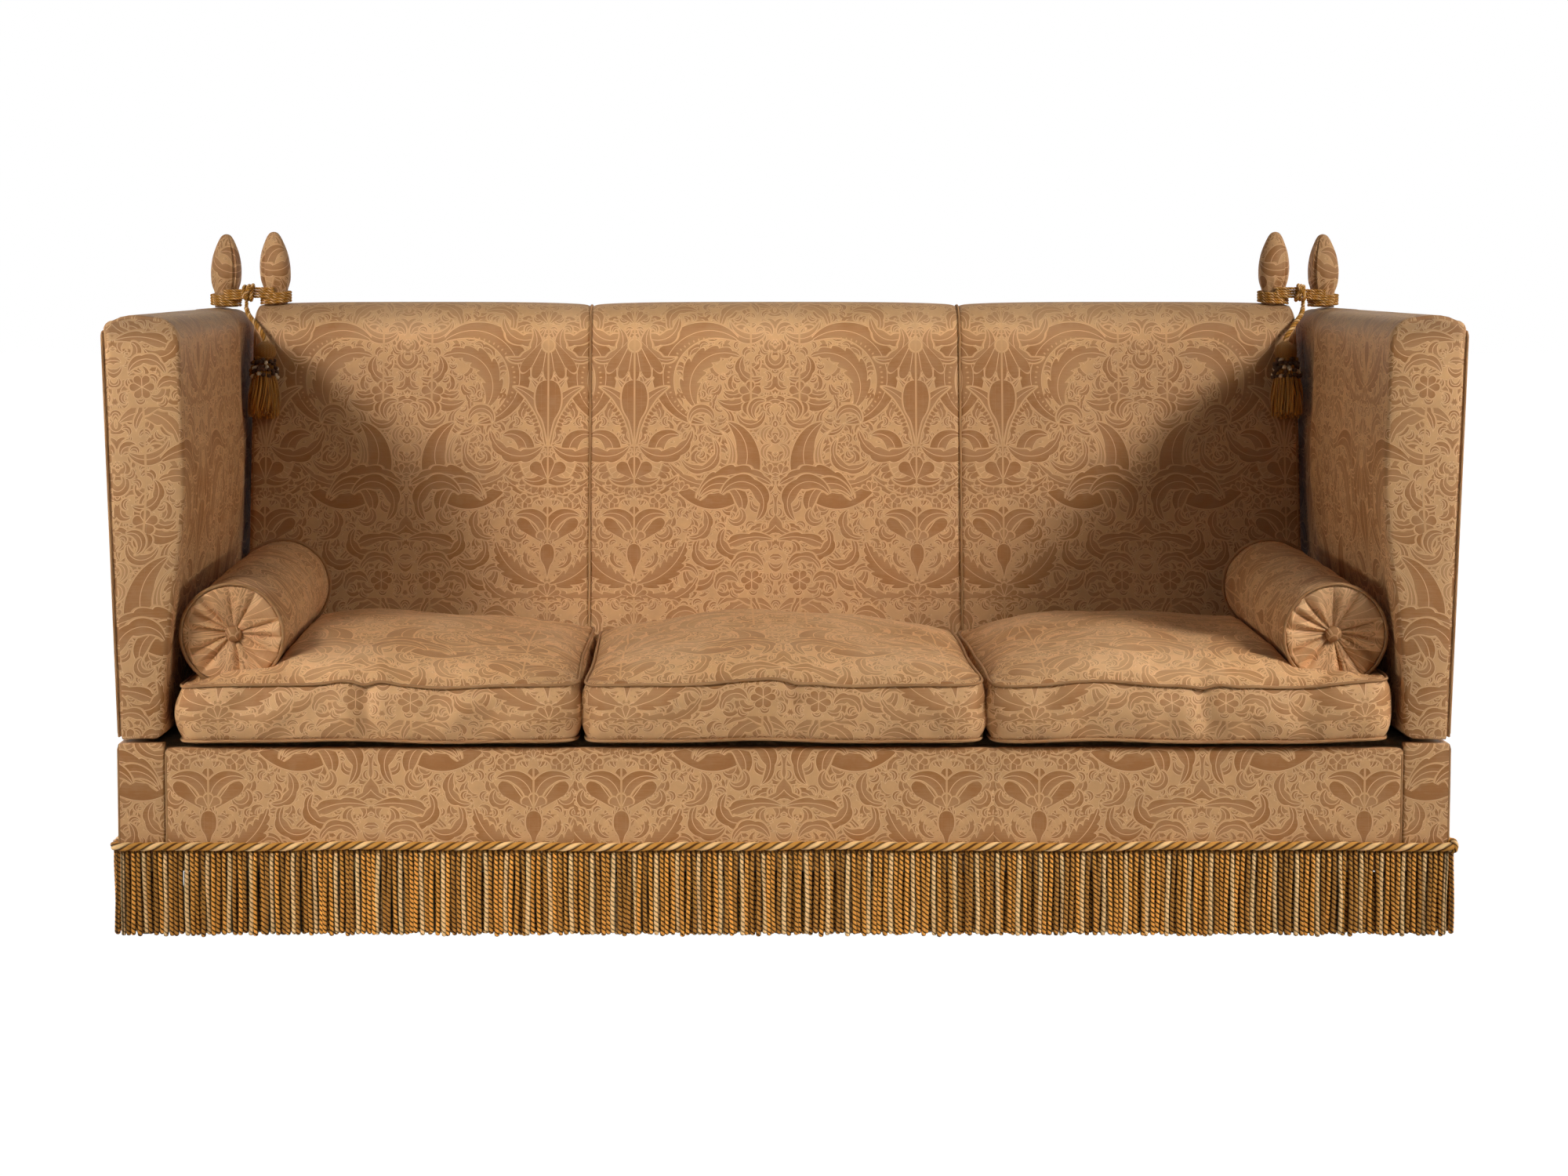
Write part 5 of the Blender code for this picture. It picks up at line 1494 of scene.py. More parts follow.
@dataclass
class PaddedBack:
    """The back: three stuffed panels with piped seams and a round top, and the covered outside back."""

    swell: float = 0.006
    pinch: float = 0.0048
    end_radius: float = 0.014
    seat_mark: float = 0.49
    axes: tuple[float, float, float] = (-0.712, 0.0, 0.712)
    piping_radius: float = 0.0026

    def section(self) -> tuple[np.ndarray, np.ndarray]:
        """The outline of the back seen from its end, up the front, over the roll and down the rear.

        Returns:
            Its points as depths and heights, and how worn each is, which also lightens the roll as painted
            highlight.
        """
        top_z = PLAN.back_crest - PLAN.roll_height
        heights = np.linspace(PLAN.seat_low, top_z, 45)[:-1]
        front = [(PLAN.back_face(z), z) for z in heights]
        start = PLAN.back_face(top_z)
        half = (PLAN.back_rear - start) / 2
        angles = np.linspace(math.pi, 0.0, 19)
        roll = [(start + half + half * math.cos(a), top_z + PLAN.roll_height * math.sin(a)) for a in angles]
        rear = [(PLAN.back_rear, z) for z in np.linspace(top_z, PLAN.seat_low, 12)[1:]]
        deep = PLAN.back_foot - PLAN.back_rear
        floor = [(PLAN.back_rear + deep * t, PLAN.seat_low) for t in (0.33, 0.67, 1.0)]
        section = np.array(front + roll + rear + floor)
        wear = 0.75 * smooth_step((section[:, 1] - 0.955) / 0.06)
        return section, wear

    def seam_stations(self, low: float, high: float, low_end: bool, high_end: bool) -> list[Point]:
        """Places the stations of one panel, with how far its face stands out at each.

        Args:
            low: Where the panel starts.
            high: Where it ends.
            low_end: Whether its low side is the end of the back.
            high_end: The same for its high side.

        Returns:
            The stations, each with its push.
        """
        near = [0.0002, 0.001, 0.0025, 0.005, 0.009, 0.015, 0.024, 0.038, 0.055]
        middle = np.linspace(low + 0.075, high - 0.075, 30).tolist()
        places = [low + step for step in near] + middle + [high - step for step in reversed(near)]
        stations = []
        for s in places:
            push = self.swell
            for edge, is_end in ((s - low, low_end), (high - s, high_end)):
                push -= self.swell * math.exp(-edge / 0.07)
                if is_end:
                    inside = max(0.0, 1 - edge / self.end_radius)
                    push -= self.end_radius * (1 - math.sqrt(max(0.0, 1 - inside * inside)))
                else:
                    push -= self.pinch * math.exp(-((edge / 0.006) ** 1.2))
            stations.append((s, push))
        return stations

    def build(self) -> None:
        """Makes the panels, their piping and the outside back."""
        section, wear = self.section()
        run = lengths(section)
        front_share = (self.seat_mark - PLAN.seat_low) / math.cos(PLAN.back_lean)
        seam, end = PLAN.back_seam, PLAN.back_half
        spans = (("left", -end, -seam), ("middle", -seam, seam), ("right", seam, end))
        for (word, low, high), axis in zip(spans, self.axes):
            sewn = Patchwork()

            def place(s: float, outline: np.ndarray) -> np.ndarray:
                """Stands the outline at a station; only the front and the roll swell."""
                return spots(s, PLAN.front_y + outline[:, 0], outline[:, 1])

            stations = self.seam_stations(low, high, low == -end, high == end)
            loft_sections(sewn, section, stations, run - front_share, place, lambda s, a=axis: s - a, wear)
            panel = sewn.sew(f"{word}_back_pad", Finishes.damask())
            shape_points(panel, self.settle)
            dress(panel, Body.FRAME, [f"{word}_back_panel"])
        self.pipe(section)
        self.outside()

    def settle(self, points: np.ndarray) -> np.ndarray:
        """Keeps the pads on the deck and inside the outside back, and makes their faces a little uneven."""
        x, y, z = points.T
        face = np.clip((PLAN.front_y + 0.80 - y) / 0.1, 0.0, 1.0)
        ripple = 0.0012 * np.sin(23 * x + 5 * z) * np.sin(11 * z + 3 * x)
        ripple += 0.0006 * np.sin(61 * x) * np.sin(37 * z + 9 * x)
        y = y - face * ripple
        y = np.minimum(y, PLAN.front_y + PLAN.back_rear - 0.0002)
        z = np.maximum(z, PLAN.seat_low)
        return spots(x, y, z)

    def pipe(self, section: np.ndarray) -> None:
        """Runs piping over both seams and round both ends of the back."""
        shown = section[3:-9]
        out = left_of(shown, closed=False)
        seam, end = PLAN.back_seam, PLAN.back_half - 0.007
        paths = []
        for s, push in ((-seam, -0.0012), (seam, -0.0012), (-end, -0.0035), (end, -0.0035)):
            line = shown + out * push
            paths.append((spots(s, PLAN.front_y + line[:, 0], line[:, 1])[::2], False))
        piping = piped("back_piping", paths, self.piping_radius)
        dress(piping, Body.FRAME)

    def outside(self) -> None:
        """Stretches the cloth over the outside of the back, with a piped upper edge."""
        low_half = PLAN.half_width - PLAN.side_wall - 0.0003
        shoulder, top, foot = PLAN.base_top, PLAN.rail_top, PLAN.cover_low
        half = PLAN.back_half
        outline = [
            (-low_half, foot), (-low_half, shoulder), (-half, shoulder), (-half, top),
            (half, top), (half, shoulder), (low_half, shoulder), (low_half, foot),
        ]
        rear = PLAN.front_y + PLAN.depth

        def place(points: np.ndarray, depth: float) -> np.ndarray:
            """Stands the plan behind the back."""
            return spots(points[:, 0], rear - depth, points[:, 1])

        panel = thin_panel(
            "outside_back_cloth", outline, thickness=0.0047, edge=0.002, place=place, shift=(0.0, -0.2)
        )
        dress(panel, Body.FRAME, ["outside_back_panel"])
        area = outline_area(outline)
        inset, low, high = 0.004, 0.34, top - 0.004
        edge = [(-half + inset, low), (-half + inset, high), (half - inset, high), (half - inset, low)]
        path = np.array([(x, rear - 0.0012, z) for x, z in edge])
        shares = (np.linspace(0, 1, 20), np.linspace(0, 1, 50)[1:-1], np.linspace(0, 1, 20))
        fine = np.vstack([a + (b - a) * t for a, b, run in zip(path, path[1:], shares) for t in run])
        piping = piped("outside_back_piping", [(fine, False)], radius=0.0024)
        dress(piping, Body.FRAME)


def outline_area(outline: Sequence[Point]) -> float:
    """The area inside an outline."""
    pairs = zip(outline, [*outline[1:], outline[0]])
    return abs(sum(a[0] * b[1] - b[0] * a[1] for a, b in pairs)) / 2


def thin_panel(
    name: str, outline: Sequence[Point], thickness: float, edge: float,
    place: Callable[[np.ndarray, float], np.ndarray], shift: Point,
) -> Piece:
    """Makes a thin covered panel with a round edge from a flat outline.

    Args:
        name: The piece's name.
        outline: Its corners.
        thickness: Its thickness.
        edge: How far its edge is rounded.
        place: Turns plan points and a depth below the outer face into points in space.
        shift: What is added to plan points to give the cloth's coordinates.

    Returns:
        The panel.
    """
    corners = np.array(outline, float)
    ahead, behind = np.roll(corners, -1, axis=0) - corners, corners - np.roll(corners, 1, axis=0)
    ahead /= np.linalg.norm(ahead, axis=1)[:, None]
    behind /= np.linalg.norm(behind, axis=1)[:, None]
    turn = 1.0 if np.cross(behind, ahead).sum() > 0 else -1.0
    inwards = spots(-(ahead + behind)[:, 1], (ahead + behind)[:, 0]) * turn
    scale = 1 + (ahead * behind).sum(axis=1)
    inwards /= scale[:, None]
    form = bmesh.new()
    layer = form.loops.layers.uv.new(CLOTH)
    cut = edge * 0.3
    profile = [(0.0, edge), (cut, cut), (edge, 0.0)]
    profile += [(thickness - depth, inset) for depth, inset in reversed(profile)]
    rings = []
    flats = []
    for depth, inset in profile:
        flat = corners + inwards * inset
        rings.append([form.verts.new(point) for point in place(flat, depth)])
        flats.append(flat)
    faces = []
    for lower, upper, low_flat, high_flat in zip(rings, rings[1:], flats, flats[1:]):
        for i in range(len(corners)):
            j = (i + 1) % len(corners)
            face = form.faces.new((lower[i], lower[j], upper[j], upper[i]))
            faces.append((face, (low_flat[i], low_flat[j], high_flat[j], high_flat[i])))
    faces.append((form.faces.new(rings[0]), flats[0]))
    faces.append((form.faces.new(list(reversed(rings[-1]))), flats[-1][::-1]))
    for face, flat in faces:
        for loop, point in zip(face.loops, flat):
            loop[layer].uv = (point[0] + shift[0], point[1] + shift[1])
    bmesh.ops.recalc_face_normals(form, faces=form.faces[:])
    mesh = bpy.data.meshes.new(name)
    form.to_mesh(mesh)
    form.free()
    mesh.materials.append(Finishes.damask())
    return stand(name, mesh)


@dataclass
class DropArm:
    """One drop arm: its stuffed cover, the outside cloth and the piping round its front and top."""

    hand: Hand
    foot: float = 0.080
    bulge: float = 0.051
    rear_share: float = 0.42
    outer: float = 0.0053
    edge: float = 0.006
    top_inner: float = 0.042
    top_outer: float = 0.016
    drop: float = 0.004

    def inner_face(self, up: np.ndarray, share: float) -> np.ndarray:
        """How far in the inner face lies at a height, for a share of the full bulge."""
        return self.foot + self.bulge * share * smooth_step((up / PLAN.arm_height - 0.03) / 0.62)

    def section(self, share: float) -> np.ndarray:
        """The arm seen from the front, up its inner face, over the crest and down its outer face.

        Args:
            share: The share of the full bulge.

        Returns:
            The outline's points as distances in and heights, closed.
        """
        height = PLAN.arm_height
        turn = np.linspace(0.0, math.pi / 2, 7)
        low = 0.020
        foot = [(self.foot - low + low * math.sin(a), low - low * math.cos(a)) for a in turn]
        shoulder = height - self.top_inner - self.drop
        heights = np.linspace(low, shoulder, 40)[1:-1]
        inner = list(zip(self.inner_face(heights, share), heights))
        full = self.foot + self.bulge * share
        top = [
            (full - self.top_inner + self.top_inner * math.cos(a), shoulder + self.top_inner * math.sin(a))
            for a in np.linspace(0.0, math.pi / 2, 11)
        ]
        near, far = full - self.top_inner, self.outer + self.top_outer
        crest = [
            (near + (far - near) * t, height - self.drop * (2 * t - 1) ** 2 * (1 + t))
            for t in (0.2, 0.4, 0.6, 0.8)
        ]
        middle = height - self.top_outer - 2 * self.drop
        corner = [
            (far - self.top_outer * math.sin(a), middle + self.top_outer * math.cos(a))
            for a in np.linspace(0.0, math.pi / 2, 7)
        ]
        outside = [(self.outer, w) for w in np.linspace(middle, 0.010, 12)[1:]]
        under = [(self.outer + 0.003, 0.0), (self.foot / 2, 0.0), (self.foot - low, 0.0)]
        return np.array(foot + inner + top + crest + corner + outside + under)

    def share(self, v: float) -> float:
        """The share of the full bulge at a distance from the front."""
        start, end = 0.62 * PLAN.arm_length, 0.75 * PLAN.arm_length
        return 1 - (1 - self.rear_share) * float(smooth_step(np.array((v - start) / (end - start))))

    def pushed(self, share: float, push: float) -> np.ndarray:
        """The outline moved outwards by a distance."""
        section = self.section(share)
        return section - left_of(section) * push

    def build(self) -> None:
        """Makes the cover, the outside cloth and the piping."""
        side, word = self.hand.value, self.hand.word
        sewn = Patchwork()
        rear = PLAN.arm_length
        stations = [(0.0, -self.edge), (0.0012, -0.0030), (0.0032, -0.0010), (self.edge, 0.0)]
        stations += [(v, 0.0) for v in np.linspace(0.018, rear - 0.018, 58)]
        stations += [(rear - self.edge, 0.0), (rear - 0.002, -0.002), (rear, -self.edge)]
        run = lengths(self.section(1.0)) + 0.02
        rows, cloth, wears_and_highlights = [], [], []
        for v, push in stations:
            section = self.pushed(self.share(v), push)
            up = section[:, 1] / PLAN.arm_height
            dent = 0.0016 * np.sin(19 * v + 7 * up) * np.sin(9 * up + 2) * (section[:, 0] > 0.03) * (v > 0.03)
            rows.append(PLAN.in_arm(side, section[:, 0] + dent, v, section[:, 1]))
            cloth.append(spots(v + 0.11, run))
            wears_and_highlights.append(0.7 * smooth_step((section[:, 1] - 0.64) / 0.05))
        sewn.patch(rows, cloth, wears_and_highlights)
        self.close_front(sewn, run)
        sewn.close(rows[-1], cloth[-1])
        cover = sewn.sew(f"{word}_arm_pad", Finishes.damask())
        dress(cover, self.hand.arm, [f"{word}_arm_cover"])
        self.outside()
        self.pipe()

    def close_front(self, sewn: Patchwork, run: np.ndarray) -> None:
        """Closes the front facing over the arm's middle line; its pattern runs on from the inner face."""
        side = self.hand.value
        edge = self.pushed(1.0, -self.edge)
        height = PLAN.arm_height
        upper = np.clip(edge[:, 1], 0.030, height - 0.055)
        middle = spots((self.outer + self.inner_face(upper, 1.0)) / 2, upper)
        rows, cloth = [], []
        for share, out in ((0.0, 0.0), (0.12, 0.0007), (0.4, 0.0016), (0.7, 0.0022), (1.0, 0.0025)):
            flat = edge + (middle - edge) * share
            rows.append(PLAN.in_arm(side, flat[:, 0], -out, flat[:, 1]))
            inner = self.inner_face(flat[:, 1], 1.0)
            up = flat[:, 1] + run[30] - edge[30, 1]
            cloth.append(spots(0.11 - (inner - flat[:, 0]), up))
        sewn.patch(rows, cloth)

    def outside(self) -> None:
        """Stretches the cloth over the arm's outer face."""
        side, word = self.hand.value, self.hand.word
        front, rear, foot = self.edge, PLAN.arm_length - self.edge, 0.004
        top = PLAN.arm_height - 0.014 - 0.016
        outline = [(front, foot), (rear, foot), (rear, top), (front, top)]

        def place(points: np.ndarray, depth: float) -> np.ndarray:
            """Stands the plan on the arm's outer face."""
            return PLAN.in_arm(side, depth, points[:, 0], points[:, 1])

        panel = thin_panel(
            f"{word}_arm_outside_cloth", outline, thickness=0.005, edge=0.0018, place=place, shift=(0.1, 0.05)
        )
        dress(panel, self.hand.arm, [f"{word}_arm_outside_panel"])

    def pipe(self) -> None:
        """Runs piping up the outer front edge, along the top outer edge and down the rear."""
        side, word = self.hand.value, self.hand.word
        rear = PLAN.arm_length
        top = PLAN.arm_height - 0.026
        u, front, bend = 0.0035, 0.0015, 0.010
        turns = np.linspace(0, math.pi / 2, 5)
        corner = [(u, front + bend * (1 - math.cos(a)), top - bend + bend * math.sin(a)) for a in turns]
        far = [(u, rear - 0.012 + bend * math.sin(a), top - bend + bend * math.cos(a)) for a in turns]
        path = [(u, front, w) for w in np.linspace(0.004, top - 0.02, 40)] + corner
        path += [(u, v, top) for v in np.linspace(0.025, rear - 0.03, 50)] + far
        path += [(u, rear - 0.002, w) for w in np.linspace(top - 0.02, 0.004, 40)]
        points = PLAN.in_arm(side, *np.array(path).T)
        piping = piped(f"{word}_arm_piping", [(points, False)], radius=0.0024)
        dress(piping, self.hand.arm)


@dataclass
class BaseCovers:
    """The padded front border, the covered end blocks and sides, the seat deck and what is under it."""

    block_edge: float = 0.005
    segment_axes: tuple[float, float, float] = (-0.692, 0.0, 0.700)
    border_seam: float = 0.352
    lift: float = 0.112

    def build(self) -> None:
        """Makes the border, the covers and the deck."""
        self.border()
        for hand in Hand:
            self.cover(hand)
        self.deck()

    def border(self) -> None:
        """Makes the padded border in three lengths of cloth, with piped ends."""
        half = PLAN.seat_half - 0.0003
        top = (PLAN.border_thickness, PLAN.border_top)
        section = rounded((0.0, PLAN.cover_low), top, radius=0.008, steps=5, extra=14)
        run = section[:, 1] - self.lift + 0.02 * (section[:, 0] / PLAN.border_thickness)
        sewn = Patchwork()
        seams = (-half, -self.border_seam, self.border_seam, half)

        def place(s: float, outline: np.ndarray) -> np.ndarray:
            """Stands the outline across the front."""
            return spots(s, PLAN.front_y + outline[:, 0], outline[:, 1])

        for index, axis in enumerate(self.segment_axes):
            low, high = seams[index], seams[index + 1]
            near = [0.0, 0.0012, 0.003, 0.006, 0.011, 0.02, 0.035]
            places = [low + n for n in near] + np.linspace(low + 0.05, high - 0.05, 24).tolist()
            places += [high - n for n in reversed(near)]
            stations = []
            for s in places:
                push = 0.0
                for seam in seams:
                    gap = abs(s - seam)
                    deep, wide = (0.005, 0.004) if abs(seam) == half else (0.0011, 0.0025)
                    push -= deep * math.exp(-gap / wide)
                stations.append((s, push))
            ends = (index == 0, index == 2)
            loft_sections(sewn, section, stations, run, place, lambda s, a=axis: s - a, 0.0, ends)
        pad = sewn.sew("front_border_pad", Finishes.damask())
        dress(pad, Body.FRAME, ["front_border"])
        paths = []
        for x in (-half + 0.0028, half - 0.0028):
            heights = np.linspace(0.150, PLAN.border_top - 0.004, 16)
            points = [(x, PLAN.front_y + 0.0030 + (0.004 if z > 0.316 else 0.0), z) for z in heights]
            paths.append((np.array(points), False))
        dress(piped("border_piping", paths, radius=0.0022), Body.FRAME)

    def cover(self, hand: Hand) -> None:
        """Makes one end's cover: the block beside the border and the base's side, with a piped front edge.

        Args:
            hand: The end.
        """
        side = hand.value
        inner, outer, depth = PLAN.seat_half, PLAN.half_width, PLAN.depth
        wall, thick, r = PLAN.half_width - PLAN.side_wall, PLAN.border_thickness, self.block_edge

        def corner(x: float, y: float, start: float, sweep: float) -> list[Point]:
            """Points round one corner of the plan."""
            turns = [math.radians(start + sweep * t) for t in np.linspace(0, 1, 5)]
            return [(x + r * math.cos(turn), y + r * math.sin(turn)) for turn in turns]

        plan = corner(inner + r, r, 180, 90) + corner(outer - r, r, 270, 90)
        plan += [(outer, d) for d in np.linspace(0.03, depth - 0.03, 26)]
        plan += corner(outer - r, depth - r, 0, 90) + corner(wall + r, depth - r, 90, 90)
        plan += [(wall, thick), (inner, thick), (inner, thick / 2)]
        plan.append(plan[0])
        points = np.array(plan)
        run = lengths(points)
        inwards = left_of(points)
        levels = [(PLAN.cover_low, 0.003), (PLAN.cover_low + 0.003, 0.0)]
        levels += [(z, 0.0) for z in np.linspace(0.13, 0.318, 9)]
        levels += [(PLAN.base_top - 0.004, 0.0003), (PLAN.base_top - 0.0012, 0.0014), (PLAN.base_top, 0.004)]
        rows, cloth = [], []
        for z, inset in levels:
            flat = points + inwards * inset
            rows.append(spots(side * flat[:, 0], PLAN.front_y + flat[:, 1], z))
            cloth.append(spots(run - 0.16, z - self.lift + 0.05))
        sewn = Patchwork()
        sewn.patch(rows, cloth)
        piece = sewn.sew(f"{hand.word}_base_cloth", Finishes.damask())
        form = bmesh.new()
        form.from_mesh(piece.data)
        bmesh.ops.holes_fill(form, edges=[edge for edge in form.edges if edge.is_boundary])
        bmesh.ops.recalc_face_normals(form, faces=form.faces[:])
        form.to_mesh(piece.data)
        form.free()
        dress(piece, Body.FRAME, [f"{hand.word}_base_cover"])
        path = [(outer - 0.0016, 0.0016, z) for z in np.linspace(0.15, PLAN.base_top - 0.002, 22)]
        line = np.array([(side * s, PLAN.front_y + d, z) for s, d, z in path])
        dress(piped(f"{hand.word}_base_piping", [(line, False)], radius=0.0022), Body.FRAME)

    def deck(self) -> None:
        """Makes the covered seat deck and the stuffed block of springs under it."""
        finish = Finishes.sacking("deck_hessian", SHADES.hessian, 0.0016)
        for name, node in (("seat_deck_cloth", "seat_deck"), ("sprung_block_cover", "sprung_seat_block")):
            low, high = (Vector(corner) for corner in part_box(node))
            section = rounded((low.y, low.z), (high.y, high.z), radius=0.010, steps=4, extra=14)
            sewn = Patchwork()

            def place(s: float, outline: np.ndarray) -> np.ndarray:
                """Stands the outline across the seat, with the tufting of a sprung seat."""
                dimple = 0.0012 * np.cos(TURN * s / 0.18) * np.cos(TURN * outline[:, 0] / 0.18)
                z = np.clip(outline[:, 1] + dimple - 0.0013, low.z, high.z)
                return spots(s, outline[:, 0], z)

            near = [0.0, 0.002, 0.006, 0.012]
            places = [low.x + n for n in near] + np.linspace(low.x + 0.03, high.x - 0.03, 60).tolist()
            places += [high.x - n for n in reversed(near)]
            stations = [(s, -0.006 * math.exp(-min(s - low.x, high.x - s) / 0.003)) for s in places]
            loft_sections(sewn, section, stations, lengths(section), place, lambda s: s)
            piece = sewn.sew(name, finish)
            dress(piece, Body.FRAME, [node])


@dataclass
class SeatCushion:
    """A boxed cushion of down and feather: crowned, piped at both edges, puckered in its front."""

    word: str
    low_s: float
    high_s: float
    body: Body
    axis: float
    pucker: float
    seed: int
    trough: int = 0
    front: float = -0.010
    back: float = 0.660
    boxing: float = 0.107
    low_rise: float = 0.006
    crown: float = 0.053
    corner: float = 18.0
    steps: int = 46
    bulge: float = 0.010
    clearance: float = 0.0030
    puckers: tuple[Spot, ...] = (
        (0.0, 0.010, 0.0), (-0.022, 0.004, -0.5), (0.026, 0.0045, 0.6), (0.055, 0.002, 0.9),
    )

    def frame(self) -> tuple[float, float, float, float]:
        """The middle and the half sizes of the cushion's plan."""
        front, back = PLAN.front_y + self.front, PLAN.front_y + self.back
        waist = 0.004
        return (
            (self.low_s + self.high_s) / 2, (front + back) / 2,
            (self.high_s - self.low_s) / 2 - waist, (back - front) / 2 - waist / 2,
        )

    def wobble(self, x: np.ndarray, y: np.ndarray, upper: bool) -> np.ndarray:
        """How the seams ride up and down round the cushion."""
        phase = self.seed * 1.7
        wave = 0.0046 * np.sin(13 * x + phase) + 0.0022 * np.sin(27 * x - 9 * y + 2 * phase)
        wave += 0.0020 * np.sin(17 * y + phase)
        lift = bump_at(x, self.pucker, 0.045) * (y < PLAN.front_y + 0.1)
        return wave + (0.004 if upper else -0.001) * lift

    def grid(self) -> tuple[np.ndarray, np.ndarray, np.ndarray, np.ndarray]:
        """Lays a square grid over the round-cornered plan.

        Returns:
            The grid's shares across and back, and its x and y places.
        """
        even = np.linspace(-math.pi / 2, math.pi / 2, self.steps + 1)
        spread = np.sin(even * 0.86) / math.sin(0.86 * math.pi / 2)
        a, b = np.meshgrid(spread, spread)
        biggest = np.maximum(np.abs(a), np.abs(b))
        norm = (np.abs(a) ** self.corner + np.abs(b) ** self.corner) ** (1 / self.corner)
        pull = np.divide(biggest, norm, out=np.ones_like(norm), where=norm > 1e-9)
        x0, y0, half_x, half_y = self.frame()
        waist_x, waist_y = 0.006 * (1 - b * b), 0.006 * (1 - a * a) * (b > 0)
        return a, b, x0 + a * pull * (half_x - waist_x), y0 + b * pull * (half_y - waist_y)

    def crowned(self, a: np.ndarray, b: np.ndarray, x: np.ndarray, y: np.ndarray) -> np.ndarray:
        """The height of the upper face."""
        dome = (1 - np.abs(a) ** 2.4) * (1 - np.abs(b) ** 2.6)
        seam = PLAN.seat_low + self.boxing - 0.006 * (1 - b) / 2 + self.wobble(x, y, True)
        creases = np.zeros_like(x)
        rng = random.Random(self.seed)
        for _ in range(9):
            cx, cy = x.min() + rng.random() * np.ptp(x), y.min() + rng.random() * np.ptp(y)
            turn, long, wide = rng.uniform(0, math.pi), rng.uniform(0.07, 0.16), rng.uniform(0.012, 0.024)
            p = (x - cx) * math.cos(turn) + (y - cy) * math.sin(turn)
            q = -(x - cx) * math.sin(turn) + (y - cy) * math.cos(turn)
            creases -= rng.uniform(0.0015, 0.0036) * np.exp(-((p / long) ** 2) - ((q / wide) ** 2))
        front = y - y.min()
        for offset, depth, lean in self.puckers:
            line = x - self.pucker - offset - lean * front
            creases -= depth * np.exp(-((line / 0.008) ** 2)) * np.exp(-((front / 0.055) ** 2))
        return seam + self.crown * np.maximum(dome, 0.0) ** 0.62 + creases

    def build(self) -> None:
        """Makes the cushion, stuffs it, and pipes its two seams."""
        a, b, x, y = self.grid()
        top = self.crowned(a, b, x, y)
        sewn = Patchwork()
        rim = np.maximum(np.abs(a), np.abs(b)) > 0.9999
        # The wear mark is highest on the top: paler wear, and painted highlight on the face that looks up to
        # the lamps.
        wear = 0.85 * smooth_step((np.maximum(1 - a * a, 0) * np.maximum(1 - b * b, 0)) ** 0.5 * 2.2)
        cloth = spots(x - self.axis, y - PLAN.front_y + 0.10)
        sewn.patch(spots(x, y, top), cloth, wear, rim.astype(float))
        low_seam = PLAN.seat_low + self.low_rise + 0.4 * self.wobble(x, y, False)
        near_rim = smooth_step((np.maximum(np.abs(a), np.abs(b)) - 0.80) / 0.20)
        foot = PLAN.seat_low + (low_seam - PLAN.seat_low) * near_rim
        sewn.patch(spots(x, y, foot), cloth, 0.0, 1.0)
        ring = self.edge_order()
        rx, ry, rtop, rlow = (field[ring[:, 0], ring[:, 1]] for field in (x, y, top, low_seam))
        run = lengths(spots(rx, ry, 0.0))
        x0, y0, half_x, half_y = self.frame()
        out = spots((rx - x0) / half_x, (ry - y0) / half_y)
        out = np.sign(out) * np.abs(out) ** 7
        out /= np.maximum(np.linalg.norm(out, axis=1), 1e-9)[:, None]
        front = ry < PLAN.front_y + 0.05
        rows, cloths, helds = [], [], []
        shares = np.linspace(0.0, 1.0, 9)
        for share in shares:
            swell = self.bulge * math.sin(math.pi * share) ** 0.8 * np.ones_like(rx)
            pinch = 0.016 * bump_at(rx, self.pucker, 0.007)
            pinch += 0.010 * bump_at(rx, self.pucker + 0.03 * (share - 0.2), 0.004)
            swell -= front * pinch * max(0.0, math.sin(math.pi * min(1.0, share * 0.85 + 0.12))) ** 0.7
            swell += front * 0.0022 * np.sin(41 * rx + 3 * self.seed + 5 * share) * math.sin(math.pi * share)
            z = rtop + (rlow - rtop) * share
            rows.append(spots(rx + out[:, 0] * swell, ry + out[:, 1] * swell, z))
            cloths.append(spots(run - 0.335, 0.065 - self.boxing * share))
            helds.append(np.full(len(rx), 1.0 if share in (0.0, 1.0) else 0.0))
        sewn.patch(rows, cloths, 0.25, helds)
        cushion = sewn.sew(f"{self.word}_seat_pad", Finishes.damask())
        puff(cushion, pressure=3.5, cap=0.006, ease=0.03)
        shape_points(cushion, self.settle)
        soften(cushion)
        dress(cushion, self.body, [f"{self.word}_seat_cushion"])
        paths = []
        for level in (rtop, rlow):
            path = spots(rx + out[:, 0] * 0.0022, ry + out[:, 1] * 0.0022, level + 0.0003)[:-1]
            paths.append((path, True))
        piping = piped(f"{self.word}_cushion_piping", paths, radius=0.0028)
        shape_points(piping, self.settle)
        dress(piping, self.body)

    def edge_order(self) -> np.ndarray:
        """The grid's rim, once round from the front left corner, as rows and columns."""
        n = self.steps
        front = [(0, i) for i in range(n)]
        right = [(i, n) for i in range(n)]
        back = [(n, n - i) for i in range(n)]
        left = [(n - i, 0) for i in range(n)]
        return np.array(front + right + back + left + [(0, 0)])

    def settle(self, points: np.ndarray) -> np.ndarray:
        """Lets the bolster sink into an end cushion, and keeps the cushion on the deck."""
        if self.trough:
            axis = Bolster(Hand(self.trough)).matrix()
            local = (points - np.array(axis.translation)) @ np.array(axis.to_3x3())
            reach = np.hypot(local[:, 0], local[:, 1])
            wanted = Bolster.radius + self.clearance
            near = (np.abs(local[:, 2]) < 0.288) & (reach < wanted) & (points[:, 2] > PLAN.seat_low + 0.03)
            deep = np.sqrt(np.maximum(wanted**2 - local[:, 0] ** 2, 0.0))
            down = local.copy()
            down[:, 1] = np.where(near, np.sign(local[:, 1]) * deep, local[:, 1])
            down[:, 1] = np.where(near & (local[:, 1] > 0), -down[:, 1], down[:, 1])
            points = moved_by(axis, down)
        points[:, 2] = np.maximum(points[:, 2], PLAN.seat_low)
        return points


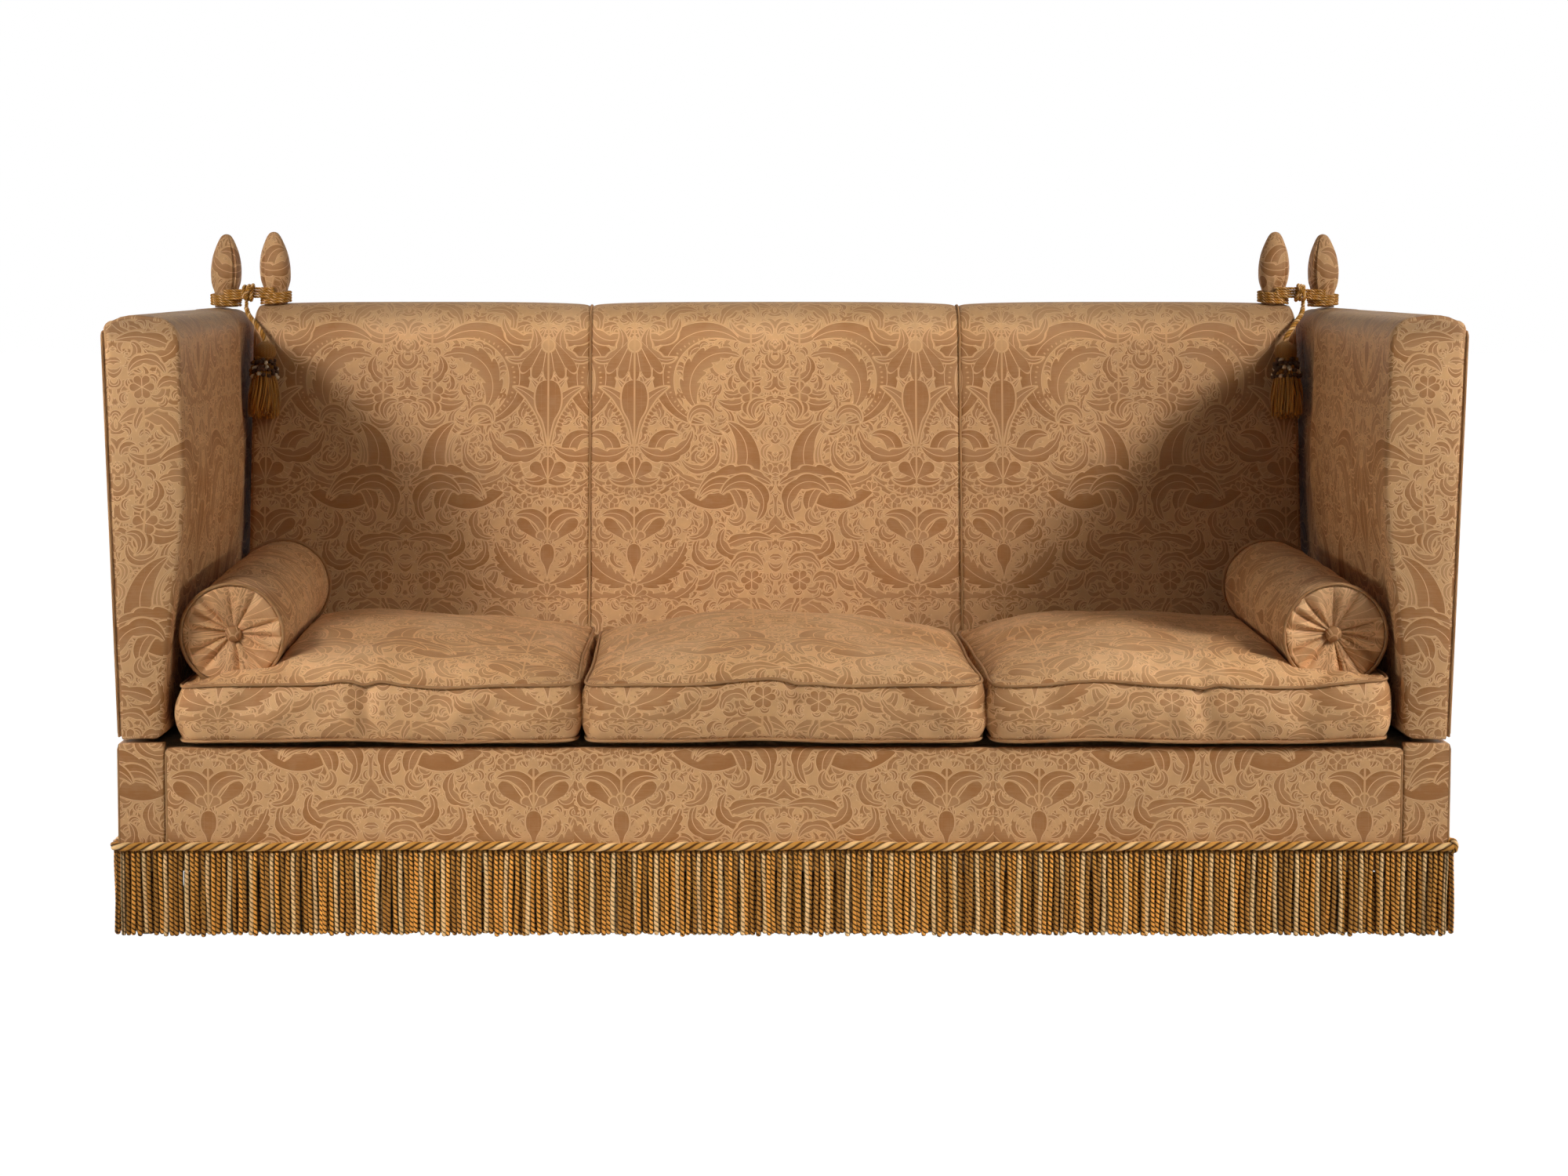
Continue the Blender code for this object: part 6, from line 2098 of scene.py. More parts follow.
@dataclass
class Bolster:
    """A round bolster: a smooth barrel, piped ends, and end cloth gathered to a covered button."""

    hand: Hand
    radius: float = 0.0865
    length: float = 0.565
    s: float = 0.930
    front: float = 0.042
    front_z: float = 0.5065
    tilt: float = math.radians(2.0)
    dish: float = 0.020
    pleats: int = 12
    sides: int = 240
    button: float = 0.0138
    gathers: tuple[float, ...] = (
        1.0, 0.985, 0.96, 0.92, 0.86, 0.78, 0.69, 0.59, 0.49, 0.39, 0.30, 0.22, 0.15, 0.08, 0.0,
    )

    def matrix(self) -> Matrix:
        """Where the bolster lies; its own z points to its front end."""
        z = self.front_z + math.tan(self.tilt) * self.length / 2
        place = PLAN.place(self.s, self.front + self.length / 2, z, self.hand.value)
        return Matrix.Translation(place) @ Matrix.Rotation(math.pi / 2 + self.tilt, 4, "X")

    def placed(self, points: Grid) -> np.ndarray:
        """Turns points of the bolster's own frame into the sofa's frame."""
        return moved_by(self.matrix(), points)

    def build(self) -> None:
        """Makes the bolster, its piping and its buttons."""
        word = self.hand.word
        sewn = Patchwork()
        phi = np.linspace(0.0, TURN, self.sides + 1)
        half = self.length / 2
        along = np.linspace(-half + 0.006, half - 0.006, 34)
        rows, cloth = [], []
        for z in along:
            sag = 0.0012 * math.cos(math.pi * z / half) - 0.0035 * math.exp(-((half - abs(z)) / 0.012) ** 1.2)
            ripple = 0.0010 * np.sin(5 * phi + 30 * z) * np.sin(24 * z + 2 * phi)
            ripple += 0.0007 * np.sin(9 * phi - 55 * z)
            r = self.radius + sag + ripple
            rows.append(around(r, phi, z))
            cloth.append(spots(phi * self.radius, z))
        sewn.patch(self.placed(rows), cloth, 0.25)
        for end in (-1, 1):
            self.gather(sewn, phi, end, half)
        piece = sewn.sew(f"{word}_bolster_roll_pad", Finishes.damask())
        dress(piece, self.hand.bolster, [f"{word}_bolster"])
        paths = []
        for end in (-1, 1):
            turn = phi[:-1:4]
            r, z = self.radius + 0.0002, end * (half - 0.0045)
            paths.append((self.placed(around(r, turn, z)), True))
        piping = piped(f"{word}_bolster_piping", paths, radius=0.0030)
        dress(piping, self.hand.bolster)
        self.buttons(half)

    def gather(self, sewn: Patchwork, phi: np.ndarray, end: int, half: float) -> None:
        """Closes one end with cloth drawn in pleats to the middle.

        Args:
            sewn: The patchwork that takes it.
            phi: The angles round the bolster.
            end: -1 for the rear end, 1 for the front end.
            half: Half the bolster's length.
        """
        warped = phi + 0.16 * np.sin(2 * phi + 0.7) + 0.07 * np.sin(5 * phi)
        fold = np.abs(np.sin(self.pleats * warped / 2)) ** 0.50
        uneven = 1.0 + 0.28 * np.sin(3 * phi + 1.1) + 0.22 * np.sin(7 * phi + 0.4)
        second = np.abs(np.sin(self.pleats * warped + 0.9)) ** 0.8
        rows, cloth = [], []
        for share in self.gathers:
            r = (self.radius - 0.003) * share
            fullness = math.sin(math.pi * min(1.0, 1.02 - share) ** 0.8) if share < 1 else 0.0
            rise = 0.007 * math.sin(math.pi * (1 - share) ** 0.6) if 0 < share < 1 else 0.0
            depth = -self.dish * (1 - share**1.7) + rise
            deep = 0.0165 * fullness * (0.45 + 0.55 * share) * uneven
            z = half - 0.006 + depth + deep * (fold - 0.80) + 0.002 * fullness * (second - 0.5)
            turn = phi + (0.10 * fullness) * np.sin(self.pleats * warped) / self.pleats
            rows.append(around(r, turn, end * z))
            cloth.append(spots(phi * self.radius, end * (half + self.radius * (1 - share))))
        rim = around(self.radius - 0.0035, phi, end * (half - 0.006))
        # The ends' high wear mark is mostly painted highlight, which lightens them.
        sewn.patch(self.placed([rim, *rows]), [cloth[0], *cloth], 0.9)

    def buttons(self, half: float) -> None:
        """Makes the covered buttons at both ends, with the CAD button's place at the front.

        Args:
            half: Half the bolster's length.
        """
        word = self.hand.word
        profile = (
            (0.0, 0.0095), (0.35, 0.0090), (0.65, 0.0075), (0.88, 0.0048), (1.0, 0.0020), (0.92, 0.0),
            (0.0, 0.0),
        )
        phi = np.linspace(0.0, TURN, 25)
        sewn = Patchwork()
        for end in (-1, 1):
            rows, cloth = [], []
            for share, up in profile:
                r = self.button * share
                z = end * (half - self.dish + 0.0005 + up)
                rows.append(around(r, phi, z))
                cloth.append(spots(r * np.cos(phi) + 0.26, r * np.sin(phi) + 0.13))
            sewn.patch(self.placed(rows), cloth)
        piece = sewn.sew(f"{word}_bolster_covered_buttons", Finishes.damask())
        dress(piece, self.hand.bolster, [f"{word}_bolster_button"])


@dataclass
class Finials:
    """The covered finials of one corner: one on the arm and one on the back."""

    hand: Hand
    height: float = 0.143
    radius: float = 0.031
    neck_radius: float = 0.0225
    neck: float = 0.034
    flat: float = 0.85

    def profile(self) -> np.ndarray:
        """The finial's outline from its tip down to its foot, as radii and heights."""
        head = self.height - self.neck
        shares = (
            (0.0, 0.0), (0.24, 0.020), (0.47, 0.11), (0.76, 0.31), (0.90, 0.47), (0.965, 0.65), (0.93, 0.84),
            (0.80, 0.97),
        )
        points = [(self.radius * out, self.height - head * down, 0.0) for out, down in shares]
        points += [(self.neck_radius, z, 0.0) for z in (self.neck - 0.004, 0.016, 0.0004)]
        return resample(np.array(points), 0.0042)[:, :2]

    def build(self) -> None:
        """Makes both finials, each with its gathers and one deep seam."""
        side, word = self.hand.value, self.hand.word
        feet = (("arm", self.hand.arm, PLAN.at_arm_finial), ("back", Body.FRAME, PLAN.at_back_finial))
        phi = np.linspace(0.0, TURN, 113)
        for index, (kind, body, put) in enumerate(feet):
            away = np.angle(np.exp(1j * (phi + math.pi / 2 + side * (0.72 if index == 0 else -0.72))))
            slit = 0.05 * np.exp(-((np.abs(away) - 0.15) / 0.09) ** 2) - 0.15 * np.exp(-((away / 0.062) ** 2))
            sewn = Patchwork()
            line = self.profile()
            run = lengths(np.column_stack([line, np.zeros(len(line))]))
            rows, cloth = [], []
            for (r, z), s in zip(line, run):
                low = math.exp(-((z - 0.036) / 0.018) ** 2)
                folds = 1 + 0.030 * low * np.sin(11 * phi + index)
                folds += 0.018 * np.sin(3 * phi + 2 * index + 18 * z)
                seam = 1 + slit * smooth_step((z - 0.026) / 0.02) * smooth_step((self.height - z) / 0.03)
                rr = r * folds * seam if z > 0.012 else r * np.ones_like(phi)
                lean = 0.05 * max(0.0, z - 0.04) * (1 if index == 0 else -0.6) * -side
                flat = spots(rr * np.cos(phi) + lean, rr * np.sin(phi) * self.flat, z)
                rows.append(put(side, flat))
                cloth.append(spots(phi * self.radius + 0.05 + 0.13 * index, 0.36 - s))
            foot = np.broadcast_to(rows[-1].mean(axis=0), rows[-1].shape)
            rows.append(foot)
            cloth.append(cloth[-1])
            sewn.patch(rows, cloth, 0.1)
            piece = sewn.sew(f"{word}_{kind}_finial_cloth", Finishes.damask())
            dress(piece, body, [f"{word}_{kind}_finial"])


@dataclass
class TieCords:
    """The tie cord of one corner: doubled turns on both finials, the knot, and the tail with its tassel."""

    hand: Hand
    cad_radius: float = 0.005
    strand: float = 0.0029
    turns: float = 2.25
    gap: float = 0.0006
    neck: float = 0.0225
    flat: float = 0.85
    step: float = 0.0022
    stacked: float = 0.93
    tail_route: tuple[Spot, ...] = (
        (0.0, 0.0, -0.0010), (-0.0002, -0.0011, -0.0051), (-0.0020, -0.0051, -0.0096),
        (-0.0055, -0.0141, -0.0151), (-0.0115, -0.0266, -0.0216), (-0.0200, -0.0406, -0.0289),
        (-0.0290, -0.0521, -0.0381),
        (-0.0370, -0.0601, -0.0481), (-0.0430, -0.0646, -0.0571), (-0.0470, -0.0671, -0.0661),
    )

    def winding(self, sense: int) -> np.ndarray:
        """Points of a cord wound up round a finial's neck, about its foot, that ends at the front."""
        rx = self.neck + self.cad_radius + 0.0008
        ry = self.neck * self.flat + self.cad_radius + 0.0008
        steps = round(self.turns * 28)
        left = 1 - np.arange(steps + 1) / steps
        angle = -math.pi / 2 + sense * left * self.turns * TURN
        rise = (2 * self.cad_radius + self.gap) * self.turns * (1 - left)
        return spots(rx * np.cos(angle), ry * np.sin(angle), 0.0058 + rise)

    def knot_end(self) -> Vector:
        """Where the tail leaves the knot."""
        y = PLAN.front_y + PLAN.finial_depth - self.neck * self.flat - self.cad_radius - 0.0008
        top = PLAN.back_crest + 0.0058 + (2 * self.cad_radius + self.gap) * self.turns
        x, z = self.hand.value * (PLAN.knot_s + self.cad_radius), top - 0.0106 - 4 * self.cad_radius
        return Vector((x, y, z))

    def build(self) -> None:
        side, word = self.hand.value, self.hand.word
        finish = Finishes.cord(
            "tie_cord", SHADES.deep_gold, SHADES.gold, SHADES.cream, plies=3, lay=0.0, pale_share=0.75
        )
        rope = Strand(self.strand, sides=12, plies=3, groove=0.30, lay=0.017)

        arm = self.winding(-side)
        reach, height = 0.0445, arm[-1][2]
        arm = np.vstack([arm, [(-side * reach / 2, arm[-1][1], height), (-side * reach, arm[-1][1], height)]])
        below = 2 * self.cad_radius + self.gap
        lifts = [sign * self.strand * self.stacked for sign in (-1, 1)]
        sewn = Patchwork()
        for lift in lifts:
            lower = arm[-3:] + np.array([0.0, -0.0006, lift - below])
            lower[-1] += (0.0, 0.0008, 0.0030)
            for path in (arm + np.array([0.0, 0.0, lift]), lower):
                rope.lay_along(sewn, resample(PLAN.at_arm_finial(side, path), self.step))
        piece = sewn.sew(f"{word}_arm_tie_turns", finish, FINE_WELD)
        dress(piece, self.hand.arm, [f"{word}_arm_cord"])

        back = PLAN.at_back_finial(side, self.winding(side))
        tail = back[-1]
        sewn = Patchwork()
        across = np.array([(tail[0] + side * PLAN.knot_s) / 2, tail[1], tail[2]])
        end = np.array([side * (PLAN.knot_s - 0.004), tail[1], tail[2]])
        for lift in lifts:
            shift = np.array([0.0, 0.0, lift])
            rope.lay_along(sewn, resample(np.vstack([back, across, end]) + shift, self.step))
            lower = np.vstack([tail, across, end]) + shift - (0.0, 0.0006, below)
            rope.lay_along(sewn, resample(lower, self.step))
        self.knot(sewn, tail)
        piece = sewn.sew(f"{word}_back_tie_turns", finish, FINE_WELD)
        dress(piece, Body.FRAME, [f"{word}_back_cord"])
        self.tail(finish)

    def knot(self, sewn: Patchwork, tail: np.ndarray) -> None:
        """Ties the knot: three loops round the cords, and the end that slants over them.

        Args:
            sewn: The patchwork that takes it.
            tail: Where the turns on the back's finial end.
        """
        side = self.hand.value
        turn = np.linspace(0.0, TURN, 17)[:-1]
        loop_cord = Strand(radius=0.0036, sides=12, plies=3, groove=0.30, lay=0.019)
        slant_cord = Strand(radius=0.0040, sides=12, plies=3, groove=0.28, lay=0.02)
        for loop in range(3):
            x = side * (PLAN.knot_s - 0.0064 + 0.0066 * loop) + 0.0022 * np.sin(turn + loop)
            y = tail[1] + (0.0092 + 0.0006 * loop) * np.cos(turn)
            z = tail[2] - 0.0055 + (0.0150 - 0.0012 * loop) * np.sin(turn)
            loop_cord.lay_along(sewn, resample(spots(x, y, z), self.step, True), True)
        slant = (
            (-0.009, -0.0105, 0.006), (-0.003, -0.0125, 0.001), (0.003, -0.0120, -0.006),
            (0.0050, -0.0070, -0.014), (0.0050, -0.0010, -0.022), (0.0050, 0.0, -0.0300),
            (0.0046, -0.0012, -0.0350),
        )
        path = np.array([(side * (PLAN.knot_s + s), tail[1] + d, tail[2] + z) for s, d, z in slant])
        slant_cord.lay_along(sewn, resample(path, self.step))

    def tail(self, finish: Material) -> None:
        """Makes the hanging tail and its tassel.

        Args:
            finish: The cord's material.
        """
        side, word = self.hand.value, self.hand.word
        end = self.knot_end()
        route = np.array([end + Vector((side * s, d, z)) for s, d, z in self.tail_route])
        lean = PLAN.back_lean
        along = Vector((0.0, math.sin(lean), math.cos(lean)))
        inside = [np.array(Vector(route[-1]) - along * depth) for depth in (0.006, 0.014, 0.022)]
        path = resample(np.vstack([route, inside]), self.step)
        sewn = Patchwork()
        Strand(self.cad_radius, sides=15, plies=3, groove=0.22, lay=0.026).lay_along(sewn, path)
        cord = sewn.sew(f"{word}_tail_cord", finish, FINE_WELD)
        dress(cord, self.hand.tassel, [f"{word}_tassel_cord"])
        foot = Vector(route[-1]) - along * (self.cad_radius / 2)
        matrix = Matrix.Translation(foot) @ Matrix.Rotation(-lean, 4, "X")
        pieces = Tassel(self.hand, matrix).build()
        float(lengths(path)[-1])


class StrandRow:
    """Geometry nodes that hang a strand at even steps along a path, each a little different."""

    sizes = (
        ("Spacing", 0.01), ("Flare", 0.0), ("Sway", 0.03), ("Short", 0.95), ("Long", 1.05), ("Scatter", 0.0),
        ("Every", 0.0), ("Spin", 0.0),
    )

    @classmethod
    @cache
    def group(cls) -> Tree:
        """Builds the tree on its first use."""
        tree = bpy.data.node_groups.new("strand_row", "GeometryNodeTree")
        face = tree.interface
        face.new_socket("Path", in_out="INPUT", socket_type="NodeSocketGeometry")
        face.new_socket("Strand", in_out="INPUT", socket_type="NodeSocketObject")
        face.new_socket("Finish", in_out="INPUT", socket_type="NodeSocketMaterial")
        for name, value in cls.sizes:
            face.new_socket(name, in_out="INPUT", socket_type="NodeSocketFloat").default_value = value
        face.new_socket("Seed", in_out="INPUT", socket_type="NodeSocketInt")
        face.new_socket("Strands", in_out="OUTPUT", socket_type="NodeSocketGeometry")
        w = Wiring(tree)
        start, end = w.node("NodeGroupInput"), w.node("NodeGroupOutput")
        given = start.outputs
        line = w.wired("GeometryNodeMeshToCurve", {0: given["Path"]})
        spaced = {"Curve": line.outputs[0], "Length": given["Spacing"]}
        even = w.wired("GeometryNodeResampleCurve", spaced, mode="LENGTH")
        points = w.wired("GeometryNodeCurveToPoints", {"Curve": even.outputs[0]}, mode="EVALUATED")

        def chance(kind: str, low: Feed, high: Feed, extra: int) -> Socket:
            """A random number or vector for each strand."""
            first, result = (0, 0) if kind == "FLOAT_VECTOR" else (2, 1)
            feeds = {first: low, first + 1: high, "Seed": w.add(given["Seed"], float(extra))}
            return w.wired("FunctionNodeRandomValue", feeds, data_type=kind).outputs[result]

        scatter = given["Scatter"]
        back = w.times(scatter, -1.0)
        offset = chance("FLOAT_VECTOR", w.join(back, back, back), w.join(scatter, scatter, scatter), 1)
        moved = w.wired("GeometryNodeSetPosition", {"Geometry": points.outputs["Points"], "Offset": offset})
        ahead = {"Vector": points.outputs["Tangent"]}
        facing = w.wired("FunctionNodeAlignRotationToVector", ahead, axis="X", pivot_axis="Z")
        sway = given["Sway"]
        against = w.times(sway, -1.0)
        forwards = w.add(given["Flare"], chance("FLOAT", against, sway, 2))
        aside = chance("FLOAT", against, sway, 3)
        spin = w.times(chance("FLOAT", 0.0, 1.0, 6), given["Spin"])
        turn = w.wired("FunctionNodeEulerToRotation", {0: w.join(forwards, aside, spin)})
        both = {0: facing.outputs[0], 1: turn.outputs[0]}
        turned = w.wired("FunctionNodeRotateRotation", both, rotation_space="LOCAL")
        source = w.wired("GeometryNodeObjectInfo", {"Object": given["Strand"]}, transform_space="ORIGINAL")
        length = chance("FLOAT", given["Short"], given["Long"], 4)
        hung = w.wired("GeometryNodeInstanceOnPoints", {
            "Points": moved.outputs[0], "Instance": source.outputs["Geometry"], "Rotation": turned.outputs[0],
            "Scale": w.join(1.0, 1.0, length),
        })
        number = w.node("GeometryNodeInputIndex").outputs[0]
        place = w.math("MODULO", number, w.math("MAXIMUM", given["Every"], 1.0))
        striped = w.above(given["Every"], 0.5)
        chosen = w.times(w.math("COMPARE", place, 0.0, 0.25), striped)
        usual = w.times(chance("FLOAT", 0.0, 1.0, 5), w.blend(striped, 1.0, 0.62))
        tone = w.math("MAXIMUM", usual, w.times(chosen, 0.96))
        stored = {"Geometry": hung.outputs[0], "Name": TONE, "Value": tone}
        toned = w.wired("GeometryNodeStoreNamedAttribute", stored, data_type="FLOAT", domain="INSTANCE")
        real = w.wired("GeometryNodeRealizeInstances", {0: toned.outputs[0]})
        dyed = {"Geometry": real.outputs[0], "Material": given["Finish"]}
        w.feed(end.inputs[0], w.wired("GeometryNodeSetMaterial", dyed).outputs[0])
        return tree

    @classmethod
    def hang(
        cls, name: str, paths: Sequence[np.ndarray], strand: Piece, finish: Material, seed: int,
        **sizes: float,
    ) -> Piece:
        """Hangs strands along closed paths and returns them as one plain mesh.

        Args:
            name: The piece's name.
            paths: Closed paths, each without its first point again.
            strand: The strand, hanging down from the origin.
            finish: The material.
            seed: The seed of its small differences.
            **sizes: Values of the tree's named sizes.

        Returns:
            The piece.
        """
        mesh = bpy.data.meshes.new(f"{name}_path")
        points, edges = [], []
        for path in paths:
            first = len(points)
            points += [tuple(point) for point in path]
            edges += [(first + i, first + (i + 1) % len(path)) for i in range(len(path))]
        mesh.from_pydata(points, edges, [])
        guide = stand(f"{name}_guide", mesh)
        modifier = guide.modifiers.new("strands", "NODES")
        modifier.node_group = cls.group()
        values = {"Strand": strand, "Finish": finish, "Seed": seed, **sizes}
        for item in cls.group().interface.items_tree:
            if item.item_type == "SOCKET" and item.in_out == "INPUT" and item.name in values:
                modifier[item.identifier] = values[item.name]
        shaped = guide.evaluated_get(bpy.context.evaluated_depsgraph_get())
        made = bpy.data.meshes.new_from_object(shaped)
        made.name = name
        bpy.data.objects.remove(guide)
        for polygon in made.polygons:
            polygon.use_smooth = True
        return stand(name, made)


def hanging_strand(
    name: str, length: float, radius: float, sides: int, steps: int, curl: float = 0.0, bead: float = 0.0
) -> Piece:
    """Makes the one strand that a row repeats, hanging down from the origin.

    Args:
        name: The strand's name.
        length: Its length.
        radius: Its radius.
        sides: Its sides.
        steps: The steps down it.
        curl: How far it bends aside on its way.
        bead: How far its lower end swells.

    Returns:
        The strand, which isn't itself shown.
    """
    sewn = Patchwork()
    phi = np.linspace(0.0, TURN, sides + 1)
    rows, cloth = [], []
    blunt = radius / length
    shares = [*np.linspace(0.0, 1 - blunt, steps), 1 - 0.3 * blunt, 1.0]
    for i, t in enumerate(shares):
        r = radius * (1.0 + bead * t) * {0: 0.8, steps: 0.86, steps + 1: 0.45}.get(i, 1.0)
        x, y = curl * math.sin(3.4 * t), 0.6 * curl * math.sin(5.1 * t + 1.0) - 0.6 * curl * math.sin(1.0)
        rows.append(spots(x + r * np.cos(phi), y + r * np.sin(phi), -length * t))
        cloth.append(spots(length * t, phi / TURN))
    for end in (0, -1):
        sewn.close(rows[end], cloth[end])
    sewn.patch(rows, cloth)
    strand = sewn.sew(name, Finishes.piping(), FINE_WELD)
    bpy.context.scene.collection.objects.unlink(strand)
    return strand


@dataclass
class Tassel:
    """A silk tassel: collar, bound head, ruff of tufts and a full skirt of twisted threads."""

    hand: Hand
    matrix: Matrix
    length: float = 0.150
    radius: float = 0.030
    skirt_rings: tuple[Point, ...] = (
        (0.006, -0.060), (0.010, -0.060), (0.014, -0.058), (0.018, -0.056), (0.021, -0.054),
    )
    ruff_rings: tuple[Point, ...] = (
        (0.010, -0.034), (0.013, -0.041), (0.015, -0.049), (0.016, -0.057), (0.016, -0.065),
    )

    def placed(self, points: Grid) -> np.ndarray:
        """Turns points of the tassel's own frame into the sofa's frame."""
        return moved_by(self.matrix, points)

    def ring(self, radius: float, z: float, count: int = 32) -> np.ndarray:
        """A circle of points in the tassel's own frame, anticlockwise from above."""
        turn = np.linspace(0.0, TURN, count + 1)[:-1]
        return around(radius, turn, z)

    def build(self) -> list[Piece]:
        """Makes the tassel's pieces.

        Returns:
            The pieces that hang on the tail cord.
        """
        word, body = self.hand.word, self.hand.tassel
        silk = Finishes.threads("tassel_silk", SHADES.deep_gold, SHADES.silk)
        pieces = [self.head(silk)]
        thread = hanging_strand(
            f"{word}_skirt_thread", length=0.090, radius=0.0013, sides=5, steps=6, curl=0.0035
        )
        rings = [self.ring(r, z) for r, z in self.skirt_rings]
        skirt = StrandRow.hang(
            f"{word}_tassel_skirt", rings, thread, silk, 11 + self.hand.value, Spacing=0.0030, Flare=-0.075,
            Sway=0.10, Short=0.90, Long=1.02,
        )
        tuft = hanging_strand(
            f"{word}_ruff_tuft", length=0.013, radius=0.0032, sides=6, steps=4, curl=0.001, bead=0.35
        )
        rings = [self.ring(r, z) for r, z in self.ruff_rings]
        ruff = StrandRow.hang(
            f"{word}_tassel_ruff", rings, tuft, Finishes.tufts(), 31 + self.hand.value, Spacing=0.0062,
            Flare=-1.15, Sway=0.35, Short=0.8, Long=1.15,
        )
        for piece in (skirt, ruff):
            self.put(piece)
            pieces.append(piece)
        for piece in pieces:
            names = [f"{word}_tassel"] if piece is skirt else []
            dress(piece, body, names)
        return pieces

    def put(self, piece: Piece) -> None:
        """Hangs a piece made at the origin under the tail cord, within the tassel's own solid."""

        def change(points: np.ndarray) -> np.ndarray:
            """Keeps the threads off the padded back and turns them into place."""
            points[:, 2] = np.maximum(points[:, 2], -self.length)
            reach = np.hypot(points[:, 0], points[:, 1])
            most = self.radius + 0.001
            scale = np.where(reach > most, most / np.maximum(reach, 1e-9), 1.0)
            points[:, :2] *= scale[:, None]
            return self.placed(points)

        shape_points(piece, change)

    def head(self, silk: Material) -> Piece:
        """Makes the bound head, its collar and the core that fills the skirt.

        Args:
            silk: The threads' material.

        Returns:
            The head.
        """
        shares = (
            (0.0, 0.0), (0.20, 0.002), (0.34, 0.02), (0.58, 0.06), (0.68, 0.12), (0.66, 0.18), (0.50, 0.225),
            (0.44, 0.25), (0.52, 0.28), (0.50, 0.40), (0.58, 0.55), (0.72, 0.75), (0.70, 0.90), (0.0, 0.93),
        )
        line = np.array([(self.radius * out, -self.length * down, 0.0) for out, down in shares])
        line = resample(line, 0.0030)
        phi = np.linspace(0.0, TURN, 61)
        rows, cloth = [], []
        for index, (r, z, _) in enumerate(line):
            ridges = 1 + 0.045 * np.sin(20 * phi)
            rr = np.maximum(r, 0.0) * ridges if 0 < index < len(line) - 1 else np.zeros_like(phi)
            rows.append(around(rr, phi, z))
            cloth.append(spots(-z, phi * 3))
        sewn = Patchwork()
        sewn.patch(self.placed(rows), cloth)
        for radius, z in ((0.0105, -0.0080), (0.0155, -0.0335), (0.0150, -0.0375)):
            loop = self.placed(self.ring(radius, z, count=24))
            binding = Strand(radius=0.0019, sides=8, plies=2, groove=0.25, lay=0.008)
            binding.lay_along(sewn, resample(loop, 0.002, True), True)
        return sewn.sew(f"{self.hand.word}_tassel_head", silk, FINE_WELD)


@dataclass
class Trim:
    """The rope heading and the bullion fringe round the base."""

    cord_radius: float = 0.0042
    spacing: float = 0.00895
    fringe_low: float = 0.003
    out: float = 0.0052

    def path(self, out: float, z: float, radius: float) -> np.ndarray:
        """Points round the base at a distance from it, anticlockwise seen from above."""
        half_x, half_y = PLAN.half_width + out, PLAN.depth / 2 + out
        points = []
        for index, (x, y) in enumerate(((1, 1), (-1, 1), (-1, -1), (1, -1))):
            for step in range(7):
                angle = math.radians(90 * index + 15 * step)
                across = x * (half_x - radius) + radius * math.cos(angle)
                points.append((across, y * (half_y - radius) + radius * math.sin(angle), z))
        return np.array(points)

    def build(self) -> None:
        """Makes the rope, the fringe and its woven heading."""
        radius = PLAN.rope_radius * 1.15
        rope = self.path(radius + 0.0003, PLAN.rope_z, 0.012)
        fine = self.straight(rope, 0.02)
        run = lengths(np.vstack([fine, fine[:1]]))[:-1]
        fine[:, 2] += 0.0010 * np.sin(run * 9.0) + 0.0007 * np.sin(run * 23.0 + 1.0)
        finish = Finishes.cord(
            "heading_rope", SHADES.groove, SHADES.gold, SHADES.cream, plies=3, lay=0.0, pale_share=0.85
        )
        sewn = Patchwork()
        cord = Strand(radius, sides=12, plies=3, groove=0.26, lay=-0.058)
        cord.lay_along(sewn, resample(fine, 0.0032, True), True)
        corner = np.array((PLAN.half_width + 0.004, -PLAN.depth / 2 - 0.0045, PLAN.rope_z))
        turn = np.linspace(0.0, TURN, 13)[:-1]
        loop = corner + spots(0.0050 * np.cos(turn), -0.0050 * np.cos(turn), 0.0095 * np.sin(turn))
        cord = Strand(radius=0.0044, sides=10, plies=3, groove=0.26, lay=-0.022)
        cord.lay_along(sewn, resample(loop, 0.0024, True), True)
        piece = sewn.sew("twisted_heading_rope", finish, FINE_WELD)
        dress(piece, Body.FRAME, ["fringe_heading_rope"])

        top = PLAN.rope_z - PLAN.rope_radius + 0.0015
        length = top - self.fringe_low - 0.002
        cord = hanging_strand(
            "bullion_cord", length, self.cord_radius, sides=6, steps=7, curl=0.0012, bead=0.06
        )
        gold = Finishes.cord(
            "bullion", SHADES.groove, SHADES.bullion, SHADES.cream, plies=2, lay=0.0165, pale_share=0.95
        )
        front = StrandRow.hang(
            "bullion_cords", [self.straight(self.path(self.out, top, 0.009), 0.05)], cord, gold, 5,
            Spacing=self.spacing, Sway=0.016, Short=0.965, Long=1.005, Scatter=0.0006, Every=4.0, Spin=6.2,
        )
        dress(front, Body.FRAME, ["bullion_fringe"])
        under = PLAN.cover_low - 0.001
        length = under - self.fringe_low - 0.002
        short = hanging_strand(
            "bullion_rear_cord", length, self.cord_radius, sides=6, steps=4, curl=0.0007, bead=0.06
        )
        rear = StrandRow.hang(
            "bullion_rear_cords", [self.straight(self.path(-0.0035, under, 0.006), 0.05)], short, gold, 9,
            Spacing=self.spacing, Sway=0.014, Short=0.94, Long=1.0, Scatter=0.0007, Every=4.0, Spin=6.2,
        )
        dress(rear, Body.FRAME)

    def straight(self, path: np.ndarray, step: float) -> np.ndarray:
        """Divides the long sides of a closed path without rounding them."""
        points = []
        for a, b in zip(path, np.roll(path, -1, axis=0)):
            parts = max(1, round(float(np.linalg.norm(b - a)) / step))
            points += [a + (b - a) * i / parts for i in range(parts)]
        return np.array(points)


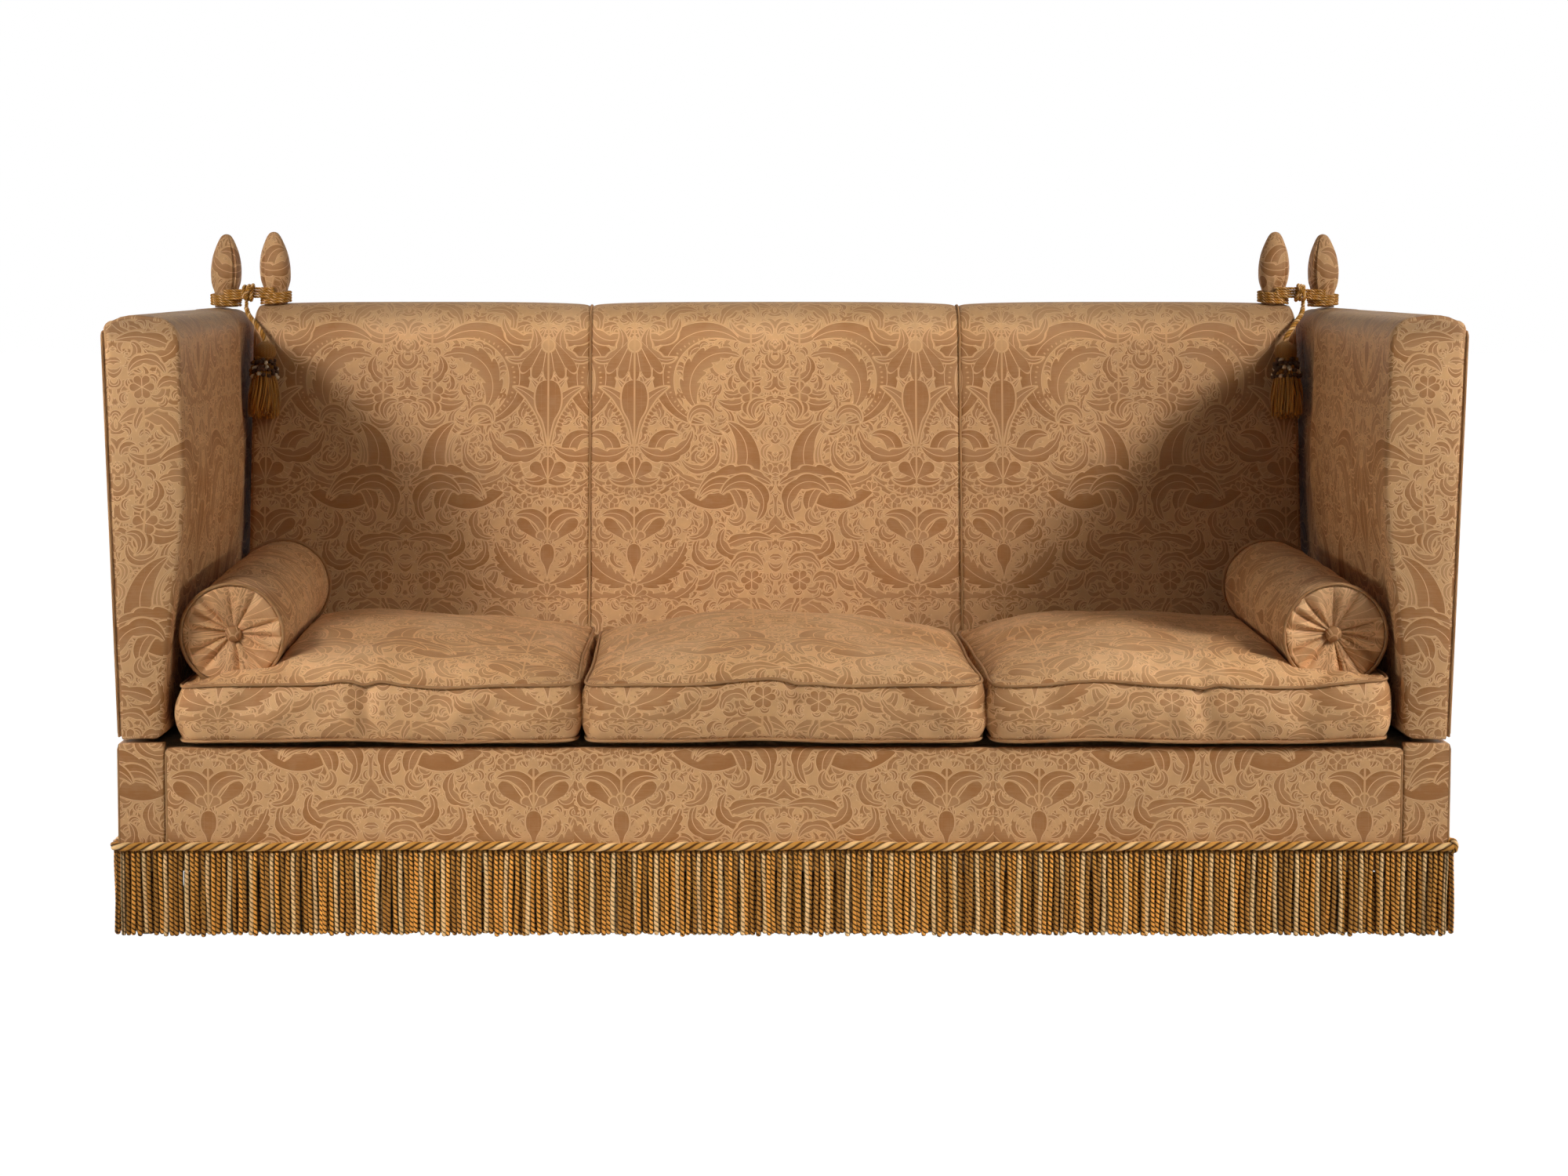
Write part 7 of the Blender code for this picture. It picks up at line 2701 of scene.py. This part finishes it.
class HiddenFrame:
    """The solids that keep their own shape: wood, webbing, hinges and feet."""

    wood = ("rail", "post")

    @classmethod
    def build(cls, nodes: dict[str, Piece]) -> None:
        """Gives each kept node its finish.

        Args:
            nodes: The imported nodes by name.
        """
        for name, node in nodes.items():
            finish = None
            if name.endswith(cls.wood):
                finish = Finishes.wood("beech_planed", SHADES.beech, 0.5)
            elif name.endswith("foot"):
                finish = Finishes.wood("walnut_waxed", SHADES.walnut, 0.32)
            elif name.endswith("leaf"):
                finish = Finishes.steel()
            elif name == "seat_webbing":
                finish = Finishes.sacking("jute_webbing_weave", SHADES.jute, 0.0030)
            if finish:
                node.data.materials.clear()
                node.data.materials.append(finish)


class Studio:
    """The pale floor, the soft lights and the camera at the photograph's angle."""

    lens, sensor_width = 62.37, 36.0
    shift_x, shift_y = 0.0415, -0.0845
    eye = (-0.109, -4.9605, 1.128)
    pitch = math.radians(86)
    floor_size = 60.0
    floor_white, glow, glow_share = 0.88, 1.04, 0.975
    world_light = 0.012
    key_places = {Hand.LEFT: (-3.1, -3.4, 2.9), Hand.RIGHT: (3.9, -2.9, 3.5)}
    key_gains = {Hand.LEFT: 1.0, Hand.RIGHT: 1.22}

    @classmethod
    def camera(cls) -> None:
        """Sets the camera."""
        data = bpy.data.cameras.new("studio_camera")
        data.lens, data.sensor_width = cls.lens, cls.sensor_width
        data.shift_x, data.shift_y = cls.shift_x, cls.shift_y
        camera = stand("studio_camera", data)
        camera.location = cls.eye
        camera.rotation_euler = (cls.pitch, 0.0, 0.0)
        bpy.context.scene.camera = camera

    @classmethod
    def floor(cls) -> None:
        """Lays a wide white floor that keeps the sofa's soft shadow."""
        bpy.ops.mesh.primitive_plane_add(size=cls.floor_size)
        floor = bpy.context.object
        floor.name = "studio_floor"
        material = bpy.data.materials.new("white_floor")
        material.use_nodes = True
        w = Wiring(material.node_tree)
        tree = material.node_tree
        tree.nodes.remove(tree.nodes["Principled BSDF"])
        white = (cls.floor_white, cls.floor_white, cls.floor_white)
        diffuse = w.wired("ShaderNodeBsdfDiffuse", {"Color": opaque(white)})
        glow = w.wired("ShaderNodeEmission", {"Strength": cls.glow})
        path = w.node("ShaderNodeLightPath")
        seen = w.math("MAXIMUM", path.outputs["Is Camera Ray"], path.outputs["Is Glossy Ray"])
        x, y, _ = w.split(w.place())
        inside = w.times(
            w.below(w.absolute(x), PLAN.half_width - 0.03), w.below(w.absolute(y), PLAN.depth / 2 - 0.04)
        )
        shown = w.times(w.times(seen, cls.glow_share), w.less(1.0, inside))
        mix = w.wired("ShaderNodeMixShader", {0: shown, 1: diffuse.outputs[0], 2: glow.outputs[0]})
        w.feed(tree.nodes["Material Output"].inputs["Surface"], mix.outputs[0])
        floor.data.materials.append(material)

    @classmethod
    def world(cls) -> None:
        """Sets a plain pale world that is white to the camera."""
        world = bpy.data.worlds.new("studio_world")
        world.use_nodes = True
        bpy.context.scene.world = world
        w = Wiring(world.node_tree)
        back = world.node_tree.nodes["Background"]
        back.inputs["Color"].default_value = (1.0, 1.0, 1.0, 1.0)
        path = w.node("ShaderNodeLightPath")
        seen = w.math("MAXIMUM", path.outputs["Is Camera Ray"], path.outputs["Is Glossy Ray"])
        w.feed(back.inputs["Strength"], w.blend(seen, cls.world_light, 1.0))

    @staticmethod
    def light(name: str, place: Spot, aim: Spot, size: float, power: float, spread: float) -> None:
        """Adds one soft light behind a grid.

        Args:
            name: Its name.
            place: Where it stands.
            aim: What it faces.
            size: Its width.
            power: Its power in watts.
            spread: The angle that its grid lets through, in degrees.
        """
        data = bpy.data.lights.new(name, "AREA")
        data.shape, data.size, data.energy, data.spread = "DISK", size, power, math.radians(spread)
        lamp = stand(name, data)
        lamp.location = place
        lamp.rotation_euler = (Vector(aim) - Vector(place)).to_track_quat("-Z", "Y").to_euler()

    @classmethod
    def build(cls) -> None:
        """Sets up the whole studio."""
        scene = bpy.context.scene
        scene.view_settings.view_transform = "Standard"
        cls.camera()
        cls.floor()
        cls.world()
        for hand in Hand:
            side, word, place, gain = hand.value, hand.word, cls.key_places[hand], cls.key_gains[hand]
            high, low = (side * 0.62, 0.25, 1.20), (side * 0.62, -0.62, 0.00)
            cls.light(f"{word}_key_high", place, high, size=1.3, power=3.9 * gain, spread=21.0)
            cls.light(f"{word}_key_low", place, low, size=1.3, power=4.1 * gain, spread=23.0)
            place, aim = (side * 3.2, -1.1, 0.95), (side * -1.0, -0.3, 0.8)
            cls.light(f"{word}_side", place, aim, size=0.6, power=3.4, spread=60.0)
            place, aim = (side * 2.8, 4.2, 0.85), (side * 0.45, 0.47, 0.45)
            cls.light(f"{word}_rear", place, aim, size=2.0, power=7.0, spread=44.0)
        cls.light("front", (0.0, -4.4, 2.0), (0.0, 0.0, 0.5), size=2.0, power=0.10, spread=120.0)


def cushions() -> list[SeatCushion]:
    """Lays out the three seat cushions, as the solids have them."""
    end = PLAN.seat_half - 0.020
    width = (2 * end - 0.006) / 3
    made = (
        ("left", Body.LEFT_CUSHION, {"axis": -0.712, "pucker": -0.700, "seed": 3, "trough": -1}),
        ("middle", Body.MIDDLE_CUSHION, {"axis": 0.0, "pucker": 0.015, "seed": 5, "trough": 0}),
        ("right", Body.RIGHT_CUSHION, {"axis": 0.712, "pucker": 0.705, "seed": 8, "trough": 1}),
    )
    lows = [-end + i * (width + 0.003) for i in range(3)]
    return [SeatCushion(word, low, low + width, body, **rest) for low, (word, body, rest) in zip(lows, made)]


def main() -> None:
    """Loads the solids and dresses them."""
    logging.basicConfig(level=logging.INFO, format="%(name)s: %(message)s")
    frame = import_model()
    Studio.build()
    for hand in Hand:
        TieCords(hand).build()
    PaddedBack().build()
    for hand in Hand:
        DropArm(hand).build()
        Finials(hand).build()
    BaseCovers().build()
    for cushion in cushions():
        cushion.build()
    for hand in Hand:
        Bolster(hand).build()
    Trim().build()
    HiddenFrame.build(frame["nodes"])


if __name__ == "__main__":
    main()
